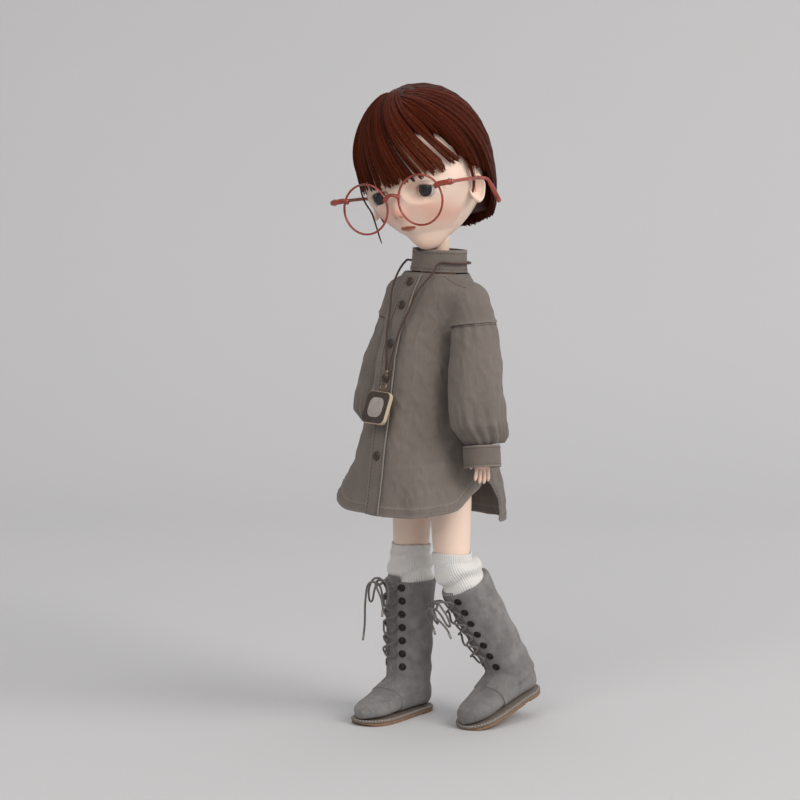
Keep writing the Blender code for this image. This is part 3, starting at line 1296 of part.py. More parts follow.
def make_necklace(bench):
    """A thin cord round the collar, a ring, and a plain tag that hangs from it."""
    reach = COLLAR_RADIUS * 1.04 + NECKLACE_CORD + CLEAR * 4
    strands = {}
    for sign in (-1, 1):
        strand = []
        for rise, across in STRAND_SHARES:
            height = PENDANT_TOP + (NECK_HOLE - PENDANT_TOP) * rise
            drift = PENDANT_SIDE * (1 - rise)
            point = nearest_dress_point(height, drift + sign * across * COLLAR_RADIUS * 1.6)
            strand.append(point + Vector((0, -NECKLACE_OUT - NECKLACE_CORD, 0)))
        strands[sign] = strand
    loop = []
    for index in range(11):
        angle = (48 + 264 * index / 10) * DEG
        behind = NECK_HOLE + NECKLACE_CORD * 3
        centre = (DRESS_ROWS[0][3] - DRESS_ROWS[0][2]) / 2
        loop.append(Vector((-reach * math.sin(angle), centre - reach * math.cos(angle),
                            behind - COLLAR_RADIUS * math.sin(LEAN * DEG) * math.cos(angle))))
    route = strands[-1][::-1] + loop + strands[1]
    cord = smooth_route(route, NECKLACE_CORD * 11)
    tube(bench, "necklace_cord", cord, NECKLACE_CORD, "dress", CORD_BROWN, roundness=1)
    ring = []
    for index in range(12):
        angle = 2 * math.pi * index / 12
        ring.append(Vector((RING_RADIUS * math.sin(angle), 0,
                            -RING_RADIUS - RING_WIRE - CLEAR + RING_RADIUS * math.cos(angle))))
    tube(bench, "pendant_ring", ring, RING_WIRE, "pendant", STEEL, roundness=0, closed=True)
    half = TAG_SIZE / 2
    top = -RING_RADIUS * 2 - RING_WIRE * 2 - CLEAR * 2
    tag = box_mesh("tag", (-half, -TAG_THICKNESS / 2, top - TAG_SIZE), (half, TAG_THICKNESS / 2, top))
    shape = bmesh.new()
    shape.from_mesh(tag)
    upright = [edge for edge in shape.edges
               if abs(edge.verts[0].co.y - edge.verts[1].co.y) > TAG_THICKNESS / 2]
    bmesh.ops.bevel(shape, geom=upright, offset=TAG_CORNER, segments=3, affect="EDGES",
                    profile=0.5)
    shape.to_mesh(tag)
    shape.free()
    bench.put("pendant_tag", tag, "pendant", TAG_BROWN)


def sole_half_width(along):
    """Half the sole's width by share of its length from the heel."""
    heel = 0.8 * math.sqrt(max(0, 1 - ((0.17 - along) / 0.17) ** 2)) if along < 0.17 else 0.8
    if along > 0.74:
        return math.sqrt(max(0, 1 - ((along - 0.74) / 0.26) ** 2))
    if along < 0.17:
        return heel
    return 0.8 + 0.2 * (1 - math.cos(math.pi * (along - 0.17) / 0.57)) / 2


def sole_outline(grow, height, count=15):
    """The sole's edge in plan, round from the heel along one side and back."""
    points = []
    for sign in (1, -1):
        for index in range(count):
            share = (1 - math.cos(math.pi * index / count)) / 2
            along = share if sign == 1 else 1 - share
            reach = SOLE_WIDTH / 2 + grow
            length = SOLE_LENGTH + 2 * grow
            points.append(Vector((sign * sole_half_width(along) * reach,
                                  SOLE_BACK + grow - along * length, height)))
    return points


# Shares of the boot's length from the heel, of its width, of the ankle's height
BOOT_SHARES = ((0.02, 0.42, 0.7647), (0.06, 0.66, 0.9412), (0.14, 0.78, 1.1765), (0.3, 0.8, 1.2353),
               (0.44, 0.84, 1.1765), (0.56, 0.92, 0.9706), (0.7, 0.99, 0.7353), (0.82,
               0.96, 0.6176), (0.92, 0.76, 0.5294), (0.975, 0.45, 0.4118))
WELT = 0.9 * MM


def boot_rings(grow, drop):
    """Upright sections of the boot's foot, heel to toe, standing on the sole."""
    base = SOLE_THICKNESS + CLEAR - ANKLE_HEIGHT - drop
    rings = []
    for index, (along, wide, high) in enumerate(BOOT_SHARES):
        y = SOLE_BACK - along * SOLE_LENGTH
        if index == 0:
            y += grow
        if index == len(BOOT_SHARES) - 1:
            y -= grow
        half = SOLE_WIDTH / 2 * wide - WELT + grow
        top = high * ANKLE_HEIGHT - SOLE_THICKNESS + grow + drop
        ring = []
        for step in range(10):
            x, z = oval(half, top / 2, top / 2, 2 * math.pi * (step + 0.5) / 10, 2.6)
            ring.append(Vector((x, y, base + top / 2 + z)))
        rings.append(ring)
    return rings


# Share of the shaft's height, side radius share, front and back radius share
SHAFT_SHARES = ((-0.12, 0.8, 0.95), (0.1, 0.86, 0.95), (0.35, 0.92, 0.96), (0.7, 0.98, 1),
                (1, 1.02, 1.03))


def shaft_rings(grow, overrun):
    """Level sections of the boot's shaft, up the shin from the ankle."""
    rings = []
    for share, wide, deep in SHAFT_SHARES:
        height = share * SHAFT_HEIGHT - SHIN_LENGTH
        if share == 1:
            height += overrun
        ring = []
        for step in range(12):
            x, y = oval(SHAFT_RADIUS * wide + grow, SHAFT_RADIUS * deep + grow,
                        SHAFT_RADIUS * deep + grow, 2 * math.pi * (step + 0.5) / 12)
            ring.append(Vector((x, y, height)))
        rings.append(ring)
    return rings


VAMP_LINE_SHARE = 0.3061
VAMP_LINE = -SOLE_LENGTH * VAMP_LINE_SHARE
VAMP_TOP = 1.2 * MM
THROAT_HALF = 3.4 * MM
TONGUE_TOP = 2 * MM


def make_boot(bench, side):
    """Sole, vamp, upper and tongue; the last three are cut from one boot form."""
    foot = side + "_foot"
    shin = side + "_shin"
    rings = [sole_outline(0, -ANKLE_HEIGHT), sole_outline(0, SOLE_THICKNESS - ANKLE_HEIGHT)]
    sole = bench.put(side + "_sole", loft_mesh("sole", rings), foot, SOLE_TAN)
    under_toe = box_mesh("under_toe", (-OVERRUN, -OVERRUN, -OVERRUN), (OVERRUN, 0, 0))
    corner = Matrix.Translation((0, SOLE_BACK - SOLE_LENGTH + TOE_SPRING, -ANKLE_HEIGHT))
    cut(sole, bench.cutter(side + "_under_toe", under_toe, foot,
                           corner @ turn("X", -toe_pitch() / DEG).to_4x4()))
    shaft = bench.cutter(side + "_shaft", loft_mesh("shaft", shaft_rings(0, 0)), shin)
    foot_room = bench.cutter(side + "_foot_room",
                             loft_mesh("foot_room", boot_rings(-LEATHER, CLEAR * 4)), foot)
    shaft_room = bench.cutter(side + "_shaft_room",
                              loft_mesh("shaft_room", shaft_rings(-LEATHER, OVERRUN)), shin)
    cut(foot_room, shaft_room, "UNION")
    wide = OVERRUN
    behind = box_mesh("behind_vamp", (-wide, VAMP_LINE, -wide), (wide, wide, wide * 3))
    above = box_mesh("above_vamp", (-wide, -wide * 2, VAMP_TOP - CLEAR),
                     (wide, VAMP_LINE + WELT, wide * 3))
    ahead = box_mesh("ahead_of_upper", (-wide, -wide * 2, -wide),
                     (wide, VAMP_LINE + CLEAR, VAMP_TOP))
    half = THROAT_HALF
    low = -SHIN_LENGTH + CLEAR
    throat = box_mesh("throat", (-half, -wide, low), (half, 0, wide))
    instep = box_mesh("instep", (-half * 0.96, VAMP_LINE + CLEAR * 4, -LEATHER),
                      (half * 0.96, 0, wide / 2))
    half -= CLEAR * 2
    tongue_top = low + SHAFT_HEIGHT + TONGUE_TOP
    tongue_room = box_mesh("tongue_form", (-half, -wide, low), (half, -half, tongue_top))
    for name in ("vamp", "upper", "tongue"):
        piece = bench.put(f"{side}_{name}", loft_mesh(name, boot_rings(0, 0)), foot, SUEDE)
        if name != "vamp":
            cut(piece, bench.cutter(f"{side}_ahead_of_{name}", ahead, foot))
        cut(piece, shaft, "UNION")
        cut(piece, foot_room)
        if name == "vamp":
            cut(piece, bench.cutter(side + "_behind_vamp", behind, foot))
            cut(piece, bench.cutter(side + "_above_vamp", above, foot))
        elif name == "upper":
            opening = bench.cutter(side + "_throat", throat, shin)
            cut(opening, bench.cutter(side + "_instep", instep, foot), "UNION")
            cut(piece, opening)
        else:
            cut(piece, bench.cutter(side + "_tongue_form", tongue_room, shin), "INTERSECT")


# Shares of the shin's length down from the knee, and of its radius
SOCK_SHARES = ((0.0726, 1.1071), (0.2581, 1.0952), (0.5161, 1.0119), (0.871, 0.8214))


def make_sock(bench, side):
    """A sock from the ankle to just under the knee's middle."""
    wall = CLOTH * 0.9
    rows = [(-down * SHIN_LENGTH, wide * SHIN_RADIUS) for down, wide in SOCK_SHARES]
    outline = [(radius + wall, height) for height, radius in rows]
    outline += [(radius, height) for height, radius in rows[::-1]]
    turned(bench, side + "_sock", outline, side + "_shin", COTTON, sides=14)


def make_laces(bench, side):
    """One lace a boot: criss-cross rows, a bow's two loops and two free ends."""
    bpy.context.view_layer.update()
    shin = bench.frames[side + "_shin"].matrix_world
    out = LACE * 1.6
    rows = []
    for row in range(EYELET_ROWS - 1):
        rise = SHAFT_HEIGHT * (0.93 - 0.13 * row)
        reach = SHAFT_RADIUS * (0.97 + 0.05 * rise / SHAFT_HEIGHT) + out
        rows.append((rise - SHIN_LENGTH, reach))

    def eyelet(row, sign, extra=0.0):
        height, reach = rows[row]
        x = sign * THROAT_HALF * 1.35
        y = -math.sqrt(reach ** 2 - x ** 2) - extra
        return Vector((x, y, height))

    def crossing(row, extra):
        height = (rows[row][0] + rows[row + 1][0]) / 2
        return Vector((0, -(rows[row][1] + rows[row + 1][1]) / 2 - extra, height))

    knot = Vector((0, -rows[0][1] - LACE * 5, rows[0][0] + LACE * 3))
    down = [eyelet(0, -1)]
    up = [eyelet(0, 1)]
    for row in range(len(rows) - 1):
        sign = 1 if row % 2 == 0 else -1
        down += [crossing(row, 0), eyelet(row + 1, sign)]
        up += [crossing(row, LACE * 2.8), eyelet(row + 1, -sign)]
    lacing = down + [(down[-1] + up[-1]) / 2 + Vector((0, -LACE, -LACE * 3))] + up[::-1]
    size = LACE * 2.6
    loops = {}
    for sign in (-1, 1):
        loops[sign] = [knot + Vector(step) * size for step in (
            (sign * 0.9, -0.2, 0.9), (sign * 2.6, -0.9, 0.4), (sign * 3.8, -1.2, -2.2),
            (sign * 3.2, -1.4, -4.8), (sign * 2.0, -1.5, -4.6), (sign * 1.5, -1.4, -2.2),
            (sign * 0.8, -1.5, -0.5))]
    ends = {}
    for sign in (-1, 1):
        long = 1.6 if (side == "right" and sign == -1) else 0.8
        ends[sign] = [knot + Vector(step) * size for step in (
            (sign * 0.5, -2.4, 0.4), (sign * 1.8, -3.2, -0.6), (sign * 3.0, -2.9, -3.5 * long),
            (sign * 3.4, -2.6, -6.5 * long), (sign * 3.6, -2.9, -9 * long))]
    route = (ends[-1][::-1] + loops[-1][::-1] + lacing + loops[1] + ends[1])
    points = [shin @ point for point in smooth_route(route, LACE * 10)]
    tube(bench, side + "_laces", points, LACE * 0.66, "floor", LACE_GREY, roundness=0)


def build():
    clear_scene()
    bench = Bench()
    lay_out_frames(bench)
    place = pelvis_place()
    bench.frame("dress", "floor", place, turn("Z", DRESS_YAW))
    front = nearest_dress_point(PENDANT_TOP, PENDANT_SIDE)
    hang = Vector((front.x, front.y - NECKLACE_OUT - NECKLACE_CORD - TAG_THICKNESS / 2,
                   PENDANT_TOP - NECKLACE_CORD * 2))
    bench.frame("pendant", "dress", hang, turn("X", -PENDANT_LEAN))
    bpy.context.view_layer.update()
    make_pelvis(bench)
    make_torso(bench)
    make_neck(bench)
    for side in ("right", "left"):
        make_leg(bench, side)
        make_foot(bench, side)
        make_arm(bench, side)
        make_sock(bench, side)
        make_boot(bench, side)
        make_laces(bench, side)
    make_elastics(bench)
    make_head(bench)
    make_wig(bench)
    make_glasses(bench)
    make_dress(bench)
    make_sleeves(bench)
    make_collar(bench)
    make_placket(bench)
    make_necklace(bench)


build()
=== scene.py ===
"""A ball jointed doll in a shirt dress, with a bob wig, round glasses, a cord
necklace and lace-up boots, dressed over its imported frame.

Lengths are in metres. The doll faces -Y, its left side is +X, and it stands on z = 0.
"""
import json
import math
import random

import bmesh
import bpy
import numpy as np
from bpy.props import FloatProperty, FloatVectorProperty, PointerProperty
from mathutils import Matrix, Vector, noise
from mathutils.bvhtree import BVHTree


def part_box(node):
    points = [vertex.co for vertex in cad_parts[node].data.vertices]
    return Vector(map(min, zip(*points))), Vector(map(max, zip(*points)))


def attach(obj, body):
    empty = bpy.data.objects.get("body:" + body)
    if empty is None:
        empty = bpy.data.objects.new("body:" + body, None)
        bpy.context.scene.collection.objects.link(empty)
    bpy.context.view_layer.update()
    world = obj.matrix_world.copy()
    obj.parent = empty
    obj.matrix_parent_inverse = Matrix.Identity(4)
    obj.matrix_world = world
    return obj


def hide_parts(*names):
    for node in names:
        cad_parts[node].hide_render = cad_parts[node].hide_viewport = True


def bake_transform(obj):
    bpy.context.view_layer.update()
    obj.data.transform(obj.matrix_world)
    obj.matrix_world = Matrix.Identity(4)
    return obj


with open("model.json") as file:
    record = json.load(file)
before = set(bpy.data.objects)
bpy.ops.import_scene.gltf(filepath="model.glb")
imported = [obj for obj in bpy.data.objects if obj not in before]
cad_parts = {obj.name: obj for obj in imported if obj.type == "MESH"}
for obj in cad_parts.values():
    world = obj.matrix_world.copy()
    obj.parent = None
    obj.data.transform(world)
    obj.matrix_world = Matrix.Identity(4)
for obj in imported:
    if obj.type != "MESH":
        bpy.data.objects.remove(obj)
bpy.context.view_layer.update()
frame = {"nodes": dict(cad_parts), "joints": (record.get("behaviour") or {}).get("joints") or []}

bl_info = {"name": "Ball Jointed Doll", "version": (1, 0, 0), "blender": (4, 5, 0),
    "location": "View3D > Sidebar > Doll",
    "description": "Dresses a ball jointed doll in its wig, glasses, shirt and boots",
    "category": "Object"}

MM = 0.001
DEG = math.pi / 180
SIDES = (("right", -1), ("left", 1))


# Frames of the doll's pieces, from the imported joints
def joint(name):
    return next(item for item in frame["joints"] if item["name"] == name)


def joint_place(name):
    return Vector(joint(name)["pos_m"])


def joint_axis(name, sign=1):
    return Vector(joint(name)["axis"]) * sign


def set_up(origin, x_axis, z_axis):
    """A frame from its origin, X axis and Z axis."""
    x_axis = x_axis.normalized()
    y_axis = z_axis.cross(x_axis).normalized()
    turned = Matrix((x_axis, y_axis, x_axis.cross(y_axis))).transposed()
    return Matrix.Translation(origin) @ turned.to_4x4()


DRESS_YAW = 9
SOLE_LENGTH = 49 * MM
SOLE_BACK = 13 * MM
TOE_SPRING = 4 * MM
TOE_PITCH = 15.4 * DEG
ANKLE_HEIGHT = 17 * MM


def boot_frame(side):
    """The right sole lies flat; the left one pitches onto its toe."""
    ankle = joint_place(side + "_ankle_bend")
    across = joint_axis(side + "_ankle_bend")
    up = Vector((0, 0, 1))
    if side == "left":
        toe = SOLE_LENGTH - SOLE_BACK - TOE_SPRING
        reach = math.hypot(toe, ANKLE_HEIGHT)
        pitch = math.asin(min(1, ankle.z / reach)) - math.atan2(ANKLE_HEIGHT, toe)
        up = Matrix.Rotation(pitch, 3, across) @ up
    return set_up(ankle, across, up)


def lay_out_frames():
    """Each piece is shaped in the frame of the body part that carries it."""
    hips = (joint_place("left_hip_swing") + joint_place("right_hip_swing")) / 2
    spots = {"dress": Matrix.Translation(hips) @ Matrix.Rotation(DRESS_YAW * DEG, 4, "Z")}
    spots["chest"] = set_up(joint_place("chest_twist"), joint_axis("neck_bend", -1),
        joint_axis("chest_twist"))
    spots["neck"] = set_up(joint_place("neck_bend"), joint_axis("neck_bend", -1),
        joint_axis("head_turn"))
    head_up = joint_axis("left_temple_spread", -1)
    head_side = joint_axis("glasses_slide", -1).cross(head_up)
    spots["head"] = set_up(joint_place("head_tilt"), head_side, head_up)
    for side, sign in SIDES:
        spots[side + "_temple"] = set_up(joint_place(side + "_temple_spread"), head_side, head_up)
        along = joint_axis(side + "_elbow_bend", -1)
        out = joint_axis(side + "_shoulder_raise", -sign)
        spots[side + "_upper_arm"] = set_up(joint_place(side + "_shoulder_raise"), along,
            along.cross(out))
        spots[side + "_forearm"] = set_up(joint_place(side + "_elbow_bend"), along,
            joint_axis(side + "_wrist_turn", sign))
        spots[side + "_wrist"] = set_up(joint_place(side + "_wrist_bend"), along,
            joint_axis(side + "_wrist_turn", sign))
        knee = joint_place(side + "_knee_bend")
        across = joint_axis(side + "_knee_bend")
        spots[side + "_thigh"] = set_up(joint_place(side + "_thigh_spread"), across,
            joint_place(side + "_thigh_spread") - knee)
        spots[side + "_shin"] = set_up(knee, across, knee - joint_place(side + "_ankle_bend"))
        spots[side + "_foot"] = boot_frame(side)
    pendant_side = joint_axis("pendant_swing", -1)
    pendant_up = (joint_place("pendant_swing") - sum(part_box("pendant_tag"), Vector()) / 2)
    spots["pendant"] = set_up(joint_place("pendant_swing"), pendant_side, pendant_up)
    return spots


SPOTS = lay_out_frames()


# Small helpers for meshes
def bump_at(distance, width):
    return math.exp(-(distance / width) ** 2)


def smooth_step(low, high, value):
    share = min(1, max(0, (value - low) / (high - low)))
    return share * share * (3 - 2 * share)


def blend_table(table, at):
    """Values between the rows of a table whose first column is the place."""
    rows = sorted(table)
    if at <= rows[0][0]:
        return list(rows[0][1:])
    for low, high in zip(rows, rows[1:]):
        if at <= high[0]:
            share = (at - low[0]) / (high[0] - low[0])
            return [a + (b - a) * share for a, b in zip(low[1:], high[1:])]
    return list(rows[-1][1:])


def curl_noise(place, size, seed=0.0):
    """Smooth noise of one real size, from -1 to 1."""
    return noise.noise(Vector(place) / size + Vector((seed, seed * 1.7, seed * 0.3)))


def smooth_route(points, spacing):
    """Points at an even spacing on a Catmull-Rom curve through a route."""
    points = [Vector(point) for point in points]
    ends = [points[0] * 2 - points[1]] + points + [points[-1] * 2 - points[-2]]
    route = [points[0].copy()]
    for before, start, stop, after in zip(ends, ends[1:], ends[2:], ends[3:]):
        pieces = max(1, round((stop - start).length / spacing))
        for step in range(1, pieces + 1):
            share = step / pieces
            route.append((start * 2 + (stop - before) * share + (before * 2 - start * 5 + stop * 4
                - after) * share ** 2 + (start * 3 - before - stop * 3 + after) * share ** 3) / 2)
    return route


def add_object(name, mesh):
    thing = bpy.data.objects.new(name, mesh)
    bpy.context.scene.collection.objects.link(thing)
    return thing


def place_in(thing, spot):
    """Puts a mesh where its frame is, and leaves the object itself at the origin."""
    thing.data.transform(SPOTS[spot] if isinstance(spot, str) else spot)
    return thing


def surface(name, rows, wrap=True, caps=False, flip=False):
    """A quad surface over rows of points, with a UV map in metres along it."""
    count = len(rows[0])
    rows_np = np.array([[tuple(point) for point in row] for row in rows])
    heights = np.zeros(len(rows))
    heights[1:] = np.cumsum(np.linalg.norm(np.diff(rows_np, axis=0), axis=2).mean(axis=1))
    width = np.linalg.norm(np.diff(rows_np, axis=1), axis=2).sum(axis=1).mean()
    faces = []
    marks = []
    for low in range(len(rows) - 1):
        for index in range(count if wrap else count - 1):
            after = (index + 1) % count
            face = [low * count + index, low * count + after, (low + 1) * count + after,
                (low + 1) * count + index]
            left = index / (count - 1) * width
            right = (index + 1) / (count - 1) * width
            mark = [(left, heights[low]), (right, heights[low]), (right, heights[low + 1]),
                (left, heights[low + 1])]
            faces.append(face[::-1] if flip else face)
            marks.append(mark[::-1] if flip else mark)
    if caps:
        for start, turned in ((0, True), ((len(rows) - 1) * count, False)):
            face = list(range(start, start + count))
            faces.append(face[::-1] if turned != flip else face)
            marks.append([(0, 0)] * count)
    mesh = bpy.data.meshes.new(name)
    mesh.from_pydata([tuple(point) for row in rows for point in row], [], faces)
    layer = mesh.uv_layers.new(name="cut")
    layer.data.foreach_set("uv", np.array([value for face in marks for mark in face for value in
        mark], dtype=np.float32))
    mesh.shade_smooth()
    mesh.update()
    return mesh


def sweep(name, points, radius, sides=10, closed=False, flat=1.0, taper=None, up=None):
    """A tube along points. radius may be shared out along it, and flat squeezes it."""
    points = [Vector(point) for point in points]
    count = len(points)
    rows = []
    normal = Vector(up) if up else None
    for index, point in enumerate(points):
        if closed:
            ahead = points[(index + 1) % count] - points[index - 1]
        else:
            ahead = points[min(index + 1, count - 1)] - points[max(index - 1, 0)]
        ahead.normalize()
        if normal is None:
            normal = ahead.orthogonal()
        normal = (normal - ahead * normal.dot(ahead)).normalized()
        side = ahead.cross(normal)
        size = radius * (taper(index / (count - 1)) if taper else 1)
        rows.append([point + side * math.cos(2 * math.pi * step / sides) * size + normal *
            math.sin(2 * math.pi * step / sides) * size * flat for step in range(sides)])
    if closed:
        rows.append(rows[0])
        mesh = surface(name, rows, flip=True)
        merge(mesh)
        return mesh
    return surface(name, rows, caps=True, flip=True)


def merge(mesh, distance=0.00001):
    """Welds doubles and turns the faces outwards."""
    shape = bmesh.new()
    shape.from_mesh(mesh)
    bmesh.ops.remove_doubles(shape, verts=shape.verts, dist=distance)
    bmesh.ops.recalc_face_normals(shape, faces=shape.faces)
    shape.to_mesh(mesh)
    shape.free()
    return mesh


def lathe(name, outline, sides=64, loop=False):
    """A turned surface from (radius, height) points."""
    rows = [[Vector((radius * math.sin(2 * math.pi * step / sides),
        -radius * math.cos(2 * math.pi * step / sides), height)) for step in range(sides)] for
        radius, height in outline]
    if loop:
        rows.append(rows[0])
    mesh = surface(name, rows)
    return merge(mesh)


def soft_box(name, size, round_edge, segments=3):
    """A block with rounded edges, round its own middle."""
    shape = bmesh.new()
    bmesh.ops.create_cube(shape, size=1, matrix=Matrix.Diagonal((*size, 1)))
    bmesh.ops.bevel(shape, geom=shape.edges[:], offset=round_edge, segments=segments,
        affect="EDGES", profile=0.5)
    mesh = bpy.data.meshes.new(name)
    shape.to_mesh(mesh)
    shape.free()
    mesh.shade_smooth()
    return mesh


def joined(name, meshes):
    """Several meshes as one, keeping the UV map."""
    things = [add_object(f"{name}_{index}", mesh) for index, mesh in enumerate(meshes)]
    with bpy.context.temp_override(active_object=things[0], selected_editable_objects=things,
            selected_objects=things):
        bpy.ops.object.join()
    mesh = things[0].data
    bpy.data.objects.remove(things[0])
    mesh.name = name
    return mesh


def moved(mesh, matrix):
    mesh.transform(matrix)
    return mesh


def modified(thing, kind, **settings):
    step = thing.modifiers.new(kind.lower(), kind)
    for key, value in settings.items():
        setattr(step, key, value)
    return step


def thickened(thing, wall, offset=-1.0):
    return modified(thing, "SOLIDIFY", thickness=wall, offset=offset, use_even_offset=True,
        use_rim=True)


def rounded(thing, levels=1):
    return modified(thing, "SUBSURF", levels=levels, render_levels=levels)


def baked(thing):
    """Turns modifiers and nodes into a plain mesh."""
    bpy.context.view_layer.update()
    ready = thing.evaluated_get(bpy.context.evaluated_depsgraph_get())
    mesh = bpy.data.meshes.new_from_object(ready)
    thing.modifiers.clear()
    thing.data = mesh
    return thing


def dress_piece(name, mesh, look, body, *nodes, spot=None):
    """Names a finished piece, gives it its finish and its body, and hides its CAD node."""
    thing = add_object(name, mesh)
    if spot:
        place_in(thing, spot)
    if look:
        thing.data.materials.clear()
        thing.data.materials.append(look)
    if body:
        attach(thing, body)
    if nodes:
        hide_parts(*nodes)
    return thing


def bend_at(thing, hinge, spot, reach):
    """Works out a joint's middle and a reach along a body part's length, then bakes the piece's
    place into its mesh.
    """
    up = (SPOTS[spot].to_3x3() @ Vector((0, 0, 1))).normalized() * reach
    middle = joint_place(hinge)
    tuple(middle + up)
    tuple(middle - up)
    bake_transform(thing)


def bend_at_ankle(thing, side):
    bend_at(thing, side + "_ankle_bend", side + "_shin", 6 * MM)


# Materials
def linear(text):
    """The linear colour of an sRGB hex value; a colour setting is linear already."""
    if not isinstance(text, str):
        return tuple(text)
    values = [int(text[place:place + 2], 16) / 255 for place in (1, 3, 5)]
    return tuple(value / 12.92 if value <= 0.04045 else ((value + 0.055) / 1.055) ** 2.4 for value
        in values)


def add(tree, kind, links=None, **settings):
    """Adds a node; links holds a value or a socket for each input."""
    node = tree.nodes.new(kind)
    for key, value in settings.items():
        setattr(node, key, value)
    for key, value in (links or {}).items():
        if isinstance(value, bpy.types.NodeSocket):
            tree.links.new(value, node.inputs[key])
        else:
            node.inputs[key].default_value = value
    return node


class Look:
    """A material built on one Principled shader, with its patterns in millimetres."""

    def __init__(self, name, colour, roughness, **inputs):
        self.material = bpy.data.materials.new(name)
        self.material.use_nodes = True
        self.tree = self.material.node_tree
        self.shader = self.tree.nodes["Principled BSDF"]
        self.tint = (*linear(colour), 1)
        self.set("Base Color", self.tint)
        self.set("Roughness", roughness)
        for key, value in inputs.items():
            self.set(key.replace("_", " ").capitalize(), value)
        self.normal = None
        coords = add(self.tree, "ShaderNodeTexCoord").outputs["Object"]
        self.place = add(self.tree, "ShaderNodeVectorMath", {0: coords, 1: (1000, 1000, 1000)},
            operation="MULTIPLY").outputs[0]

    def set(self, key, value):
        names = {item.name.lower(): item for item in self.shader.inputs}
        socket = names[key.lower()]
        if isinstance(value, bpy.types.NodeSocket):
            self.tree.links.new(value, socket)
        else:
            socket.default_value = value

    def cut(self):
        """The piece's own UV map, in millimetres."""
        marks = add(self.tree, "ShaderNodeUVMap", uv_map="cut").outputs[0]
        return add(self.tree, "ShaderNodeVectorMath", {0: marks, 1: (1000, 1000, 1000)},
            operation="MULTIPLY").outputs[0]

    def clouds(self, size, detail=3.0, stretch=None, vector=None):
        """Noise of one size in mm; stretch divides each direction."""
        vector = vector or self.place
        if stretch:
            vector = add(self.tree, "ShaderNodeVectorMath", {0: vector, 1: stretch},
                operation="DIVIDE").outputs[0]
        return add(self.tree, "ShaderNodeTexNoise", {"Vector": vector, "Scale": 1 / size,
            "Detail": detail}).outputs[0]

    def stripes(self, period, vector, axis="X", wobble=0.0):
        """Smooth lines with one period in mm."""
        return add(self.tree, "ShaderNodeTexWave", {"Vector": vector, "Scale": 0.31416 / period,
            "Distortion": wobble}, bands_direction=axis).outputs["Fac"]

    def ramp(self, value, low, high, start=0.0, stop=1.0):
        return add(self.tree, "ShaderNodeMapRange", {"Value": value, "From Min": low,
            "From Max": high, "To Min": start, "To Max": stop}, clamp=True).outputs[0]

    def sums(self, first, second, operation="MULTIPLY"):
        return add(self.tree, "ShaderNodeMath", {0: first, 1: second},
            operation=operation).outputs[0]

    def tinted(self, factor, colour):
        """Mixes a colour over the base by a factor."""
        mix = self.tree.nodes.new("ShaderNodeMix")
        mix.data_type = "RGBA"
        if isinstance(self.tint, tuple):
            mix.inputs[6].default_value = self.tint
        else:
            self.tree.links.new(self.tint, mix.inputs[6])
        mix.inputs[7].default_value = (*linear(colour), 1)
        self.tree.links.new(factor, mix.inputs[0])
        self.tint = mix.outputs[2]
        self.set("Base Color", self.tint)
        return self

    def bumped(self, height, depth):
        """Raises the surface by a pattern; depth is in mm."""
        links = {"Height": height, "Distance": depth * MM, "Strength": 1.0}
        if self.normal:
            links["Normal"] = self.normal
        self.normal = add(self.tree, "ShaderNodeBump", links).outputs[0]
        self.set("Normal", self.normal)
        return self

    def mark(self, name, part="Fac"):
        """A value that the mesh carries on its corners or points."""
        return add(self.tree, "ShaderNodeAttribute", attribute_name=name).outputs[part]


def skin_look(colour, blush):
    """Soft vinyl skin: a little light under the surface, painted blush and lips, and painted shade
    in the lip gap, nostrils, lid crease, lid rims and ear hollows.
    """
    look = Look("painted vinyl skin", colour, 0.48, subsurface_weight=0.12,
        subsurface_radius=(0.004, 0.0016, 0.001), subsurface_scale=1.0)
    look.tinted(look.ramp(look.clouds(7), 0.45, 0.75, 0, 0.12), "#F3D9CB")
    look.tinted(look.ramp(look.mark("blush"), 0, 1, 0, blush), "#D97F63")
    look.tinted(look.sums(look.mark("lips"), 0.85), "#B8573F")
    # painted shade from the shade mark: lip gap, nostrils, lid crease and ear hollows; at the lid
    # rims it is partly a painted lash line and partly painted shade
    look.tinted(look.mark("shade"), "#7C3B29")
    look.bumped(look.clouds(0.35, 4), 0.012)
    return look.material


def resin_look():
    """Cast resin of the hidden joints, a little shinier than the face."""
    look = Look("cast resin", "#E3C3AE", 0.38, subsurface_weight=0.08, subsurface_scale=0.002)
    look.tinted(look.ramp(look.clouds(5), 0.4, 0.7, 0, 0.15), "#EFD6C6")
    look.bumped(look.clouds(1.4, 3), 0.02)
    return look.material


def hair_look(dark, light, name="wig fibre"):
    """Wig fibre: fine lines along the hair and auburn lights among dark strands."""
    look = Look(name, dark, 0.4, anisotropic=0.5, specular_ior_level=0.3,
        specular_tint=(*linear("#D98A6A"), 1))
    look.tinted(look.ramp(look.mark("tint"), 0.2, 1), light)
    look.tinted(look.ramp(look.mark("glow"), 0, 1, 0, 0.5), light)
    lines = look.clouds(0.5, 4, stretch=(1, 1, 9), vector=look.cut())
    look.bumped(lines, 0.05)
    look.set("Roughness", look.ramp(look.clouds(3), 0.3, 0.7, 0.34, 0.48))
    return look.material


def acetate_look(colour):
    """Translucent red-brown acetate with darker clouds and a polished skin."""
    look = Look("tortoise acetate", colour, 0.14, transmission_weight=0.15, ior=1.49,
        coat_weight=0.7, coat_roughness=0.05)
    look.tinted(look.ramp(look.clouds(4, 2), 0.5, 0.7, 0, 0.55), "#3E120C")
    look.bumped(look.clouds(2, 2), 0.01)
    return look.material


def lens_look():
    """Clear plastic lens with a faint reflection and smudge."""
    look = Look("clear lens", "#8A8A8A", 0.04, alpha=0.03, ior=1.5, specular_ior_level=0.6)
    look.set("Roughness", look.ramp(look.clouds(5), 0.4, 0.7, 0.02, 0.09))
    return look.material


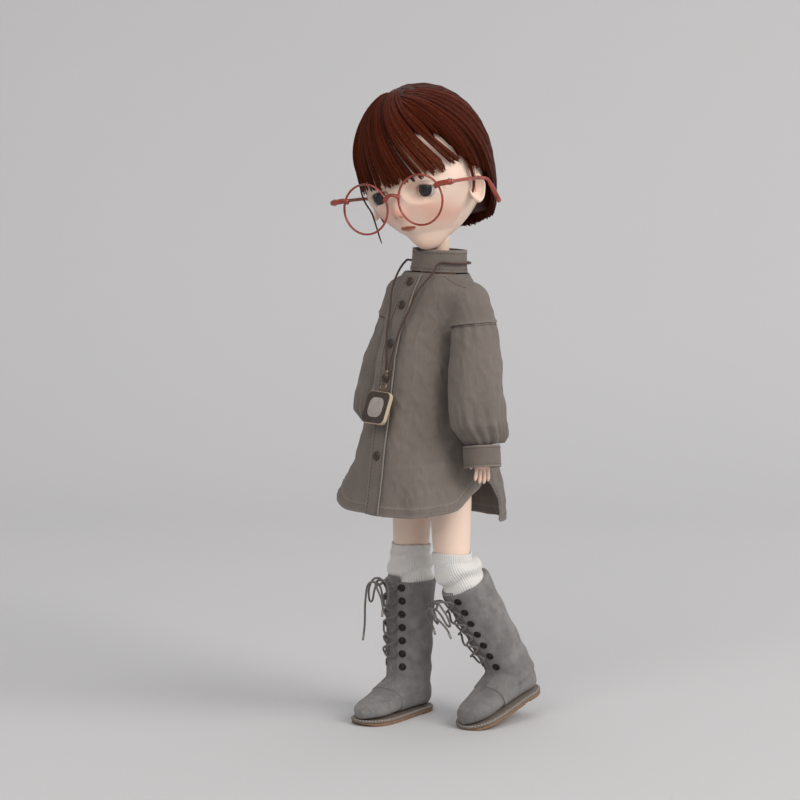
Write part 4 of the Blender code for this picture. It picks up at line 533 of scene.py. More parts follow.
def metal_look(name, colour, roughness, scuff="#2A2521", share=0.4):
    """Metal with fine scratches and darker clouds."""
    look = Look(name, colour, roughness, metallic=1.0)
    look.tinted(look.ramp(look.clouds(0.8, 4), 0.5, 0.75, 0, share), scuff)
    look.set("Roughness", look.ramp(look.clouds(0.5, 3), 0.3, 0.7, roughness * 0.7,
        roughness * 1.4))
    look.bumped(look.clouds(0.3, 2), 0.01)
    return look.material


def linen_look(colour):
    """Washed linen: crossing yarns, slubs, fading on the ridges and a soft sheen."""
    look = Look("washed linen", colour, 0.88, sheen_weight=0.12, sheen_roughness=0.5)
    marks = look.cut()
    warp = look.stripes(0.42, marks, "X", 0.6)
    weft = look.stripes(0.42, marks, "Y", 0.6)
    weave = look.sums(warp, weft, "ADD")
    look.tinted(look.ramp(weave, 0.3, 1.7, 0.2, 0), "#3F3732")
    slubs = look.clouds(0.6, 3, stretch=(1, 12, 1), vector=marks)
    look.tinted(look.ramp(slubs, 0.55, 0.75, 0, 0.22), "#9A9188")
    look.tinted(look.ramp(look.clouds(14, 4), 0.42, 0.66, 0, 0.3), "#5A524B")
    look.tinted(look.ramp(look.mark("worn"), 0, 1, 0, 0.35), "#A29A92")
    look.bumped(weave, 0.05)
    look.bumped(look.clouds(3.2, 3), 0.12)
    return look.material


def yarn_look(name, colour, shade, period=0.5):
    """Twisted thread or braided lace, with its plies across its length."""
    look = Look(name, colour, 0.8, sheen_weight=0.1)
    marks = look.cut()
    plies = look.stripes(period, marks, "DIAGONAL", 0.4)
    look.tinted(look.ramp(plies, 0.2, 0.8, 0.55, 0), shade)
    look.bumped(plies, 0.05)
    look.bumped(look.clouds(0.3, 3), 0.02)
    return look.material


def plastic_look(name, colour, roughness=0.3):
    """Moulded plastic with a light orange-peel surface."""
    look = Look(name, colour, roughness, coat_weight=0.2, coat_roughness=0.2)
    look.tinted(look.ramp(look.clouds(1.2, 3), 0.5, 0.8, 0, 0.3), "#5B4A40")
    look.bumped(look.clouds(0.6, 2), 0.015)
    return look.material


def leather_look(name, colour, light, grain=0.8, roughness=0.55):
    """Smooth leather with pores, creases and lighter rubbed places."""
    look = Look(name, colour, roughness)
    look.tinted(look.ramp(look.clouds(3, 4), 0.48, 0.75, 0, 0.4), light)
    look.bumped(look.clouds(grain, 4), 0.05)
    return look.material


def suede_look(colour):
    """Distressed grey suede: nap clouds, pale scuffs, darker clouds and fine fibres."""
    look = Look("distressed suede", colour, 0.93, sheen_weight=0.25, sheen_roughness=0.6,
        sheen_tint=(*linear("#B9B4B2"), 1))
    look.tinted(look.ramp(look.clouds(9, 5), 0.42, 0.62, 0, 0.45), "#8D8A89")
    look.tinted(look.ramp(look.clouds(4, 5), 0.5, 0.72, 0, 0.4), "#4A4948")
    look.tinted(look.ramp(look.clouds(1.1, 4, stretch=(1, 1, 2.5)), 0.62, 0.75, 0, 0.35),
        "#A9A5A2")
    look.tinted(look.ramp(look.mark("worn"), 0, 1, 0, 0.5), "#A8A39F")
    look.bumped(look.clouds(1.6, 5), 0.08)
    look.bumped(look.clouds(0.25, 4), 0.05)
    return look.material


def knit_look(colour):
    """Ribbed cotton: stitches run in columns, with fuzz over them."""
    look = Look("ribbed cotton", colour, 0.95, sheen_weight=0.3, sheen_roughness=0.6,
        subsurface_weight=0.05, subsurface_scale=0.001)
    marks = look.cut()
    rows = look.stripes(0.55, marks, "Y", 1.2)
    look.tinted(look.ramp(rows, 0.1, 0.6, 0.16, 0), "#B8B3AD")
    look.tinted(look.ramp(look.clouds(6), 0.5, 0.7, 0, 0.16), "#CDC8C2")
    look.bumped(rows, 0.05)
    look.bumped(look.clouds(0.35, 3), 0.03)
    return look.material


def sole_look(colour):
    """Stacked leather sole edge: orange-brown with fine level lines."""
    look = Look("stacked leather sole", colour, 0.6)
    lines = look.stripes(0.8, look.place, "Z", 1.5)
    look.tinted(look.ramp(lines, 0.2, 0.7, 0.4, 0), "#4A2E1E")
    look.tinted(look.ramp(look.clouds(4, 4), 0.5, 0.7, 0, 0.45), "#A9826A")
    look.bumped(lines, 0.05)
    look.bumped(look.clouds(0.7, 3), 0.04)
    return look.material


def rubber_look():
    """Round elastic under a woven cover."""
    look = Look("covered elastic", "#DCD6CB", 0.75)
    lines = look.stripes(0.6, look.place, "DIAGONAL", 1)
    look.tinted(look.ramp(lines, 0.3, 0.8, 0.3, 0), "#A79F92")
    look.bumped(lines, 0.04)
    return look.material


def eye_look():
    """Painted eye: an iris with fine rays and a dark rim, under a clear coat."""
    look = Look("glazed eye", "#DAD6D2", 0.25, coat_weight=0.35, coat_roughness=0.03,
        specular_ior_level=0.2)
    rays = look.clouds(0.35, 3)
    look.tinted(look.ramp(look.mark("iris"), 0.47, 0.53), "#0B0B0C")
    ring = look.sums(look.ramp(look.mark("iris"), 0.54, 0.66), look.ramp(rays, 0.3, 0.7, 0.35, 1))
    look.tinted(look.sums(ring, 0.5), "#2C2E2C")
    look.tinted(look.ramp(look.mark("iris"), 0.8, 0.86), "#050505")
    look.bumped(rays, 0.01)
    return look.material


def paper_look(colour):
    """Pale seamless backdrop with a barely seen tooth."""
    look = Look("seamless backdrop", colour, 0.95)
    look.tinted(look.ramp(look.clouds(400, 2), 0.3, 0.7, 0, 0.12), "#CDC8CA")
    look.bumped(look.clouds(4, 2), 0.02)
    return look.material


# Geometry Nodes trees for what follows a line
def new_tree(name, extra):
    tree = bpy.data.node_groups.new(name, "GeometryNodeTree")
    tree.interface.new_socket("Geometry", in_out="INPUT", socket_type="NodeSocketGeometry")
    for label, kind, value in extra:
        socket = tree.interface.new_socket(label, in_out="INPUT", socket_type=kind)
        if value is not None:
            socket.default_value = value
    tree.interface.new_socket("Geometry", in_out="OUTPUT", socket_type="NodeSocketGeometry")
    return tree, add(tree, "NodeGroupInput").outputs, add(tree, "NodeGroupOutput").inputs


def close_tree(tree, given, result, geometry):
    whole = add(tree, "GeometryNodeRealizeInstances", {"Geometry": geometry}).outputs[0]
    painted = add(tree, "GeometryNodeSetMaterial", {"Geometry": whole,
        "Material": given["Material"]}).outputs[0]
    smooth = add(tree, "GeometryNodeSetShadeSmooth", {"Geometry": painted}).outputs[0]
    tree.links.new(smooth, result["Geometry"])
    return tree


def strand_tree():
    """Every line becomes a fibre that thins out towards its tip."""
    tree, given, result = new_tree("tapered_fibres", (("Fibre radius", "NodeSocketFloat", 0.0003),
        ("Tip share", "NodeSocketFloat", 0.25), ("Sides", "NodeSocketInt", 3),
        ("Material", "NodeSocketMaterial", None)))
    lines = add(tree, "GeometryNodeMeshToCurve", {"Mesh": given["Geometry"]}).outputs[0]
    along = add(tree, "GeometryNodeSplineParameter").outputs["Factor"]
    thin = add(tree, "ShaderNodeMapRange", {"Value": along, "From Min": 0.55, "From Max": 1.0,
        "To Min": 1.0, "To Max": given["Tip share"]})
    lines = add(tree, "GeometryNodeSetCurveRadius", {"Curve": lines,
        "Radius": thin.outputs[0]}).outputs[0]
    round_line = add(tree, "GeometryNodeCurvePrimitiveCircle",
        {"Resolution": given["Sides"], "Radius": given["Fibre radius"]}).outputs[0]
    tubes = add(tree, "GeometryNodeCurveToMesh", {"Curve": lines, "Profile Curve": round_line,
        "Fill Caps": True}).outputs[0]
    return close_tree(tree, given, result, tubes)


def stitch_tree():
    """A row of thread dashes, one every few millimetres of a line."""
    tree, given, result = new_tree("running_stitch", (("Spacing", "NodeSocketFloat", 0.0014),
        ("Length", "NodeSocketFloat", 0.0008), ("Thread", "NodeSocketFloat", 0.00018),
        ("Material", "NodeSocketMaterial", None)))
    lines = add(tree, "GeometryNodeMeshToCurve", {"Mesh": given["Geometry"]}).outputs[0]
    spots = add(tree, "GeometryNodeCurveToPoints", {"Curve": lines, "Length": given["Spacing"]},
        mode="LENGTH")
    dash = add(tree, "GeometryNodeMeshUVSphere", {"Segments": 8, "Rings": 5, "Radius": 1.0})
    half = add(tree, "ShaderNodeMath", {0: given["Length"], 1: 0.5}, operation="MULTIPLY")
    size = add(tree, "ShaderNodeCombineXYZ", {"X": given["Thread"], "Y": given["Thread"],
        "Z": half.outputs[0]}).outputs[0]
    turned = add(tree, "FunctionNodeAlignRotationToVector", {"Vector": spots.outputs["Tangent"]},
        axis="Z").outputs[0]
    dashes = add(tree, "GeometryNodeInstanceOnPoints", {"Points": spots.outputs["Points"],
        "Instance": dash.outputs["Mesh"], "Rotation": turned, "Scale": size}).outputs[0]
    return close_tree(tree, given, result, dashes)


TREES = {}


def with_tree(thing, kind, **values):
    """Puts a tree on an object, sets its inputs and turns the result into a mesh."""
    if kind not in TREES:
        TREES[kind] = {"strand": strand_tree, "stitch": stitch_tree}[kind]()
    step = thing.modifiers.new(kind, "NODES")
    step.node_group = TREES[kind]
    for item in TREES[kind].interface.items_tree:
        key = item.name.lower().replace(" ", "_")
        if item.in_out == "INPUT" and key in values:
            step[item.identifier] = values[key]
    return baked(thing)


def line_mesh(name, lines, marks=None):
    """Several lines as one mesh of edges, with a value along each if asked."""
    mesh = bpy.data.meshes.new(name)
    points = []
    edges = []
    for line in lines:
        edges += [(len(points) + step, len(points) + step + 1) for step in range(len(line) - 1)]
        points += [tuple(point) for point in line]
    mesh.from_pydata(points, edges, [])
    if marks:
        layer = mesh.attributes.new("tint", "FLOAT", "POINT")
        layer.data.foreach_set("value", [mark for line, mark in zip(lines, marks) for _ in line])
    return mesh


def fibres(name, lines, look, body, spot=None, radius=0.0003, tip=0.25, sides=3, marks=None):
    thing = add_object(name, line_mesh(name, lines, marks))
    if spot:
        place_in(thing, spot)
    with_tree(thing, "strand", fibre_radius=radius, tip_share=tip, sides=sides, material=look)
    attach(thing, body)
    return thing


def stitches(name, lines, look, body, spot=None, spacing=0.0014, length=0.0008, thread=0.00018):
    thing = add_object(name, line_mesh(name, lines))
    if spot:
        place_in(thing, spot)
    with_tree(thing, "stitch", spacing=spacing, length=length, thread=thread, material=look)
    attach(thing, body)
    return thing


def paint(mesh, name, values):
    layer = mesh.attributes.new(name, "FLOAT", "POINT")
    layer.data.foreach_set("value", values)


# Head and face
SKULL_CENTRE = Vector((0, -3, 33)) * MM
SKULL_HALF = Vector((27, 29, 34)) * MM
EYE_PLACE = Vector((12, -20.5, 22.5)) * MM
EYE_RADIUS = 6.5 * MM
NOSE_Z = 14 * MM
MOUTH_Z = 7 * MM
LIP_HALF = 3.9 * MM


def head_point(around, up, grow=0.0):
    """The doll's head by angle round from the face and angle up from its middle."""
    side = math.sin(around)
    front = math.cos(around)
    level = math.cos(up)
    below = max(0, -math.sin(up))
    cheek = 1 - 0.3 * below ** 3 + 0.05 * bump_at(below - 0.35, 0.3)
    x = (SKULL_HALF.x + grow) * level * side * cheek
    depth = level
    if front > 0 and below > 0:
        depth = level + front * 0.34 * below * (1 - below) ** 0.35
    y = -(SKULL_HALF.y + grow) * depth * front
    place = SKULL_CENTRE + Vector((x, y, (SKULL_HALF.z + grow) * math.sin(up)))
    if front > 0:
        reach = 4 * MM * bump_at(place.x, 3 * MM) * bump_at(place.z - NOSE_Z, 4.2 * MM)
        reach += 1.2 * MM * bump_at(place.x, 4.2 * MM) * bump_at(place.z - MOUTH_Z, 2.9 * MM)
        reach += 2 * MM * bump_at(place.x, 5.9 * MM) * bump_at(place.z, 3.6 * MM)
        for sign in (-1, 1):
            reach -= (1.6 * MM * bump_at(place.x - sign * EYE_PLACE.x, 7 * MM) *
                bump_at(place.z - EYE_PLACE.z, 4.9 * MM))
        place.y -= reach * front
    return place


def eye_share(x, z, sign):
    """1 on the edge of an eye opening, less inside it; the upper lid is flatter."""
    turn = sign * 7 * DEG
    dx = (x - sign * EYE_PLACE.x) / MM
    dz = (z - EYE_PLACE.z) / MM
    across = (dx * math.cos(turn) - dz * math.sin(turn)) / 4.5
    rise = dx * math.sin(turn) + dz * math.cos(turn)
    rise /= 2.5 if rise > 0 else 3.0
    return (abs(across) ** 2.3 + abs(rise) ** 2.3) ** (1 / 2.3)


def face_point(around, up):
    """Head with lids, lips and nostrils; gives the point, blush, lips and painted shade."""
    place = head_point(around, up)
    x, z = place.x, place.z
    drop = smooth_step(4 * MM, -0.5 * MM, z) if z < 4 * MM else 0
    place.z -= 3.6 * MM * drop * smooth_step(-0.3, 0.6, math.cos(around))
    blush = lips = shade = 0.0
    inside = 9.0
    if math.cos(around) > 0.2:
        across = x / LIP_HALF
        fall = max(0, 1 - across * across)
        top = 1.45 * MM * fall ** 0.75 * (1 - 0.22 * bump_at(x, 0.8 * MM))
        low = 1.75 * MM * fall ** 0.6
        height = z - MOUTH_Z
        edge = top if height > 0 else low
        if fall > 0 and edge > 0:
            share = abs(height) / edge
            lips = (1 - smooth_step(0.5, 1.15, share)) * smooth_step(0, 0.2, fall)
            place.y -= 0.75 * MM * lips * (1 - 0.6 * share)
            # painted shade in the gap between the parted lips
            gap = bump_at(height + 0.1 * MM, 0.38 * MM) * smooth_step(0, 0.3, fall)
            place.y += 1.0 * MM * gap
            shade = max(shade, gap)
        for sign in (-1, 1):
            # painted shade in each nostril
            hole = bump_at(x - sign * 1.25 * MM, 0.5 * MM) * bump_at(z - 12.3 * MM, 0.42 * MM)
            wing = bump_at(x - sign * 2.2 * MM, 1.2 * MM) * bump_at(z - 13.2 * MM, 1.5 * MM)
            place.y += (0.7 * hole - 0.55 * wing) * MM
            shade = max(shade, hole * 0.8)
            blush += 0.75 * bump_at(x - sign * 14 * MM, 6.5 * MM) * bump_at(z - 11 * MM, 5 * MM)
            blush += 0.3 * bump_at(x - sign * 11 * MM, 6 * MM) * bump_at(z - 15.5 * MM, 2.4 * MM)
            share = eye_share(x, z, sign)
            if share < 2.2:
                inside = min(inside, share)
                if 0.82 < share < 1.16:
                    eye = Vector((sign * EYE_PLACE.x, 0, EYE_PLACE.z))
                    flat = Vector((x, 0, z)) - eye
                    flat = flat / share * 1.0
                    x, z = eye.x + flat.x, eye.z + flat.z
                    place.x, place.z = x, z
                    share = 1.0
                reach = (EYE_RADIUS + 0.45 * MM) ** 2 - (x - sign * EYE_PLACE.x) ** 2 - (z -
                    EYE_PLACE.z) ** 2
                lid = EYE_PLACE.y - math.sqrt(max(0, reach))
                snug = 1 - smooth_step(1.0, 2.0, share)
                place.y += (lid - place.y) * snug
                crease = bump_at(share - 1.62, 0.12) * smooth_step(-1, 2, (z - EYE_PLACE.z) / MM)
                place.y += 0.22 * MM * crease
                # the dark lid rim: partly a painted lash line, partly painted shade
                above = smooth_step(-0.5, 1, (z - EYE_PLACE.z) / MM)
                shade = max(shade, (1 - smooth_step(1.0, 1.2, share)) * (0.35 + 0.4 * above))
                # painted shade in the lid crease
                shade = max(shade, 0.16 * crease)
        blush += 1.0 * bump_at(x, 4.5 * MM) * bump_at(z - NOSE_Z, 4 * MM)
        blush += 0.3 * bump_at(x, 6 * MM) * bump_at(z, 3 * MM)
    return place, min(1, blush), lips, shade, inside


def head_mesh():
    around_count, up_count = 250, 180
    points, values, cells = [], [], []
    for row in range(1, up_count):
        up = math.pi * (row / up_count - 0.5)
        for index in range(around_count):
            angle = 2 * math.pi * index / around_count - math.pi
            found = face_point(angle - 0.42 * math.sin(angle), up)
            points.append(tuple(found[0]))
            values.append(found[1:])
    for row in range(up_count - 2):
        for index in range(around_count):
            after = (index + 1) % around_count
            face = (row * around_count + index, row * around_count + after,
                (row + 1) * around_count + after, (row + 1) * around_count + index)
            middle = sum((Vector(points[corner]) for corner in face), Vector()) / 4
            if middle.y < 0 and min(eye_share(middle.x, middle.z, sign) for sign in
                    (-1, 1)) < 0.99:
                continue
            cells.append(face)
    last = (up_count - 2) * around_count
    cells.append(tuple(range(around_count))[::-1])
    cells.append(tuple(range(last, last + around_count)))
    mesh = bpy.data.meshes.new("face")
    mesh.from_pydata(points, [], cells)
    for column, name in enumerate(("blush", "lips", "shade")):
        paint(mesh, name, [value[column] for value in values])
    shape = bmesh.new()
    shape.from_mesh(mesh)
    rim = [edge for edge in shape.edges if edge.is_boundary]
    lid = bmesh.ops.extrude_edge_only(shape, edges=rim)
    for item in lid["geom"]:
        if isinstance(item, bmesh.types.BMVert):
            item.co.y += 1.2 * MM
    loose = [corner for corner in shape.verts if not corner.link_faces]
    bmesh.ops.delete(shape, geom=loose, context="VERTS")
    shape.to_mesh(mesh)
    shape.free()
    mesh.shade_smooth()
    return mesh


def ear_mesh(sign):
    """An ear with a rolled rim, a hollow and a soft lobe."""
    rows = []
    hollow = []
    for step in range(33):
        share = step / 20
        ring = []
        for index in range(48):
            angle = 2 * math.pi * index / 48
            narrow = 1 - 0.24 * max(0, -math.sin(angle)) ** 1.5
            reach = min(share, 1) if step <= 20 else 1 - (share - 1) * 0.6
            y = math.cos(angle) * 4.1 * narrow * reach
            z = math.sin(angle) * 6.9 * reach
            if step <= 20:
                front_gap = smooth_step(0.2, 1, -math.cos(angle))
                rim = 1.25 * bump_at(share - 0.86, 0.13) * (1 - 0.8 * front_gap)
                lobe = 0.6 * bump_at(z + 5, 2.2)
                dish = 1.5 * bump_at(share - 0.25, 0.42) * (1 - 0.4 * lobe)
                fold = 0.55 * bump_at(math.hypot(y - 0.6, z - 1.5) - 2.6, 0.7) * smooth_step(-0.4,
                    0.6, math.cos(angle))
                x = 1.7 + rim + lobe - dish + fold + 0.16 * y
                hollow.append(min(1, 0.9 * bump_at(math.hypot(y + 0.4, z - 0.2) - 0.4, 1.7)))
            else:
                x = 1.4 - 2.2 * (share - 1) / 0.6 + 0.16 * y
                hollow.append(0.1)
            ring.append(Vector((sign * x, y, z)) * MM)
        rows.append(ring)
    mesh = surface("ear", rows, flip=sign < 0)
    paint(mesh, "blush", hollow)
    paint(mesh, "lips", [0.0] * len(hollow))
    # painted shade deep in the ear hollow
    paint(mesh, "shade", [0.35 * value ** 3 for value in hollow])
    stand = Matrix.Translation(Vector((sign * 25.6, -5.2, 19.6)) * MM)
    mesh.transform(stand @ Matrix.Rotation(-sign * 16 * DEG, 4, "Z") @
        Matrix.Rotation(-8 * DEG, 4, "X"))
    return mesh


def eye_mesh(sign):
    """An eyeball whose iris is marked by the angle from the way it looks."""
    rows = []
    values = []
    ahead = Vector((sign * 0.03, -1, 0.06)).normalized()
    for step in range(1, 60):
        up = math.pi * (step / 60 - 0.5)
        ring = []
        for index in range(96):
            angle = 2 * math.pi * index / 96
            way = Vector((math.cos(up) * math.sin(angle), -math.cos(up) * math.cos(angle),
                math.sin(up)))
            off = math.acos(max(-1, min(1, way.dot(ahead)))) * EYE_RADIUS
            swell = 0.35 * MM * (1 - smooth_step(2.6 * MM, 3.9 * MM, off))
            ring.append(way * (EYE_RADIUS + swell))
            values.append(1 - off / (7.2 * MM))
        rows.append(ring)
    mesh = surface("eye", rows, caps=True)
    paint(mesh, "iris", values)
    mesh.transform(Matrix.Translation((sign * EYE_PLACE.x, EYE_PLACE.y, EYE_PLACE.z)))
    return mesh


def make_head(looks):
    head = dress_piece("face", head_mesh(), looks["skin"], "head", "head_face", "head_cap",
        spot="head")
    for side, sign in SIDES:
        dress_piece(side + "_ear_skin", ear_mesh(sign), looks["skin"], "head", spot="head")
        dress_piece(side + "_eyeball", eye_mesh(sign), looks["eye"], "head", side + "_eye",
            spot="head")
    return head


# Wig
HAIR_EDGE = ((0, 50), (40, 49), (55, 44), (66, 36), (80, 31), (96, 29), (112, 15), (130, 9),
    (180, 7))
PART_AROUND = -14 * DEG
PART_UP = 63 * DEG


def hair_edge(around):
    return blend_table(HAIR_EDGE, abs(math.degrees(around)))[0] * MM


def skull_angles(way):
    """Angle round and angle up of a direction from the skull's middle."""
    return math.atan2(way.x, -way.y), math.asin(max(-1, min(1, way.z)))


def hung(around, up, grow):
    """A point of the hair: it lies on the skull above and hangs straight below."""
    point = head_point(around, up, grow)
    level = 31 * MM
    if point.z < level:
        held = head_point(around, math.asin((level - SKULL_CENTRE.z) / SKULL_HALF.z), grow)
        share = 0.86 * smooth_step(76 * DEG, 104 * DEG, abs(around))
        point.x += (held.x - point.x) * share
        point.y += (held.y - point.y) * share
    return point


def hair_line(turn, stop, grow, swirl=0.0, count=16, low=None):
    """A fibre that leaves the parting at an angle and lies round the skull."""
    pole = Vector((math.cos(PART_UP) * math.sin(PART_AROUND),
        -math.cos(PART_UP) * math.cos(PART_AROUND), math.sin(PART_UP)))
    first = pole.orthogonal().normalized()
    second = pole.cross(first)
    points = []
    for step in range(count):
        share = step / (count - 1)
        travel = 0.05 + (stop - 0.05) * share
        angle = turn + swirl * share
        way = pole * math.cos(travel) + (first * math.cos(angle) + second *
            math.sin(angle)) * math.sin(travel)
        around, up = skull_angles(way)
        size = grow(share, around) if callable(grow) else grow
        points.append(hung(around, up, size))
    return points


def hair_stop(turn, edge, swirl=0.0):
    """How far round the skull a fibre runs before it passes the wig's edge."""
    travel = 0.3
    while travel < 3.0:
        point = hair_line(turn, travel, 0.0, swirl, 2)[-1]
        way = point - SKULL_CENTRE
        around = math.atan2(way.x, -way.y)
        if point.z < edge(around):
            break
        travel += 0.02
    return travel


def puff(share, around):
    """The wig's thickness: full over the crown, thinner at its edge."""
    return (4.4 - 2.3 * share ** 4 + 0.35 * math.sin(around * 3 + share * 4)) * MM


def wig_shell():
    """The mass of hair under the fibres, with locks pressed into it."""
    rows, glow = [], []
    for row in range(60):
        share = row / 59
        ring = []
        for index in range(180):
            around = 2 * math.pi * index / 180 - math.pi
            low = hair_edge(around) + 1.2 * MM
            high = SKULL_CENTRE.z + SKULL_HALF.z * 0.999
            angle_low = math.asin(max(-1, min(1, (low - SKULL_CENTRE.z) / SKULL_HALF.z)))
            angle_high = math.asin((high - SKULL_CENTRE.z) / SKULL_HALF.z)
            up = angle_low + (angle_high - angle_low) * share
            lock = 0.35 * curl_noise((around * 9, share * 1.2, 0), 1.0)
            grow = (0.9 + 3.1 * min(1, 0.25 + share * 1.9) + lock) * MM
            ring.append(hung(around, up, grow))
            glow.append(0.25 + 0.3 * lock)
        rows.append(ring)
    mesh = surface("wig_shell", rows, caps=True)
    paint(mesh, "tint", glow)
    return mesh


def make_wig(looks, settings):
    """Three layers of fibres that run in locks from the parting to a ragged edge."""
    rng = random.Random(41)
    dress_piece("wig_under", wig_shell(), looks["hair"], "head", "hair_crown", spot="head")
    locks = 150
    for layer in range(4):
        lines, tints = [], []
        turns = [2 * math.pi * (index + rng.uniform(-0.35, 0.35)) / locks for index in
            range(locks)]
        for turn in turns:
            swirl = 0.12 + rng.uniform(-0.05, 0.05)
            stop = hair_stop(turn, hair_edge, swirl) + rng.uniform(-0.07, 0.05)
            lift = rng.uniform(-0.1, 0.75) * MM
            tone = rng.uniform(0.35, 0.65)
            for index in range(int(12 * settings.fullness)):
                spread = rng.gauss(0, 0.034)
                end = stop + rng.uniform(-0.05, 0.05)
                near = swirl - spread * rng.uniform(0.1, 0.6)
                high = lift + rng.uniform(-0.12, 0.12) * MM - 8 * MM * spread * spread / 0.034
                wave = rng.uniform(-0.25, 0.25) * MM
                lines.append(hair_line(turn + spread, end, lambda share,
                    around: puff(share, around) + high + wave * math.sin(share * 5) - 2.2 * MM *
                    (1 - share) ** 6, near, 15))
                tints.append(min(1, max(0, tone + rng.uniform(-0.35, 0.35))))
        fibres(f"wig_hair_{layer + 1}", lines, looks["hair"], "head", "head", settings.fibre,
            marks=tints)


def fringe_line(share, tip, low, lift, count=16):
    """A fringe fibre: from the parting it swings forward, then falls to the brow."""
    root = (-46 + 58 * share) * DEG
    up_end = math.asin((low - SKULL_CENTRE.z) / SKULL_HALF.z)
    points = []
    for step in range(count):
        along = step / (count - 1)
        around = root + (tip - root) * along ** 1.55
        up = 65 * DEG + (up_end - 65 * DEG) * along
        grow = (4.7 - 3.0 * along ** 1.5 + 0.9 * math.sin(along * 3)) * MM + lift * (1 - 0.5 *
            along)
        points.append(head_point(around, up, grow))
    return points


def lock_line(around, top, drop, out, drift, count=14):
    """A fibre that leaves the wig over the temple and then hangs straight down."""
    points = []
    for step in range(count):
        along = step / (count - 1)
        level = top - drop * along
        held = max(level, 17 * MM)
        up = math.asin((held - SKULL_CENTRE.z) / SKULL_HALF.z)
        point = head_point(around + drift * along, up, out)
        points.append(Vector((point.x * (1 - 0.12 * max(0, held - level) / (17 * MM)), point.y,
            level)))
    return points


def make_fringe(looks, settings):
    """A side-swept fringe in separate locks, and thin locks at each temple."""
    rng = random.Random(7)
    lines, tints = [], []
    for lock in range(58):
        share = (lock + rng.uniform(-0.3, 0.3)) / 57
        share = min(1, max(0, share))
        tip = (-50 + 111 * share ** 0.92 + rng.uniform(-3.5, 3.5)) * DEG
        low = (27.0 + 5.0 * share ** 4 + rng.uniform(-1.0, 3.4)) * MM
        lift = rng.uniform(0.1, 1.0) * MM
        tone = rng.uniform(0.3, 0.6)
        for index in range(int(15 * settings.fullness)):
            off = rng.gauss(0, 1)
            end = tip + off * rng.uniform(0.2, 1.0) * 1.1 * DEG
            line = fringe_line(share + 0.012 * off, end, low + rng.uniform(-0.8, 1.6) * MM,
                lift + rng.uniform(-0.15, 0.15) * MM)
            lines.append(line)
            tints.append(min(1, max(0, tone + rng.uniform(-0.35, 0.35))))
    fringe = fibres("fringe_hair", lines, looks["hair"], "head", "head", settings.fibre, tip=0.12,
        marks=tints)
    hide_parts("fringe")
    temples = {"right": (-60, 44, 43, 3, 60), "left": (72, 40, 26, 8, 26)}
    for side, (around, top, drop, drift, count) in temples.items():
        lines = []
        for index in range(count):
            off = rng.gauss(0, 1)
            lines.append(lock_line((around + off * 4.0) * DEG, top * MM,
                (drop - abs(off) * 3 - rng.uniform(0, 5)) * MM, (1.6 + rng.uniform(0, 0.5)) * MM,
                (drift - off * 3.2) * DEG))
        lock = fibres(side + "_lock_hair", lines, looks["hair"], "head", "head",
            settings.fibre * 0.62, tip=0.12, marks=[rng.random() for line in lines])
        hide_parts(side + "_lock")


# Glasses
LENS_CENTRE = Vector((0, -36, 18.5)) * MM
LENS_RADIUS = 10 * MM
LENS_SPACING = 28.6 * MM
RIM_WIRE = 0.95 * MM
TEMPLE_X = 30.8 * MM
TEMPLE_RISE = 5.5 * MM
TEMPLE_LENGTH = 41 * MM
TEMPLE_DROP = 12 * MM


def rim_mesh(sign):
    """A round rim, a little flatter in front."""
    outline = []
    radius = LENS_RADIUS + 0.3 * MM + RIM_WIRE
    for step in range(14):
        angle = 2 * math.pi * step / 14
        outline.append((radius + 0.5 * MM * math.cos(angle), 0.62 * MM * math.sin(angle)))
    mesh = lathe("rim", outline, 96, loop=True)
    mesh.transform(Matrix.Translation((sign * LENS_SPACING / 2, 0, 0)) @
        Matrix.Rotation(math.pi / 2, 4, "X"))
    return mesh


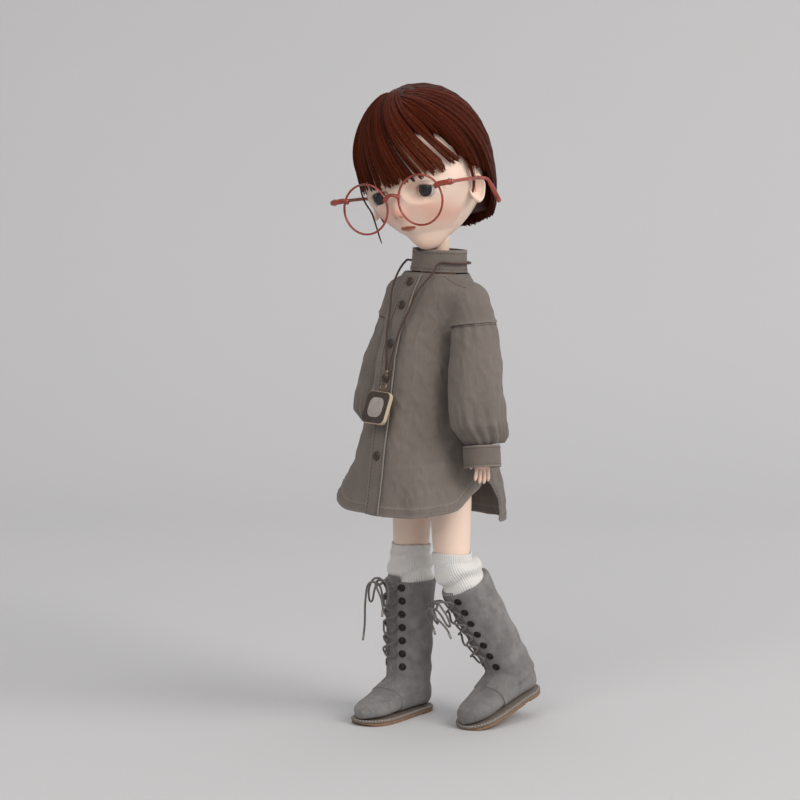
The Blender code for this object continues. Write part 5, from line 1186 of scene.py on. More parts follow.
def make_glasses(looks):
    spot = SPOTS["head"] @ Matrix.Translation(LENS_CENTRE)
    parts = [rim_mesh(-1), rim_mesh(1)]
    inner = LENS_SPACING / 2 - LENS_RADIUS - RIM_WIRE
    rise = TEMPLE_RISE * 0.5
    route = [(x * inner, -0.5 * MM * (1 - x * x), rise + 1.5 * MM * (1 - x * x)) for x in
        np.linspace(-1.15, 1.15, 15)]
    parts.append(sweep("bridge", route, 0.78 * MM, 14, flat=1.0, up=(0, 0, 1),
        taper=lambda share: 1 + 0.5 * abs(2 * share - 1) ** 2))
    near = LENS_SPACING / 2 + (LENS_RADIUS + RIM_WIRE) * 0.86
    for side, sign in SIDES:
        route = [(sign * (near - 1 * MM), 0, TEMPLE_RISE - 0.8 * MM),
            (sign * (near + 1.5 * MM), 0, TEMPLE_RISE), (sign * TEMPLE_X, 0.1 * MM, TEMPLE_RISE),
            (sign * (TEMPLE_X + 0.6 * MM), 1 * MM, TEMPLE_RISE)]
        parts.append(sweep(side + "_end", smooth_route(route, 0.6 * MM), 1.1 * MM, 14, flat=1.15,
            up=(0, 0, 1)))
    dress_piece("glasses_front", joined("glasses_front", parts), looks["acetate"], "glasses",
        "glasses_frame", spot=spot)
    for side, sign in SIDES:
        outline = [(0, -0.45 * MM), (LENS_RADIUS * 0.6, -0.3 * MM),
            (LENS_RADIUS + 0.2 * MM, 0.05 * MM), (LENS_RADIUS + 0.2 * MM, 0.3 * MM),
            (LENS_RADIUS * 0.6, 0.0), (0, -0.12 * MM)]
        lens = lathe("lens", outline, 72)
        lens.transform(Matrix.Translation((sign * LENS_SPACING / 2, 0, 0)) @
            Matrix.Rotation(math.pi / 2, 4, "X"))
        dress_piece(side + "_lens_clear", lens, looks["lens"], "glasses", side + "_lens",
            spot=spot)
        bend = TEMPLE_LENGTH * 0.8
        route = [(0, 1.2 * MM, 0), (0, bend * 0.5, 0), (0, bend, -0.75 * MM),
            (0, bend + TEMPLE_DROP * 0.35, -TEMPLE_DROP * 0.3), (0,
            TEMPLE_LENGTH + TEMPLE_DROP * 0.15, -TEMPLE_DROP)]
        temple = sweep(side + "_temple", smooth_route(route, 1 * MM), 0.75 * MM, 14, flat=1.3,
            up=(0, 0, 1), taper=lambda share: 0.85 + 0.5 * smooth_step(0.7, 0.85, share))
        dress_piece(side + "_temple_arm", temple, looks["acetate"], side + "_temple",
            side + "_temple", spot=side + "_temple")
        knuckles = [moved(lathe("knuckle", [(0.2 * MM, -0.45 * MM), (0.75 * MM, -0.45 * MM),
            (0.75 * MM, 0.45 * MM), (0.2 * MM, 0.45 * MM)], 20, True),
            Matrix.Translation((-sign * 0.5 * MM, 0.6 * MM, lift * MM))) for lift in
            (-1.0, 0, 1.0)]
        plate = moved(soft_box("plate", (0.5 * MM, 2.6 * MM, 1.8 * MM), 0.15 * MM),
            Matrix.Translation((-sign * 0.7 * MM, 2.0 * MM, 0)))
        screw = moved(lathe("screw", [(0, -1.6 * MM), (0.42 * MM, -1.55 * MM),
            (0.42 * MM, 1.7 * MM), (0.15 * MM, 1.9 * MM), (0, 1.9 * MM)], 16),
            Matrix.Translation((-sign * 0.5 * MM, 0.6 * MM, 0)))
        dress_piece(side + "_hinge", joined("hinge", knuckles + [plate, screw]), looks["chrome"],
            side + "_temple", spot=side + "_temple")


# Shirt dress
DRESS_ROWS = ((76.5, 12.9, 9.7, 16.1, 2.0), (71.1, 16, 12.5, 17.2, 2.3),
    (66.1, 18.4, 15.5, 18.8, 2.7), (58.1, 17, 19, 19.8, 2.9), (48.1, 15.9, 24, 19, 2.7),
    (28.1, 18.8, 29.5, 22, 2.8), (13.1, 20.8, 33, 24, 2.8), (-0.9, 22.6, 36.5, 26, 2.8),
    (-10.9, 24.3, 39, 27.5, 2.8), (-20.9, 29.5, 42, 29, 3.0), (-31.9, 38, 45.5, 30, 3.0),
    (-42.9, 42, 48, 31, 3.0))
HEM_FRONT = -33.9 * MM
HEM_BACK = -41.9 * MM
HEM_SIDE = -20.9 * MM
FOLD_START = 35.1 * MM
SLIT_ANGLE = 97
SLIT_WIDTH = 11
COLLAR_RADIUS = 12.6 * MM
COLLAR_LOW = 37.9 * MM
COLLAR_HIGH = 48.1 * MM
NECK_DROP = 3.2 * MM
PENDANT_SIDE = 4.5 * MM
NECK_HOLE = 76.5 * MM
PLACKET_WIDTH = 9.5 * MM
BUTTON_HEIGHTS = (59.1, 42.1, 26.6, 9.1, -7.9)
SLEEVE_TOP = 9.3 * MM
SLEEVE_END = 65.0 * MM
SLEEVE_SHARES = ((0, 0), (0.12, 0.3), (0.3, 0.6), (0.5, 0.85), (0.7, 1), (0.85, 0.85), (0.95, 0.2),
    (1, -0.35))
SHOULDER_CLOTH = 9.3 * MM


def oval(half_x, front, back, around, square=2.0):
    """A point of an oval section; it may reach further forward than back."""
    side = math.sin(around)
    depth = -math.cos(around)
    power = 2 / square
    reach = front if depth < 0 else back
    return (half_x * math.copysign(abs(side) ** power, side),
        reach * math.copysign(abs(depth) ** power, depth))


def dress_point(height, around, grow=0.0):
    """The dress's outer surface, with folds that deepen towards the hem."""
    half_x, front, back, square = blend_table(DRESS_ROWS, height / MM)
    drop = min(1, max(0, FOLD_START - height) / (FOLD_START - HEM_BACK))
    facing = 0.2 + 0.8 * math.cos(around) ** 2
    fold = 2.4 * MM * drop * facing * (1 + math.cos(9 * around + 0.6)) / 2
    size = grow - fold
    x, y = oval(half_x * MM + size, front * MM + size, back * MM + size, around, square)
    swing = min(1, max(0, -12 * MM - height) / (-12 * MM - HEM_BACK))
    x *= 1 - 0.3 * swing if x > 0 else 1 + 0.1 * swing
    return Vector((x, y, height))


def hem_height(around):
    """Front and back hems with a slit at each side; the right front rises early."""
    angle = (math.degrees(around) + 180) % 360 - 180
    away = abs(angle)
    step = min(1, max(0, (away - SLIT_ANGLE + SLIT_WIDTH) / (2 * SLIT_WIDTH)))
    level = HEM_FRONT + (HEM_BACK - HEM_FRONT) * step
    tail = level + (HEM_SIDE - level) * bump_at(away - SLIT_ANGLE, SLIT_WIDTH)
    if -SLIT_ANGLE < angle < 0:
        tail = max(tail, HEM_FRONT + (HEM_SIDE - HEM_FRONT) * math.sin(math.pi / 2 * away /
            SLIT_ANGLE) ** 2)
    return tail


def neck_height(around):
    return NECK_HOLE + COLLAR_RADIUS * math.sin(3.3 * DEG) * math.cos(around)


def front_angle(height):
    """The placket drifts to the doll's left towards the hem."""
    return 7 * DEG * max(0, FOLD_START - height) / (FOLD_START - HEM_FRONT)


def crumple(place, deep):
    """Long soft drapes and the small crumples of washed linen."""
    x, y, z = place
    drape = curl_noise((x, y, z * 0.3), 11 * MM, 3) * 1.5
    drag = curl_noise((x + z * 0.6, y, z * 0.55 - x * 0.5), 6.5 * MM, 11)
    small = curl_noise((x, y, z * 0.8), 3.1 * MM, 19)
    fine = curl_noise(place, 1.4 * MM, 29)
    ridge = 1 - abs(drag) * 2.2
    return (0.85 * drape + 0.5 * ridge * ridge * (1 if ridge > 0 else 0) + 0.28 * small + 0.06 *
        fine) * deep * MM


def dress_cloth(height, around, out=0.0, wrinkled=True):
    """A point of the cloth with its crumples; out lays a piece on it."""
    place = dress_point(height, around, out)
    if not wrinkled:
        return place
    drop = smooth_step(NECK_HOLE + 2 * MM, NECK_HOLE - 26 * MM,
        height) if height < NECK_HOLE else 0
    calm = 1 - 0.75 * bump_at(around - front_angle(height), 0.34)
    bend = crumple(place, 0.25 + 0.75 * drop) * calm * smooth_step(0, 1,
        (NECK_HOLE - height) / (6 * MM))
    way = Vector((math.sin(around), -math.cos(around), 0))
    return place + way * bend


def on_dress(height, x, out, wrinkled=True):
    """The front of the dress at a height and a distance to the side."""
    low, high = -math.pi / 2, math.pi / 2
    for step in range(22):
        middle = (low + high) / 2
        if dress_point(height, middle).x < x:
            low = middle
        else:
            high = middle
    return dress_cloth(height, (low + high) / 2, 0, wrinkled) + Vector((0, -out, 0))


def smooth_hem(around):
    angle = (math.degrees(around) + 180) % 360 - 180
    lift = 9 * MM * smooth_step(6, 44, -angle) * smooth_step(-110, -70, angle)
    return hem_height(around) + 0.4 * MM * math.sin(around * 5 + 1) + lift


def shoulder_gap(point, arms):
    """How far a point of the dress frame lies outside the nearer shoulder's cloth."""
    gaps = []
    for into in arms:
        arm = into @ point
        away = math.hypot(arm.x, arm.y) if arm.z < 0 else arm.length
        gaps.append(away - SHOULDER_CLOTH + max(0, -arm.z - 12 * MM))
    return min(gaps)


def sloped(place, around, arms):
    """Moves a point of the body out to a soft union with the shoulders."""
    way = Vector((math.sin(around), -math.cos(around), 0.12)).normalized()
    best = 0.0
    blend = 9 * MM
    for step in range(22):
        out = step * 0.3 * MM
        gap = shoulder_gap(place + way * out, arms)
        mix = max(0, min(1, 0.5 + 0.5 * (gap - out) / blend))
        union = gap + (out - gap) * mix - blend * mix * (1 - mix)
        if union < 0:
            best = out
        else:
            break
    return place + way * best


def dress_rows():
    rows, wear = [], []
    arms = [SPOTS[side + "_upper_arm"].inverted() @ SPOTS["dress"] for side, sign in SIDES]
    for row in range(170):
        share = row / 169
        ring = []
        for index in range(300):
            around = 2 * math.pi * index / 300 - math.pi
            top, low = neck_height(around) - NECK_DROP, smooth_hem(around)
            height = low + (top - low) * share
            point = dress_cloth(height, around)
            if height > 42 * MM:
                ease = smooth_step(0, 3 * MM, top - height)
                point += (sloped(point, around, arms) - point) * ease
            band = smooth_step(4.3 * MM, 3.9 * MM, height - low)
            point += Vector((math.sin(around), -math.cos(around), 0)) * band * 0.28 * MM
            ring.append(point)
            wear.append(bump_at(height - low, 0.9 * MM) * 0.9 + 0.5 *
                bump_at(height - low - 4.1 * MM, 0.5 * MM))
        rows.append(ring)
    return rows, wear


def shoulder_rows(sign):
    """The body's cloth where it falls over the ball of the shoulder."""
    rows, wear = [], []
    for row in range(44):
        share = row / 43
        ring = []
        for index in range(120):
            around = 2 * math.pi * index / 120
            if share < 0.62:
                angle = (88 - 88 * share / 0.62) * DEG
                radius, height = SHOULDER_CLOTH * math.cos(angle), SHOULDER_CLOTH * math.sin(angle)
            else:
                down = (share - 0.62) / 0.38
                radius = SHOULDER_CLOTH + (10.9 * MM - SHOULDER_CLOTH) * down
                height = -(SLEEVE_TOP + 0.8 * MM) * down
            place = Vector((radius * math.sin(around), -radius * math.cos(around), height))
            bend = crumple(place + Vector((0, 0, 0.09 * sign)), 0.45) * smooth_step(0, 0.3, share)
            roll = 0.25 * MM * smooth_step(0.93, 0.97, share)
            scale = 1 + (bend + roll) / SHOULDER_CLOTH
            ring.append(Vector((place.x * scale, place.y * scale, place.z + bend * 0.5)))
            wear.append(0.7 * bump_at(share - 1, 0.02))
        rows.append(ring)
    return rows[::-1], wear[::-1]


def sleeve_point(sign, along, around, grow=0.0):
    """A puff sleeve gathered at its cuff; it lies flat against the body."""
    puff = blend_table(SLEEVE_SHARES, along)[0]
    full = (10.6 + 4.6 * puff) * MM
    outward = 0.5 + 0.5 * math.sin(around) * sign
    gather = smooth_step(0.55, 0.97, along)
    fold = 1.1 * MM * along * (1 + math.cos(6 * around)) / 2
    pleat = 0.62 * MM * gather * math.cos(19 * around + 2 * math.sin(3 * around))
    pleat += 0.9 * MM * bump_at(along - 0.45, 0.16) * math.sin(2 * around + 9 * along)
    pleat += 0.3 * MM * smooth_step(0.3, 0.02, along) * math.cos(13 * around)
    reach = full - fold * (0.3 + 0.7 * outward) + pleat * (0.35 + 0.65 * outward)
    x = math.sin(around) * reach
    z = -SLEEVE_TOP - (SLEEVE_END - SLEEVE_TOP) * along
    place = Vector((x, -math.cos(around) * reach, z))
    bend = crumple(place + Vector((0.07 * sign, 0.02, 0)), 0.8) * smooth_step(0, 0.1, along)
    bend *= 1 - 0.7 * smooth_step(0.9, 1, along)
    reach += bend * (0.25 + 0.75 * outward) + grow
    forward = 3.6 * MM * smooth_step(0.05, 0.6, along) * smooth_step(1.0, 0.8, along)
    x = math.sin(around) * reach * (1 - 0.09 * max(0, puff))
    if x * sign < 0:
        x = math.sin(around) * min(6.9 * MM + grow + 1.2 * MM * max(0, math.cos(around)), reach)
    return Vector((x, -math.cos(around) * reach * 0.97 - forward, z))


def button_mesh(radius):
    """A dished button. Its four holes, dark discs of painted shade, and a thread across them are
    laid on it in make_placket.
    """
    outline = [(0, 0), (radius * 0.97, 0), (radius, 0.25 * MM), (radius * 0.96, 0.62 * MM),
        (radius * 0.84, 0.72 * MM), (radius * 0.7, 0.6 * MM), (radius * 0.62, 0.46 * MM),
        (0, 0.42 * MM)]
    return lathe("button", outline, 40)


def place_on(height, x, out):
    """A frame on the front of the dress, its Z axis out of the cloth."""
    step = 3 * MM
    here = on_dress(height, x, 0, False)
    up = (on_dress(height + step, x, 0, False) - on_dress(height - step, x, 0, False)).normalized()
    along = on_dress(height, x + step, 0, False) - on_dress(height, x - step, 0, False)
    normal = along.cross(up).normalized()
    turned = Matrix((up.cross(normal), up, normal)).transposed()
    return Matrix.Translation(here + normal * out) @ turned.to_4x4()


def make_shirt(looks):
    rows, wear = dress_rows()
    body = surface("shirt_body", rows)
    paint(body, "worn", wear)
    shells = [body]
    parts = []
    for side, sign in SIDES:
        rows, wear = shoulder_rows(sign)
        cap = surface("shoulder", rows)
        paint(cap, "worn", wear)
        stand = SPOTS["dress"].inverted() @ SPOTS[side + "_upper_arm"]
        parts.append(moved(cap, stand))
    cloth = dress_piece("shirt_cloth", joined("shirt_cloth", shells + parts), looks["linen"],
        "chest", "shirt_body", spot="dress")
    thickened(cloth, 0.55 * MM)
    baked(cloth)
    hem = [[dress_cloth(smooth_hem(angle) + 3.6 * MM, angle, 0.34 * MM) for angle in
        np.linspace(0.002, 2 * math.pi, 500) - math.pi]]
    stitches("hem_stitches", hem, looks["thread"], "chest", "dress", 1.7 * MM, 1.0 * MM, 0.13 * MM)
    arms = [SPOTS[side + "_upper_arm"].inverted() @ SPOTS["dress"] for side, sign in SIDES]
    seams = []
    for sign in (-1, 1):
        line = []
        for share in np.linspace(0, 1, 70):
            around = sign * (62 + 50 * share) * DEG
            height = (72.5 - 17 * share ** 1.4) * MM
            place = sloped(dress_cloth(height, around), around, arms)
            line.append(place + Vector((math.sin(around), -math.cos(around), 0.2)) * 0.25 * MM)
        seams.append(line)
    stitches("yoke_stitches", seams, looks["thread"], "chest", "dress", 1.7 * MM, 1.1 * MM,
        0.14 * MM)
    return cloth


def make_sleeves(looks):
    for side, sign in SIDES:
        rows, wear = [], []
        for row in range(110):
            along = 1 - row / 109
            rows.append([sleeve_point(sign, along, 2 * math.pi * index / 170) for index in
                range(170)])
            wear += [0.8 * bump_at(along, 0.012)] * 170
        mesh = surface("sleeve", rows)
        paint(mesh, "worn", wear)
        sleeve = dress_piece(side + "_sleeve_cloth", mesh, looks["linen"], None, side + "_sleeve",
            spot=side + "_upper_arm")
        thickened(sleeve, 0.5 * MM)
        baked(sleeve)
        bend_at(sleeve, side + "_elbow_bend",
            side + "_forearm", 11 * MM)
        seam = [[sleeve_point(sign, 0.03, angle, 0.3 * MM) for angle in
            np.linspace(0, 2 * math.pi, 120)]]
        stitches(side + "_shoulder_stitches", seam, looks["thread"], side + "_upper_arm",
            side + "_upper_arm", 1.7 * MM, 1.0 * MM, 0.15 * MM)
        outline = []
        for step in range(23):
            share = step / 22
            bulge = 0.35 * math.sin(share * math.pi) + 0.28 * bump_at(share - 0.02,
                0.06) + 0.28 * bump_at(share - 0.98, 0.06)
            outline.append(((8.4 + bulge) * MM, (-41.3 + 10 * share) * MM))
        outline += [(7.85 * MM, height) for radius, height in outline[::-1]]
        cuff = lathe("cuff", outline, 96, loop=True)
        for corner in cuff.vertices:
            way = Vector((corner.co.x, corner.co.y, 0)).normalized()
            corner.co += way * crumple(corner.co + Vector((0.05 * sign, 0, 0)), 0.32)
        paint(cuff, "worn", [bump_at(corner.co.z + 41.3 * MM, 0.8 * MM) +
            bump_at(corner.co.z + 31.3 * MM, 0.8 * MM) for corner in cuff.vertices])
        dress_piece(side + "_cuff_cloth", cuff, looks["linen"], side + "_forearm", side + "_cuff",
            spot=side + "_forearm")
        rounds = [[Vector((math.sin(angle), -math.cos(angle), 0)) * (8.86 * MM) +
            Vector((0, 0, height * MM)) for angle in np.linspace(0, 2 * math.pi, 90)] for height in
            (-32.5, -40.1)]
        stitches(side + "_cuff_stitches", rounds, looks["thread"], side + "_forearm",
            side + "_forearm", 1.6 * MM, 0.95 * MM, 0.14 * MM)


def make_collar(looks):
    outline = []
    for step in range(25):
        share = step / 24
        wide = COLLAR_RADIUS * (1.04 - 0.06 * share)
        ridge = 0.2 * bump_at(share - 0.03, 0.05) + 0.3 * bump_at(share - 0.97, 0.05)
        outline.append((wide + ridge * MM, COLLAR_LOW + (COLLAR_HIGH - COLLAR_LOW) * share))
    outline += [(radius - 1.15 * MM, height) for radius, height in outline[::-1]]
    collar = lathe("collar", outline, 120, loop=True)
    for corner in collar.vertices:
        around = math.atan2(corner.co.x, -corner.co.y)
        way = Vector((corner.co.x, corner.co.y, 0)).normalized()
        rise = (corner.co.z - COLLAR_LOW) / (COLLAR_HIGH - COLLAR_LOW)
        corner.co += way * crumple(corner.co, 0.22)
        corner.co += way * 0.35 * MM * bump_at(around - 0.12, 0.2)
        corner.co.z -= 1.4 * MM * rise * bump_at(around, 0.28)
    paint(collar, "worn", [bump_at(corner.co.z - COLLAR_HIGH, 0.8 * MM) for corner in
        collar.vertices])
    dress_piece("collar_cloth", collar, looks["linen"], "chest", "collar", spot="chest")
    rounds = []
    for height, share in ((1.4, 0.14), (8.6, 0.86)):
        radius = COLLAR_RADIUS * (1.04 - 0.06 * share) + 0.18 * MM
        line = []
        for angle in np.linspace(0.2, 2 * math.pi - 0.02, 140):
            sag = 1.4 * share * bump_at(min(angle, 2 * math.pi - angle), 0.28)
            line.append(Vector((math.sin(angle), -math.cos(angle), 0)) * radius +
                Vector((0, 0, COLLAR_LOW + (height - sag) * MM)))
        rounds.append(line)
    stitches("collar_stitches", rounds, looks["thread"], "chest", "chest", 1.7 * MM, 1.05 * MM,
        0.17 * MM)


def make_placket(looks):
    rows = []
    top = neck_height(0) - NECK_DROP - 1 * MM
    for level in range(150):
        height = HEM_FRONT + 0.4 * MM + (top - HEM_FRONT) * level / 149
        middle = dress_point(height, front_angle(height)).x
        row = []
        for column in range(22):
            across = (column / 21 - 0.5) * PLACKET_WIDTH
            edge = 0.28 * MM * bump_at(abs(across) - PLACKET_WIDTH / 2 + 0.25 * MM, 0.3 * MM)
            wave = 0.12 * MM * curl_noise((across * 0.5, height, 0), 5 * MM, 5)
            row.append(on_dress(height, middle + across, 1.05 * MM + edge + wave))
        rows.append(row)
    strip = surface("placket", rows, wrap=False)
    paint(strip, "worn", [bump_at(column - 0, 0.9) + bump_at(column - 21, 0.9) for level in
        range(150) for column in range(22)])
    thing = dress_piece("placket_cloth", strip, looks["linen"], "chest", "button_placket",
        spot="dress")
    thickened(thing, 0.7 * MM)
    baked(thing)
    lines = []
    for shift in (-1, 1):
        line = []
        for level in range(2, 148):
            height = HEM_FRONT + 0.4 * MM + (top - HEM_FRONT) * level / 149
            middle = dress_point(height, front_angle(height)).x
            line.append(on_dress(height, middle + shift * (PLACKET_WIDTH / 2 - 1.1 * MM),
                1.2 * MM))
        lines.append(line)
    stitches("placket_stitches", lines, looks["thread"], "chest", "dress", 1.8 * MM, 1.1 * MM,
        0.14 * MM)
    buttons, holes, threads = [], [], []
    spots = [(height * MM, 1.35 * MM) for height in BUTTON_HEIGHTS] + [(69.3 * MM, 1.4 * MM)]
    for height, out in spots:
        middle = dress_point(height, front_angle(height)).x
        stand = place_on(height, middle, out)
        buttons.append(moved(button_mesh(2.1 * MM), stand))
        # dark discs of painted shade stand in for the button's four holes
        for turned in range(4):
            angle = math.pi / 4 + turned * math.pi / 2
            spot = Matrix.Translation((0.55 * MM * math.cos(angle), 0.55 * MM * math.sin(angle),
                0.36 * MM))
            holes.append(moved(lathe("hole", [(0, 0), (0.24 * MM, 0), (0.24 * MM, 0.1 * MM),
                (0, 0.1 * MM)], 12), stand @ spot))
        threads.append([stand @ Vector((-0.55 * MM, 0.55 * MM * sign, 0.52 * MM)) +
            (stand.to_3x3() @ Vector((1.1 * MM * share, 0, 0))) for sign in (-1,) for share in
            (0, 0.5, 1)])
    dress_piece("buttons", joined("buttons", buttons), looks["button"], "chest", spot="dress")
    dress_piece("button_holes", joined("button_holes", holes), looks["dark"], "chest",
        spot="dress")
    fibres("button_threads", threads, looks["thread"], "chest", "dress", 0.16 * MM, 1.0, 6)


# Necklace
STRAND_SHARES = ((0.95, 0.55), (0.8, 0.42), (0.6, 0.28), (0.4, 0.17), (0.2, 0.08), (0.04, 0.035))
PENDANT_TOP = 27.1 * MM
CORD_RADIUS = 0.5 * MM


def necklace_route():
    """The cord's route in the dress frame, repeated from the part."""
    strands = {}
    for sign in (-1, 1):
        strands[sign] = []
        for rise, across in STRAND_SHARES:
            height = PENDANT_TOP + (NECK_HOLE - PENDANT_TOP) * rise
            drift = PENDANT_SIDE * (1 - rise)
            point = on_dress(height, drift + sign * across * COLLAR_RADIUS * 1.6, 0, False)
            strands[sign].append(point + Vector((0, -4 * MM, 0)))
    reach = COLLAR_RADIUS * 1.04 + CORD_RADIUS + 1.2 * MM
    loop = []
    for index in range(11):
        angle = (48 + 264 * index / 10) * DEG
        loop.append(Vector((-reach * math.sin(angle), 3.2 * MM - reach * math.cos(angle),
            NECK_HOLE + 1.5 * MM + COLLAR_RADIUS * math.sin(3.3 * DEG) * math.cos(angle))))
    return smooth_route(strands[-1][::-1] + loop + strands[1], 1.5 * MM)


def make_necklace(looks, settings):
    """One thin cord round the collar, its ring, and a plain tag that hangs from it."""
    points = necklace_route()
    cord = dress_piece("necklace_twine", sweep("necklace_twine", points, CORD_RADIUS, 12),
        looks["twine"], "chest", "necklace_cord", spot="dress")
    path = [tuple(SPOTS["dress"] @ point) for point in points]
    length = sum((Vector(b) - Vector(a)).length for a, b in zip(path, path[1:]))
    clasp = moved(lathe("clasp", [(0, -1.5 * MM), (0.75 * MM, -1.45 * MM), (0.85 * MM, -0.8 * MM),
        (0.7 * MM, 0), (0.85 * MM, 0.8 * MM), (0.75 * MM, 1.45 * MM), (0, 1.5 * MM)], 24),
        Matrix.Translation((points[0] + points[-1]) / 2 + Vector((0, 0, 0.6 * MM))))
    dress_piece("cord_end", clasp, looks["brass"], "chest", spot="dress")
    ring = [Vector((1.8 * MM * math.sin(2 * math.pi * step / 40), 0,
        -2.5 * MM + 1.8 * MM * math.cos(2 * math.pi * step / 40))) for step in range(40)]
    dress_piece("tag_ring", sweep("tag_ring", ring, 0.4 * MM, 12, closed=True), looks["brass"],
        "pendant", "pendant_ring", spot="pendant")
    top = -5.0 * MM
    half = 7.5 * MM
    middle = Vector((0, 0, top - half))
    plates = (("tag_card", 15, 2.0, 0.0, "card"), ("tag_front", 14.6, 0.35, -0.93, "dark_card"),
        ("tag_inset", 9.2, 0.3, -1.08, "tag_stone"))
    for name, wide, thick, out, look in plates:
        shape = bmesh.new()
        ring = []
        count = 12
        corner = 2.6 if name != "tag_inset" else 3.2
        for sx, sz, start in ((1, 1, 0), (-1, 1, 90), (-1, -1, 180), (1, -1, 270)):
            for step in range(count + 1):
                angle = (start + 90 * step / count) * DEG
                ring.append(((sx * (wide / 2 - corner) + corner * math.cos(angle)) * MM,
                    (sz * (wide / 2 - corner) + corner * math.sin(angle)) * MM))
        low = [shape.verts.new((x, -thick / 2 * MM, z)) for x, z in ring]
        face = shape.faces.new(low)
        grown = bmesh.ops.extrude_face_region(shape, geom=[face])
        bmesh.ops.translate(shape, vec=(0, thick * MM, 0), verts=[item for item in grown["geom"] if
            isinstance(item, bmesh.types.BMVert)])
        bmesh.ops.recalc_face_normals(shape, faces=shape.faces)
        edges = [edge for edge in shape.edges if abs(edge.verts[0].co.y - edge.verts[1].co.y) <
            1e-7]
        bmesh.ops.bevel(shape, geom=edges, offset=min(0.22, thick * 0.3) * MM, segments=3,
            affect="EDGES", profile=0.5)
        mesh = bpy.data.meshes.new(name)
        shape.to_mesh(mesh)
        shape.free()
        mesh.shade_smooth()
        mesh.transform(Matrix.Translation(middle + Vector((0, out * MM, 0))))
        dress_piece(name, mesh, looks[look], "pendant", *(("pendant_tag",) if name == "tag_card"
            else ()), spot="pendant")


# Socks and boots
SHIN_LENGTH = 62 * MM
SHIN_RADIUS = 8.4 * MM
SOLE_WIDTH = 21 * MM
SOLE_THICKNESS = 2.6 * MM
SHAFT_HEIGHT = 49 * MM
SHAFT_RADIUS = 11.6 * MM
THROAT_HALF = 3.4 * MM
VAMP_LINE = -15 * MM
LACE = 0.75 * MM
EYELET_ROWS = 7
BOOT_SHARES = ((0.0, 0.2, 0.6), (0.02, 0.42, 0.7647), (0.06, 0.66, 0.9412), (0.14, 0.78, 1.1765),
    (0.3, 0.8, 1.2353), (0.44, 0.84, 1.1765), (0.56, 0.92, 0.9706), (0.7, 0.99, 0.7353),
    (0.82, 0.96, 0.6176), (0.92, 0.76, 0.5294), (0.975, 0.45, 0.4118), (1.0, 0.1, 0.32))


def sole_half_width(along):
    """Half the sole's width by share of its length from the heel."""
    if along > 0.74:
        return math.sqrt(max(0, 1 - ((along - 0.74) / 0.26) ** 2))
    if along < 0.17:
        return 0.8 * math.sqrt(max(0, 1 - ((0.17 - along) / 0.17) ** 2))
    return 0.8 + 0.2 * (1 - math.cos(math.pi * (along - 0.17) / 0.57)) / 2


def sole_outline(grow, height, count=60):
    """The sole's edge in plan, round from the heel along one side and back."""
    points = []
    for sign in (1, -1):
        for index in range(count):
            share = (1 - math.cos(math.pi * index / count)) / 2
            along = share if sign == 1 else 1 - share
            points.append(Vector((sign * sole_half_width(along) * (SOLE_WIDTH / 2 + grow),
                SOLE_BACK + grow - along * (SOLE_LENGTH + 2 * grow), height)))
    return points


def boot_rings(grow=0.0, long=1.0):
    """Upright sections of the boot's foot, heel to toe, standing on the sole."""
    base = SOLE_THICKNESS - ANKLE_HEIGHT
    rings = []
    for step in range(60):
        along = 0.004 + 0.992 * (1 - math.cos(math.pi * step / 59)) / 2
        wide, high = blend_table(BOOT_SHARES, along)
        wide = min(wide, sole_half_width(along) + 0.01) if along > 0.9 or along < 0.08 else wide
        half = max(0.4 * MM, SOLE_WIDTH / 2 * wide - 0.35 * MM + grow)
        top = high * ANKLE_HEIGHT - SOLE_THICKNESS + grow
        y = SOLE_BACK - 0.4 * MM - along * (SOLE_LENGTH - 0.8 * MM)
        y = -11 * MM + (y + 11 * MM) * long
        ring = []
        for index in range(48):
            x, z = oval(half, top / 2, top / 2, 2 * math.pi * (index + 0.5) / 48, 2.5)
            ring.append(Vector((x, y, base + top / 2 + z)))
        rings.append(ring)
    return rings


def shaft_rings(overrun=0.0, grow=0.0):
    """Level sections of the boot's shaft, up the shin from the ankle."""
    table = ((-0.12, 0.8, 0.95), (0.1, 0.86, 0.95), (0.35, 0.92, 0.96), (0.7, 0.98, 1),
        (1, 1.02, 1.03))
    rings = []
    for step in range(40):
        share = -0.12 + 1.12 * step / 39
        wide, deep = blend_table(table, share)
        height = share * SHAFT_HEIGHT - SHIN_LENGTH + (overrun if step == 39 else 0)
        slump = 0.28 * MM * math.sin(share * 21 + 1) * smooth_step(0.05, 0.2, share)
        slump += 0.5 * MM * bump_at(share - 0.09, 0.05)
        ring = []
        for index in range(72):
            around = 2 * math.pi * (index + 0.5) / 72
            x, y = oval(SHAFT_RADIUS * wide + grow, SHAFT_RADIUS * deep + grow,
                SHAFT_RADIUS * deep + grow, around)
            press = 1 + (slump * (0.5 - 0.5 * math.cos(around * 1 + 0.6)) + 0.35 * MM *
                curl_noise((x, y, height * 1.6), 7 * MM, 2)) / SHAFT_RADIUS
            ring.append(Vector((x * press, y * press, height)))
        rings.append(ring)
    return rings


def cut_away(thing, mesh, operation="DIFFERENCE"):
    """Cuts a mesh from a piece, or keeps or adds it, and applies that."""
    tool = add_object("tool", mesh)
    modified(thing, "BOOLEAN", operation=operation, object=tool, solver="EXACT")
    baked(thing)
    bpy.data.objects.remove(tool)


def block(low, high):
    size = Vector(high) - Vector(low)
    shape = bmesh.new()
    bmesh.ops.create_cube(shape, size=1, matrix=Matrix.Translation((Vector(low) + Vector(high)) /
        2) @ Matrix.Diagonal((*size, 1)))
    mesh = bpy.data.meshes.new("block")
    shape.to_mesh(mesh)
    shape.free()
    return mesh


def worn_edges(mesh, test):
    """Marks how worn each point is, from a function of its place and normal."""
    paint(mesh, "worn", [test(corner.co, corner.normal) for corner in mesh.vertices])


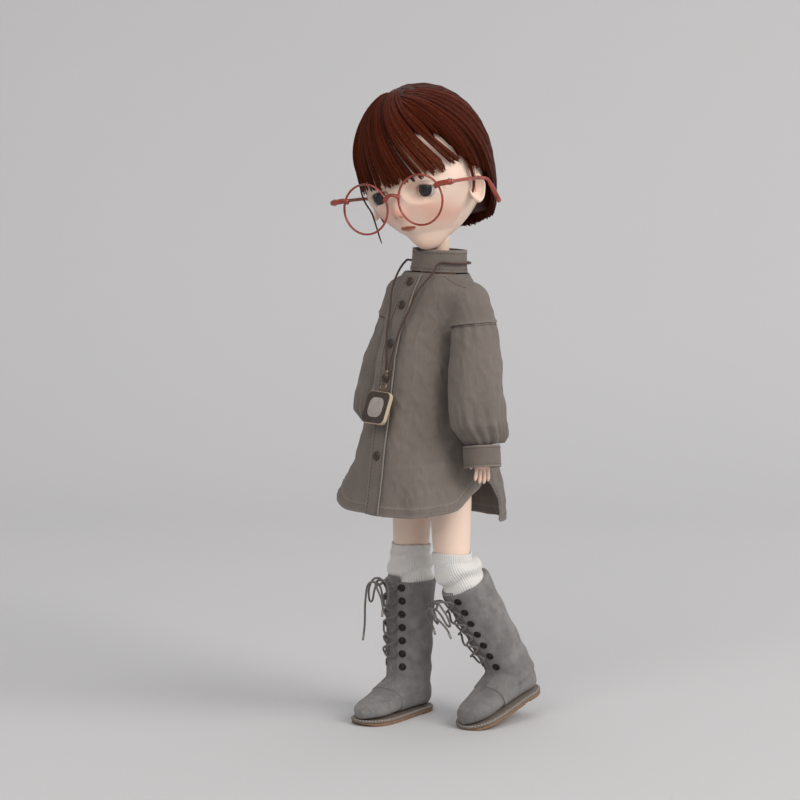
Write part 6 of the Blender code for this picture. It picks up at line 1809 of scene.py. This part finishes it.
def boot_form(side, shin_in_foot):
    """One smooth solid of foot and shaft, in the foot's frame."""
    form = add_object(side + "_boot_form", surface("form", boot_rings(), caps=True, flip=True))
    shaft = surface("shaft", shaft_rings(), caps=True)
    shaft.transform(shin_in_foot)
    cut_away(form, shaft, "UNION")
    modified(form, "REMESH", mode="VOXEL", voxel_size=0.62 * MM, use_smooth_shade=True)
    baked(form)
    modified(form, "CORRECTIVE_SMOOTH", iterations=9, smooth_type="LENGTH_WEIGHTED",
        use_only_smooth=True)
    baked(form)
    return form


def lace_route(shin):
    """The lace's route, repeated from the part, from one free end to the other."""
    out = LACE * 1.6
    rows = []
    for row in range(EYELET_ROWS - 1):
        rise = SHAFT_HEIGHT * (0.93 - 0.13 * row)
        rows.append((rise - SHIN_LENGTH, SHAFT_RADIUS * (0.97 + 0.05 * rise / SHAFT_HEIGHT) + out))

    def eyelet(row, sign):
        height, reach = rows[row]
        x = sign * THROAT_HALF * 1.35
        return Vector((x, -math.sqrt(reach ** 2 - x ** 2), height))

    def crossing(row, extra):
        return Vector((0, -(rows[row][1] + rows[row + 1][1]) / 2 - extra,
            (rows[row][0] + rows[row + 1][0]) / 2))

    knot = Vector((0, -rows[0][1] - LACE * 5, rows[0][0] + LACE * 3))
    down, up = [eyelet(0, -1)], [eyelet(0, 1)]
    for row in range(len(rows) - 1):
        sign = 1 if row % 2 == 0 else -1
        down += [crossing(row, 0), eyelet(row + 1, sign)]
        up += [crossing(row, LACE * 2.8), eyelet(row + 1, -sign)]
    lacing = down + [(down[-1] + up[-1]) / 2 + Vector((0, -LACE, -LACE * 3))] + up[::-1]
    size = LACE * 2.6
    loops, ends = {}, {}
    for sign in (-1, 1):
        loops[sign] = [knot + Vector(step) * size for step in ((sign * 0.9, -0.2, 0.9),
            (sign * 2.6, -0.9, 0.4), (sign * 3.8, -1.2, -2.2), (sign * 3.2, -1.4, -4.8),
            (sign * 2.0, -1.5, -4.6), (sign * 1.5, -1.4, -2.2), (sign * 0.8, -1.5, -0.5))]
        long = 1.6 if (shin == "right_shin" and sign == -1) else 0.8
        ends[sign] = [knot + Vector(step) * size for step in ((sign * 0.5, -2.4, 0.4),
            (sign * 1.8, -3.2, -0.6), (sign * 3.0, -2.9, -3.5 * long),
            (sign * 3.4, -2.6, -6.5 * long), (sign * 3.6, -2.9, -9 * long))]
    route = ends[-1][::-1] + loops[-1][::-1] + lacing + loops[1] + ends[1]
    return [SPOTS[shin] @ point for point in smooth_route(route, LACE * 1.6)], knot, rows


def make_laces(side, looks):
    points, knot, rows = lace_route(side + "_shin")
    lace = sweep("lace", points, LACE * 0.66, 10)
    thing = dress_piece(side + "_lace_cord", lace, looks["lace"], None, side + "_laces")
    bend_at_ankle(thing, side)
    length = sum((b - a).length for a, b in zip(points, points[1:]))
    tips = []
    for start, after in ((points[0], points[4]), (points[-1], points[-5])):
        way = (after - start).normalized()
        tips.append(sweep("tip", [start - way * 0.2 * MM, start + way * 1 * MM,
            start + way * 2.6 * MM], LACE * 0.72, 12))
    bend_at_ankle(dress_piece(side + "_lace_tips", joined("tips", tips), looks["lace_tip"], None),
        side)
    size = LACE * 2.6
    wrap = [SPOTS[side + "_shin"] @ (knot + Vector((0.95 * size * math.cos(angle),
        -size * 1.1 + 1.2 * size * 0.8 * math.sin(angle) * 0.6,
        0.55 * size * math.sin(angle) + 0.2 * size))) for angle in
        np.linspace(0, 2 * math.pi * 39 / 40, 40)]
    bend_at_ankle(dress_piece(side + "_lace_knot", sweep("knot", wrap, LACE * 0.8, 10,
        closed=True), looks["lace"], None), side)
    return rows


def make_eyelets(side, looks, rows):
    """Rolled brass rings up both sides of the throat, standing on the suede."""
    rings, holes = [], []
    surface_thing = bpy.data.objects[side + "_upper_suede"]
    tree = BVHTree.FromObject(surface_thing, bpy.context.evaluated_depsgraph_get())
    for row in range(EYELET_ROWS):
        height = (SHAFT_HEIGHT * (0.93 - 0.13 * row) - SHIN_LENGTH)
        for sign in (-1, 1):
            aim = SPOTS[side + "_shin"] @ Vector((sign * THROAT_HALF * 1.78, -30 * MM, height))
            way = (SPOTS[side + "_shin"].to_3x3() @ Vector((0, 1, 0))).normalized()
            place, normal, index, far = tree.ray_cast(aim, way)
            if place is None:
                continue
            outline = [(1.3 * MM + 0.5 * MM * math.cos(2 * math.pi * step / 12),
                0.05 * MM + 0.34 * MM * math.sin(2 * math.pi * step / 12)) for step in range(12)]
            ring = lathe("eyelet", outline, 24, loop=True)
            turned = Vector((0, 0, 1)).rotation_difference(normal).to_matrix().to_4x4()
            rings.append(moved(ring, Matrix.Translation(place) @ turned))
            # a dark disc of painted shade stands in for the hole through the eyelet
            hole = lathe("hole", [(0, 0.0), (1.0 * MM, 0.0), (1.0 * MM, 0.04 * MM),
                (0, 0.04 * MM)], 20)
            holes.append(moved(hole, Matrix.Translation(place + normal * 0.02 * MM) @ turned))
    bend_at_ankle(dress_piece(side + "_eyelets", joined("eyelets", rings), looks["eyelet"], None),
        side)
    bend_at_ankle(dress_piece(side + "_eyelet_holes", joined("holes", holes),
        looks["dark"], None), side)


def make_boot(side, sign, looks):
    foot, shin = SPOTS[side + "_foot"], SPOTS[side + "_shin"]
    into = foot.inverted() @ shin
    form = boot_form(side, into)
    whole = form.data.copy()
    inner = form.data.copy()
    for corner, twin in zip(inner.vertices, form.data.vertices):
        corner.co = twin.co - twin.normal * 0.95 * MM
    far = 80 * MM
    base = SOLE_THICKNESS - ANKLE_HEIGHT
    thin = form.data.copy()
    for corner, twin in zip(thin.vertices, form.data.vertices):
        corner.co = twin.co - twin.normal * 0.5 * MM

    def leather(name, start, look, wear, *nodes):
        piece = add_object(name, start.copy())
        cut_away(piece, inner.copy())
        return piece

    # The upper reaches over the vamp at its lower front corners
    upper = leather(side + "_upper_suede", whole, looks["suede"], None)
    top = block((-far, -far, 0), (far, far, far))
    top.transform(Matrix.Translation((into @ Vector((0, 0, SHAFT_HEIGHT - SHIN_LENGTH - 1.2 *
        MM)))))
    cut_away(upper, top)
    half = THROAT_HALF
    opening = block((-half, -far, -SHIN_LENGTH - 1 * MM), (half, 0, far))
    opening.transform(into)
    cut_away(upper, opening)
    slope = block((-far, -far, -far), (far, 0, far))
    slope.transform(Matrix.Translation((0, VAMP_LINE + 1.5 * MM, base)) @
        Matrix.Rotation(17 * DEG, 4, "X"))
    cut_away(upper, slope)
    vamp = leather(side + "_vamp_suede", thin, looks["suede"], None)
    behind = block((-far, -1.2 * MM, -far), (far, far, far))
    cut_away(vamp, behind)
    above = block((-far, -far, 0), (far, far, far))
    above.transform(Matrix.Translation((0, 0, 3.4 * MM)))
    cut_away(vamp, above)
    rows = []
    for step in range(40):
        rise = (1 + (SHAFT_HEIGHT / MM + 0.2) * step / 39) * MM
        bulge = blend_table(((0, 0.95), (17, 0.96), (34, 1), (49, 1.03)), rise / MM)[0]
        deep = SHAFT_RADIUS * bulge - 1.1 * MM
        rows.append([Vector((x, -math.sqrt(deep * deep - x * x), rise - SHIN_LENGTH)) for x in
            np.linspace(-half - 1.1 * MM, half + 1.1 * MM, 24)])
    tongue = add_object(side + "_tongue_suede", surface("tongue", rows, wrap=False))
    thickened(tongue, 0.45 * MM, 0)
    baked(tongue)
    tongue.data.transform(into)
    for piece, node in ((upper, "_upper"), (vamp, "_vamp"), (tongue, "_tongue")):
        mesh = piece.data
        mesh.transform(foot)
        mesh.shade_smooth()
        worn_edges(mesh, lambda place, normal: 0.0)
        mesh.materials.clear()
        mesh.materials.append(looks["suede"])
        if node == "_vamp":
            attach(piece, side + "_foot")
        else:
            bend_at_ankle(piece, side)
        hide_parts(side + node)
    for tool in (whole, inner, thin):
        bpy.data.meshes.remove(tool)
    bpy.data.objects.remove(form)
    return upper


def make_sole(side, looks):
    """Outsole with its tan edge, the welt, its stitching and the foot form inside."""
    foot = SPOTS[side + "_foot"]
    base = -ANKLE_HEIGHT
    layers = (("outsole", 0.0, 1.55, 0.0, "sole"), ("welt", 1.6, 2.55, 0.25, "welt"))
    for name, low, high, grow, look in layers:
        rows = [sole_outline(grow * MM - 0.25 * MM, base + low * MM),
            sole_outline(grow * MM, base + (low + 0.2) * MM), sole_outline(grow * MM,
            base + (high - 0.25) * MM), sole_outline(grow * MM - 0.3 * MM, base + high * MM)]
        mesh = surface(name, rows, caps=True, flip=False)
        merge(mesh)
        thing = add_object(side + "_" + name, mesh)
        if name == "outsole":
            arch = block((-40 * MM, -2.4 * MM, -1 * MM), (40 * MM, 1.2 * MM, 0.5 * MM))
            arch.transform(Matrix.Translation((0, 0, base)))
            cut_away(thing, arch)
            under = block((-60 * MM, -60 * MM, -60 * MM), (60 * MM, 0, 0))
            toe = Matrix.Translation((0, SOLE_BACK - SOLE_LENGTH + TOE_SPRING, base))
            cut_away(thing, moved(under, toe @ Matrix.Rotation(-TOE_PITCH, 4, "X")))
        thing.data.transform(foot)
        thing.data.materials.clear()
        thing.data.materials.append(looks[look])
        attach(thing, side + "_foot")
        if name == "outsole":
            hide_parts(side + "_sole")
    line = [[foot @ point for point in sole_outline(-0.45 * MM,
        base + 2.62 * MM)]]
    line[0].append(line[0][0])
    stitches(side + "_welt_stitches", line, looks["pale_thread"], side + "_foot", None, 1.5 * MM,
        1.0 * MM, 0.17 * MM)
    dress_piece(side + "_foot_form", surface("foot", boot_rings(-2.6 * MM, 0.9), caps=True,
        flip=True), looks["resin"], side + "_foot", side + "_foot", spot=side + "_foot")


THIGH_REACH = 49 * MM
THIGH_END = 8.95 * MM


def make_sock(side, sign, looks):
    """A ribbed sock that has slipped into soft rolls over the boot."""
    rows = []
    above = SPOTS[side + "_shin"].inverted() @ SPOTS[side + "_thigh"]
    table = ((-0.05, 1.12), (0.01, 1.1), (0.0726, 1.1271), (0.2581, 1.0952), (0.5161, 1.0119),
        (0.871, 0.8214))
    for row in range(120):
        share = row / 119
        height = (3.2 - 57.2 * share) * MM
        follow = smooth_step(2, -7, height / MM)
        wide = blend_table(table, -height / SHIN_LENGTH)[0] * SHIN_RADIUS + 0.75 * MM
        ring = []
        for index in range(280):
            around = 2 * math.pi * index / 280
            roll = 0.75 * math.sin(share * 46 + 1.6 * math.sin(around + sign) + 2.2 *
                curl_noise((math.sin(around), math.cos(around), share * 2), 1.0, 4))
            roll *= smooth_step(0.03, 0.08, share) * (1 - smooth_step(0.32, 0.5, share))
            top = 0.35 * bump_at(share - 0.015, 0.02)
            rib = 0.16 * math.cos(around * 56)
            reach = wide + (roll + top + rib + 0.25) * MM
            level = height + 0.5 * MM * math.sin(around * 2 + sign)
            low = Vector((reach * math.sin(around), -reach * math.cos(around), level))
            reach = THIGH_END + (roll + top + rib) * 0.6 * MM
            high = above @ Vector((reach * math.sin(around), -reach * math.cos(around),
                level - THIGH_REACH))
            ring.append(high.lerp(low, follow))
        rows.append(ring)
    sock = surface("sock", rows, flip=True)
    thing = dress_piece(side + "_sock_knit", sock, looks["knit"], None, side + "_sock",
        spot=side + "_shin")
    thickened(thing, 0.5 * MM)
    baked(thing)
    bend_at(thing, side + "_knee_bend", side + "_shin", 7 * MM)


# Body pieces
def limb(name, table, length, round_count=72, steps=60):
    """A turned, slightly shaped limb from (share, width, depth) rows, top first."""
    rows = []
    for step in range(steps):
        share = step / (steps - 1)
        wide, deep, forward = blend_smooth(table, share)
        rows.append([Vector((wide * math.sin(2 * math.pi * index / round_count),
            -deep * math.cos(2 * math.pi * index / round_count) + forward, -length * share / MM)) *
            MM for index in range(round_count)])
    return surface(name, rows[::-1], caps=True)


def blend_smooth(table, at):
    """Like blend_table, with the corners of the rows rounded off."""
    near = [blend_table(table, at + shift) for shift in (-0.04, -0.02, 0, 0.02, 0.04)]
    return [sum(values) / len(values) for values in zip(*near)]


def make_legs(looks):
    for side, sign in SIDES:
        thigh = limb("thigh", ((0, 6.5, 6.5, 0), (0.08, 8.6, 8.6, 0), (0.2, 9.5, 9.6, 0),
            (0.5, 9.4, 9.6, -0.2), (0.75, 8.8, 9.0, -0.3), (0.9, 8.5, 8.6, -0.2),
            (1, 8.2, 8.2, 0)), THIGH_REACH - 0.6 * MM)
        dress_piece(side + "_thigh_skin", thigh, looks["skin"], side + "_thigh", side + "_thigh",
            spot=side + "_thigh")


def finger(radius, length, bend):
    """A tapered finger with a soft nail end and a slight curl."""
    points = [Vector((bend * (step / 11) ** 2 * length, 0, -length * step / 11)) for step in
        range(12)]
    mesh = sweep("finger", points, radius, 16, taper=lambda share: (1.02 - 0.22 * share) *
        math.sqrt(max(0.02, 1 - max(0, (share - 0.8) / 0.2) ** 2)) *
        (1 - 0.05 * math.cos(share * 12)))
    return mesh


def make_hands(looks):
    for side, sign in SIDES:
        palm_rows = []
        table = ((0, 2.6, 2.6), (0.12, 2.5, 2.7), (0.25, 2.2, 3.4), (0.45, 2.3, 4.1),
            (0.68, 2.1, 4.2), (0.9, 1.7, 3.9), (1, 1.2, 3.4))
        for step in range(40):
            share = step / 39
            deep, wide = blend_table(table, share)
            palm_rows.append([Vector(((deep * math.sin(2 * math.pi * index / 40)),
                -wide * math.cos(2 * math.pi * index / 40), 2.4 - 14.6 * share)) * MM for index in
                range(40)])
        hand = add_object(side + "_hand_skin", surface("palm", palm_rows[::-1], caps=True))
        for index, length in enumerate((7.0, 8.2, 8.4, 7.2)):
            shape = finger((1.0 + 0.08 * (index > 0)) * MM, (length + 2) * MM, -sign * 0.12)
            merge(shape)
            stand = (Matrix.Translation(Vector((0, (index - 1.5) * 2.15, -9.6)) * MM) @
                Matrix.Rotation((index - 1.5) * 3.4 * DEG, 4, "X"))
            cut_away(hand, moved(shape, stand), "UNION")
        thumb = finger(1.15 * MM, 8.6 * MM, -sign * 0.1)
        merge(thumb)
        stand = (Matrix.Translation(Vector((-sign * 0.9, -3.0, -5.0)) * MM) @
            Matrix.Rotation(-20 * DEG, 4, "X"))
        cut_away(hand, moved(thumb, stand), "UNION")
        modified(hand, "REMESH", mode="VOXEL", voxel_size=0.3 * MM, use_smooth_shade=True)
        baked(hand)
        modified(hand, "CORRECTIVE_SMOOTH", iterations=7, smooth_type="LENGTH_WEIGHTED",
            use_only_smooth=True)
        baked(hand)
        place_in(hand, side + "_wrist")
        hand.data.shade_smooth()
        for name, value in (("blush", 0.25), ("lips", 0.0), ("shade", 0.0)):
            paint(hand.data, name, [value] * len(hand.data.vertices))
        hand.data.materials.clear()
        hand.data.materials.append(looks["skin"])
        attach(hand, side + "_hand")
        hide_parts(side + "_hand")


def make_neck(looks):
    outline = [(0.1, -4.2), (4.0, -4.2), (4.9, -2.5), (5.0, 0), (4.9, 3), (4.75, 6.5), (4.8, 10),
        (5.0, 13), (4.4, 15.5), (0.1, 17.2)]
    fine = [(blend_table([(height, radius) for radius, height in outline], level)[0] * MM,
        level * MM) for level in np.linspace(-4.2, 17.2, 50)]
    neck = lathe("neck", [(0, -4.2 * MM)] + fine + [(0, 17.2 * MM)], 72)
    dress_piece("neck_skin", neck, looks["skin"], "neck", "neck", spot="neck")


def make_elastics(looks):
    """Stringing elastic in lengths from joint to joint, so that each follows its limb."""
    def run(name, body, node, spot, *points):
        route = [SPOTS[spot].inverted() @ Vector(point) for point in points]
        dress_piece(name, sweep(name, smooth_route(route, 2 * MM), 0.6 * MM, 10), looks["elastic"],
            body, node, spot=spot)

    neck, twist = joint_place("neck_bend"), joint_place("chest_twist")
    waist = joint_place("waist_bend")
    run("neck_elastic", "neck", "body_elastic", "neck", neck, joint_place("head_tilt"))
    run("chest_elastic", "chest", "body_elastic", "chest", twist, neck)
    run("waist_elastic", "abdomen", "body_elastic", "chest", waist, twist)
    arms = [joint_place(side + "_shoulder_raise") for side, sign in SIDES]
    run("shoulder_elastic", "chest", "arm_elastic", "chest", *arms)
    for side, sign in SIDES:
        hip, knee = joint_place(side + "_thigh_spread"), joint_place(side + "_knee_bend")
        elbow = joint_place(side + "_elbow_bend")
        run(side + "_hip_elastic", "pelvis", "body_elastic", "chest", hip, waist)
        run(side + "_thigh_elastic", side + "_thigh", "body_elastic", side + "_thigh", hip, knee)
        run(side + "_shin_elastic", side + "_shin", "body_elastic", side + "_shin", knee,
            joint_place(side + "_ankle_bend"))
        run(side + "_arm_elastic", side + "_upper_arm", "arm_elastic", side + "_upper_arm",
            joint_place(side + "_shoulder_raise"), elbow)
        run(side + "_wrist_elastic", side + "_forearm", "arm_elastic", side + "_forearm", elbow,
            joint_place(side + "_wrist_bend"))


def finish_hidden(looks):
    """Finishes the CAD pieces that stay: joints, elastic, hooks and limbs."""
    finish = {"elastic": "elastic", "hook": "steel", "ball": "resin", "shin": "skin",
        "forearm": "skin", "upper_arm": "skin", "pelvis": "resin", "abdomen": "resin",
        "chest": "resin"}
    for node in frame["nodes"]:
        name = node["name"] if isinstance(node, dict) else node
        thing = bpy.data.objects.get(name)
        if thing is None or thing.type != "MESH":
            continue
        look = next((finish[key] for key in finish if key in name), "resin")
        if not thing.material_slots:
            thing.data.materials.append(looks[look])
        for slot in thing.material_slots:
            slot.material = looks[look]


# Stage
PHOTO_AZIMUTH = 55.6
PHOTO_ELEVATION = 7.8
PHOTO_DISTANCE = 1.3
PHOTO_LENS = 126.4


def make_camera(settings):
    data = bpy.data.cameras.new("photo_camera")
    data.lens = PHOTO_LENS
    data.sensor_width = 36
    data.sensor_fit = "HORIZONTAL"
    data.shift_x = -0.0416
    data.shift_y = 0.0161
    data.clip_start = 0.01
    camera = bpy.data.objects.new("photo_camera", data)
    bpy.context.scene.collection.objects.link(camera)
    azimuth, rise = PHOTO_AZIMUTH * DEG, PHOTO_ELEVATION * DEG
    way = Vector((math.sin(azimuth) * math.cos(rise), -math.cos(azimuth) * math.cos(rise),
        math.sin(rise)))
    camera.location = Vector((0.0148, 0.0130, 0.145)) + way * PHOTO_DISTANCE
    camera.rotation_euler = (-way).to_track_quat("-Z", "Y").to_euler()
    bpy.context.scene.camera = camera


def make_lamp(name, place, aim, size, power, tint="#FFFFFF"):
    data = bpy.data.lights.new(name, "AREA")
    data.shape = "RECTANGLE"
    data.size, data.size_y = size
    data.energy = power
    data.color = linear(tint)
    lamp = bpy.data.objects.new(name, data)
    lamp.location = place
    lamp.rotation_euler = (Vector(aim) - Vector(place)).to_track_quat("-Z", "Y").to_euler()
    bpy.context.scene.collection.objects.link(lamp)


def make_stage(settings):
    """A seamless pale sweep: floor that curves up into the backdrop."""
    profile = [(-3.0, 0.0), (0.55, 0.0)]
    for step in range(1, 17):
        angle = math.pi / 2 * step / 16
        profile.append((0.55 + 0.5 * math.sin(angle), 0.5 - 0.5 * math.cos(angle)))
    profile.append((1.05, 3.2))
    turned = Matrix.Rotation(PHOTO_AZIMUTH * DEG, 4, "Z")
    rows = [[turned @ Vector((x, y, z)) for x in (-3.5, 3.5)] for y, z in profile]
    sweep_mesh = surface("backdrop", rows, wrap=False)
    backdrop = add_object("backdrop", sweep_mesh)
    backdrop.data.materials.append(paper_look(settings.floor))
    make_lamp("soft_window", (1.55, 0.75, 1.25), (0, 0, 0.16), (1.3, 1.3), 30.0, "#FFFCF8")
    make_lamp("soft_front", (0.9, -1.5, 1.4), (0, 0, 0.14), (1.5, 1.2), 15.0, "#FFFBF7")
    make_lamp("soft_top", (-0.5, 0.5, 1.9), (0, 0, 0.1), (1.8, 1.8), 10.0)
    world = bpy.data.worlds.new("studio")
    world.use_nodes = True
    world.node_tree.nodes["Background"].inputs["Color"].default_value = (*linear("#E6E6E8"), 1)
    world.node_tree.nodes["Background"].inputs["Strength"].default_value = 0.5
    bpy.context.scene.world = world
    bpy.context.scene.view_settings.view_transform = "Standard"


# Finishes by name
LOOKS = {}


def mix_looks(settings):
    """Makes every material once, from the colours in the sidebar."""
    if LOOKS:
        return LOOKS
    LOOKS.update(skin=skin_look(settings.skin, 0.6), resin=resin_look(),
        hair=hair_look(settings.hair_dark, settings.hair_light),
        acetate=acetate_look(settings.frame_tint), lens=lens_look(),
        chrome=metal_look("bright hinge steel", "#C9C7C4", 0.22),
        steel=metal_look("hook steel", "#A9A7A4", 0.35), brass=metal_look("antique brass",
        "#8A7A62", 0.38), eyelet=metal_look("blackened brass", "#3B3733", 0.4),
        linen=linen_look(settings.linen), thread=yarn_look("dark topstitch thread", "#3B2F29",
        "#5A4A40"), pale_thread=yarn_look("pale welt thread", "#D9D2C8", "#A79C8E"),
        twine=yarn_look("waxed necklace cord", "#4A342A", "#2B1D17"),
        lace=yarn_look("cotton boot lace", "#6F6B69", "#4C4947"),
        lace_tip=plastic_look("clear lace tip", "#8C8783"), elastic=yarn_look("stringing elastic",
        "#D8D4CB", "#B8B2A6"), button=plastic_look("brown shirt button", "#3A2C25", 0.32),
        dark=plastic_look("shadowed hole", "#15110F", 0.6), card=leather_look("beige card",
        "#B9A58C", "#CBBBA6", 0.5, 0.8), dark_card=leather_look("dark tag board", "#3D332D",
        "#5A4C42", 0.5, 0.5), tag_stone=leather_look("pale tag inset", "#9F9690", "#B8B0AA", 0.9,
        0.6), suede=suede_look(settings.suede), knit=knit_look("#DAD7D4"),
        sole=sole_look("#8A6A4C"), welt=leather_look("stitched welt", "#6E655E", "#8C8279", 0.5,
        0.7), rubber=rubber_look(), eye=eye_look())
    return LOOKS


# Settings, operators and panel
def colour(name, text, value):
    return FloatVectorProperty(name=name, description=text, subtype="COLOR", size=3, min=0, max=1,
        default=linear(value))


class DollBody(bpy.types.PropertyGroup):
    skin: colour("Skin", "Colour of the painted resin skin", "#EDD2C0")
    frame_tint: colour("Glasses tint", "Colour of the clear glasses frame", "#A23A26")


class DollWig(bpy.types.PropertyGroup):
    hair_dark: colour("Dark hair", "Colour of most of the wig's fibres", "#2B0E08")
    hair_light: colour("Light hair", "Colour of the wig's lit fibres", "#632714")
    fibre: FloatProperty(name="Fibre radius", description="Half the width of one strand of hair",
        default=0.22 * MM, min=0.1 * MM, max=0.8 * MM, unit="LENGTH")
    fullness: FloatProperty(name="Fullness", description="Share of the strands that are made",
        default=1.0, min=0.2, max=1.3, subtype="FACTOR")


class DollClothes(bpy.types.PropertyGroup):
    linen: colour("Linen", "Colour of the shirt dress", "#746B64")
    suede: colour("Suede", "Colour of the boots", "#6F6D6C")


class DollStage(bpy.types.PropertyGroup):
    floor: colour("Backdrop", "Colour of the floor and backdrop", "#BFBFC0")


class Settings:
    """All four groups behind one name."""

    def __getattr__(self, name):
        for group in ("doll_body", "doll_wig", "doll_clothes", "doll_stage"):
            found = getattr(bpy.context.scene, group)
            if hasattr(found, name):
                return getattr(found, name)
        raise AttributeError(name)


class DOLL_OT_stage(bpy.types.Operator):
    """Puts up the camera, the lights and the seamless backdrop"""
    bl_idname = "doll.stage"
    bl_label = "Stage"
    bl_options = {"REGISTER", "UNDO"}

    def execute(self, context):
        settings = Settings()
        make_camera(settings)
        make_stage(settings)
        return {"FINISHED"}


class DOLL_OT_necklace(bpy.types.Operator):
    """Makes the necklace cord, its ring and the tag"""
    bl_idname = "doll.necklace"
    bl_label = "Necklace"
    bl_options = {"REGISTER", "UNDO"}

    def execute(self, context):
        settings = Settings()
        looks = mix_looks(settings)
        make_necklace(looks, settings)
        return {"FINISHED"}


class DOLL_OT_boots(bpy.types.Operator):
    """Makes both boots with their laces, eyelets, soles and stitching"""
    bl_idname = "doll.boots"
    bl_label = "Boots"
    bl_options = {"REGISTER", "UNDO"}

    def execute(self, context):
        looks = mix_looks(Settings())
        for side, sign in SIDES:
            rows = make_laces(side, looks)
            make_boot(side, sign, looks)
            make_sole(side, looks)
            make_eyelets(side, looks, rows)
        return {"FINISHED"}


class DOLL_OT_socks(bpy.types.Operator):
    """Makes the ribbed socks"""
    bl_idname = "doll.socks"
    bl_label = "Socks"
    bl_options = {"REGISTER", "UNDO"}

    def execute(self, context):
        looks = mix_looks(Settings())
        for side, sign in SIDES:
            make_sock(side, sign, looks)
        return {"FINISHED"}


class DOLL_OT_head(bpy.types.Operator):
    """Makes the face, ears and eyes"""
    bl_idname = "doll.head"
    bl_label = "Head"
    bl_options = {"REGISTER", "UNDO"}

    def execute(self, context):
        looks = mix_looks(Settings())
        make_head(looks)
        make_neck(looks)
        return {"FINISHED"}


class DOLL_OT_limbs(bpy.types.Operator):
    """Makes the thighs and hands, and finishes the joints that stay"""
    bl_idname = "doll.limbs"
    bl_label = "Limbs"
    bl_options = {"REGISTER", "UNDO"}

    def execute(self, context):
        looks = mix_looks(Settings())
        make_legs(looks)
        make_hands(looks)
        make_elastics(looks)
        finish_hidden(looks)
        return {"FINISHED"}


class DOLL_OT_wig(bpy.types.Operator):
    """Makes the bob wig, its fringe and the locks at the cheeks"""
    bl_idname = "doll.wig"
    bl_label = "Wig"
    bl_options = {"REGISTER", "UNDO"}

    def execute(self, context):
        settings = Settings()
        looks = mix_looks(settings)
        make_wig(looks, settings)
        make_fringe(looks, settings)
        return {"FINISHED"}


class DOLL_OT_glasses(bpy.types.Operator):
    """Makes the round glasses with their lenses and hinges"""
    bl_idname = "doll.glasses"
    bl_label = "Glasses"
    bl_options = {"REGISTER", "UNDO"}

    def execute(self, context):
        looks = mix_looks(Settings())
        make_glasses(looks)
        return {"FINISHED"}


class DOLL_OT_shirt(bpy.types.Operator):
    """Makes the shirt dress with sleeves, cuffs, collar, placket and buttons"""
    bl_idname = "doll.shirt"
    bl_label = "Shirt dress"
    bl_options = {"REGISTER", "UNDO"}

    def execute(self, context):
        looks = mix_looks(Settings())
        make_shirt(looks)
        make_sleeves(looks)
        make_collar(looks)
        make_placket(looks)
        return {"FINISHED"}


STEPS = (DOLL_OT_stage, DOLL_OT_necklace, DOLL_OT_boots, DOLL_OT_socks, DOLL_OT_head,
    DOLL_OT_limbs, DOLL_OT_wig, DOLL_OT_glasses, DOLL_OT_shirt)
GROUPS = (("doll_body", DollBody), ("doll_wig", DollWig), ("doll_clothes", DollClothes),
    ("doll_stage", DollStage))


class DOLL_PT_panel(bpy.types.Panel):
    """Sizes and colours, then one button for each group of pieces"""
    bl_label = "Ball Jointed Doll"
    bl_idname = "DOLL_PT_panel"
    bl_space_type = "VIEW_3D"
    bl_region_type = "UI"
    bl_category = "Doll"

    def draw(self, context):
        for name, group in GROUPS:
            box = self.layout.box()
            for key in group.__annotations__:
                box.prop(getattr(context.scene, name), key)
        for step in STEPS:
            self.layout.operator(step.bl_idname)


def register():
    for name, group in GROUPS:
        bpy.utils.register_class(group)
        setattr(bpy.types.Scene, name, PointerProperty(type=group))
    for item in STEPS + (DOLL_PT_panel,):
        bpy.utils.register_class(item)


def unregister():
    for item in (DOLL_PT_panel,) + STEPS[::-1]:
        bpy.utils.unregister_class(item)
    for name, group in GROUPS[::-1]:
        delattr(bpy.types.Scene, name)
        bpy.utils.unregister_class(group)


def main():
    register()
    for step in STEPS:
        group, name = step.bl_idname.split(".")
        getattr(getattr(bpy.ops, group), name)()


if __name__ == "__main__":
    main()
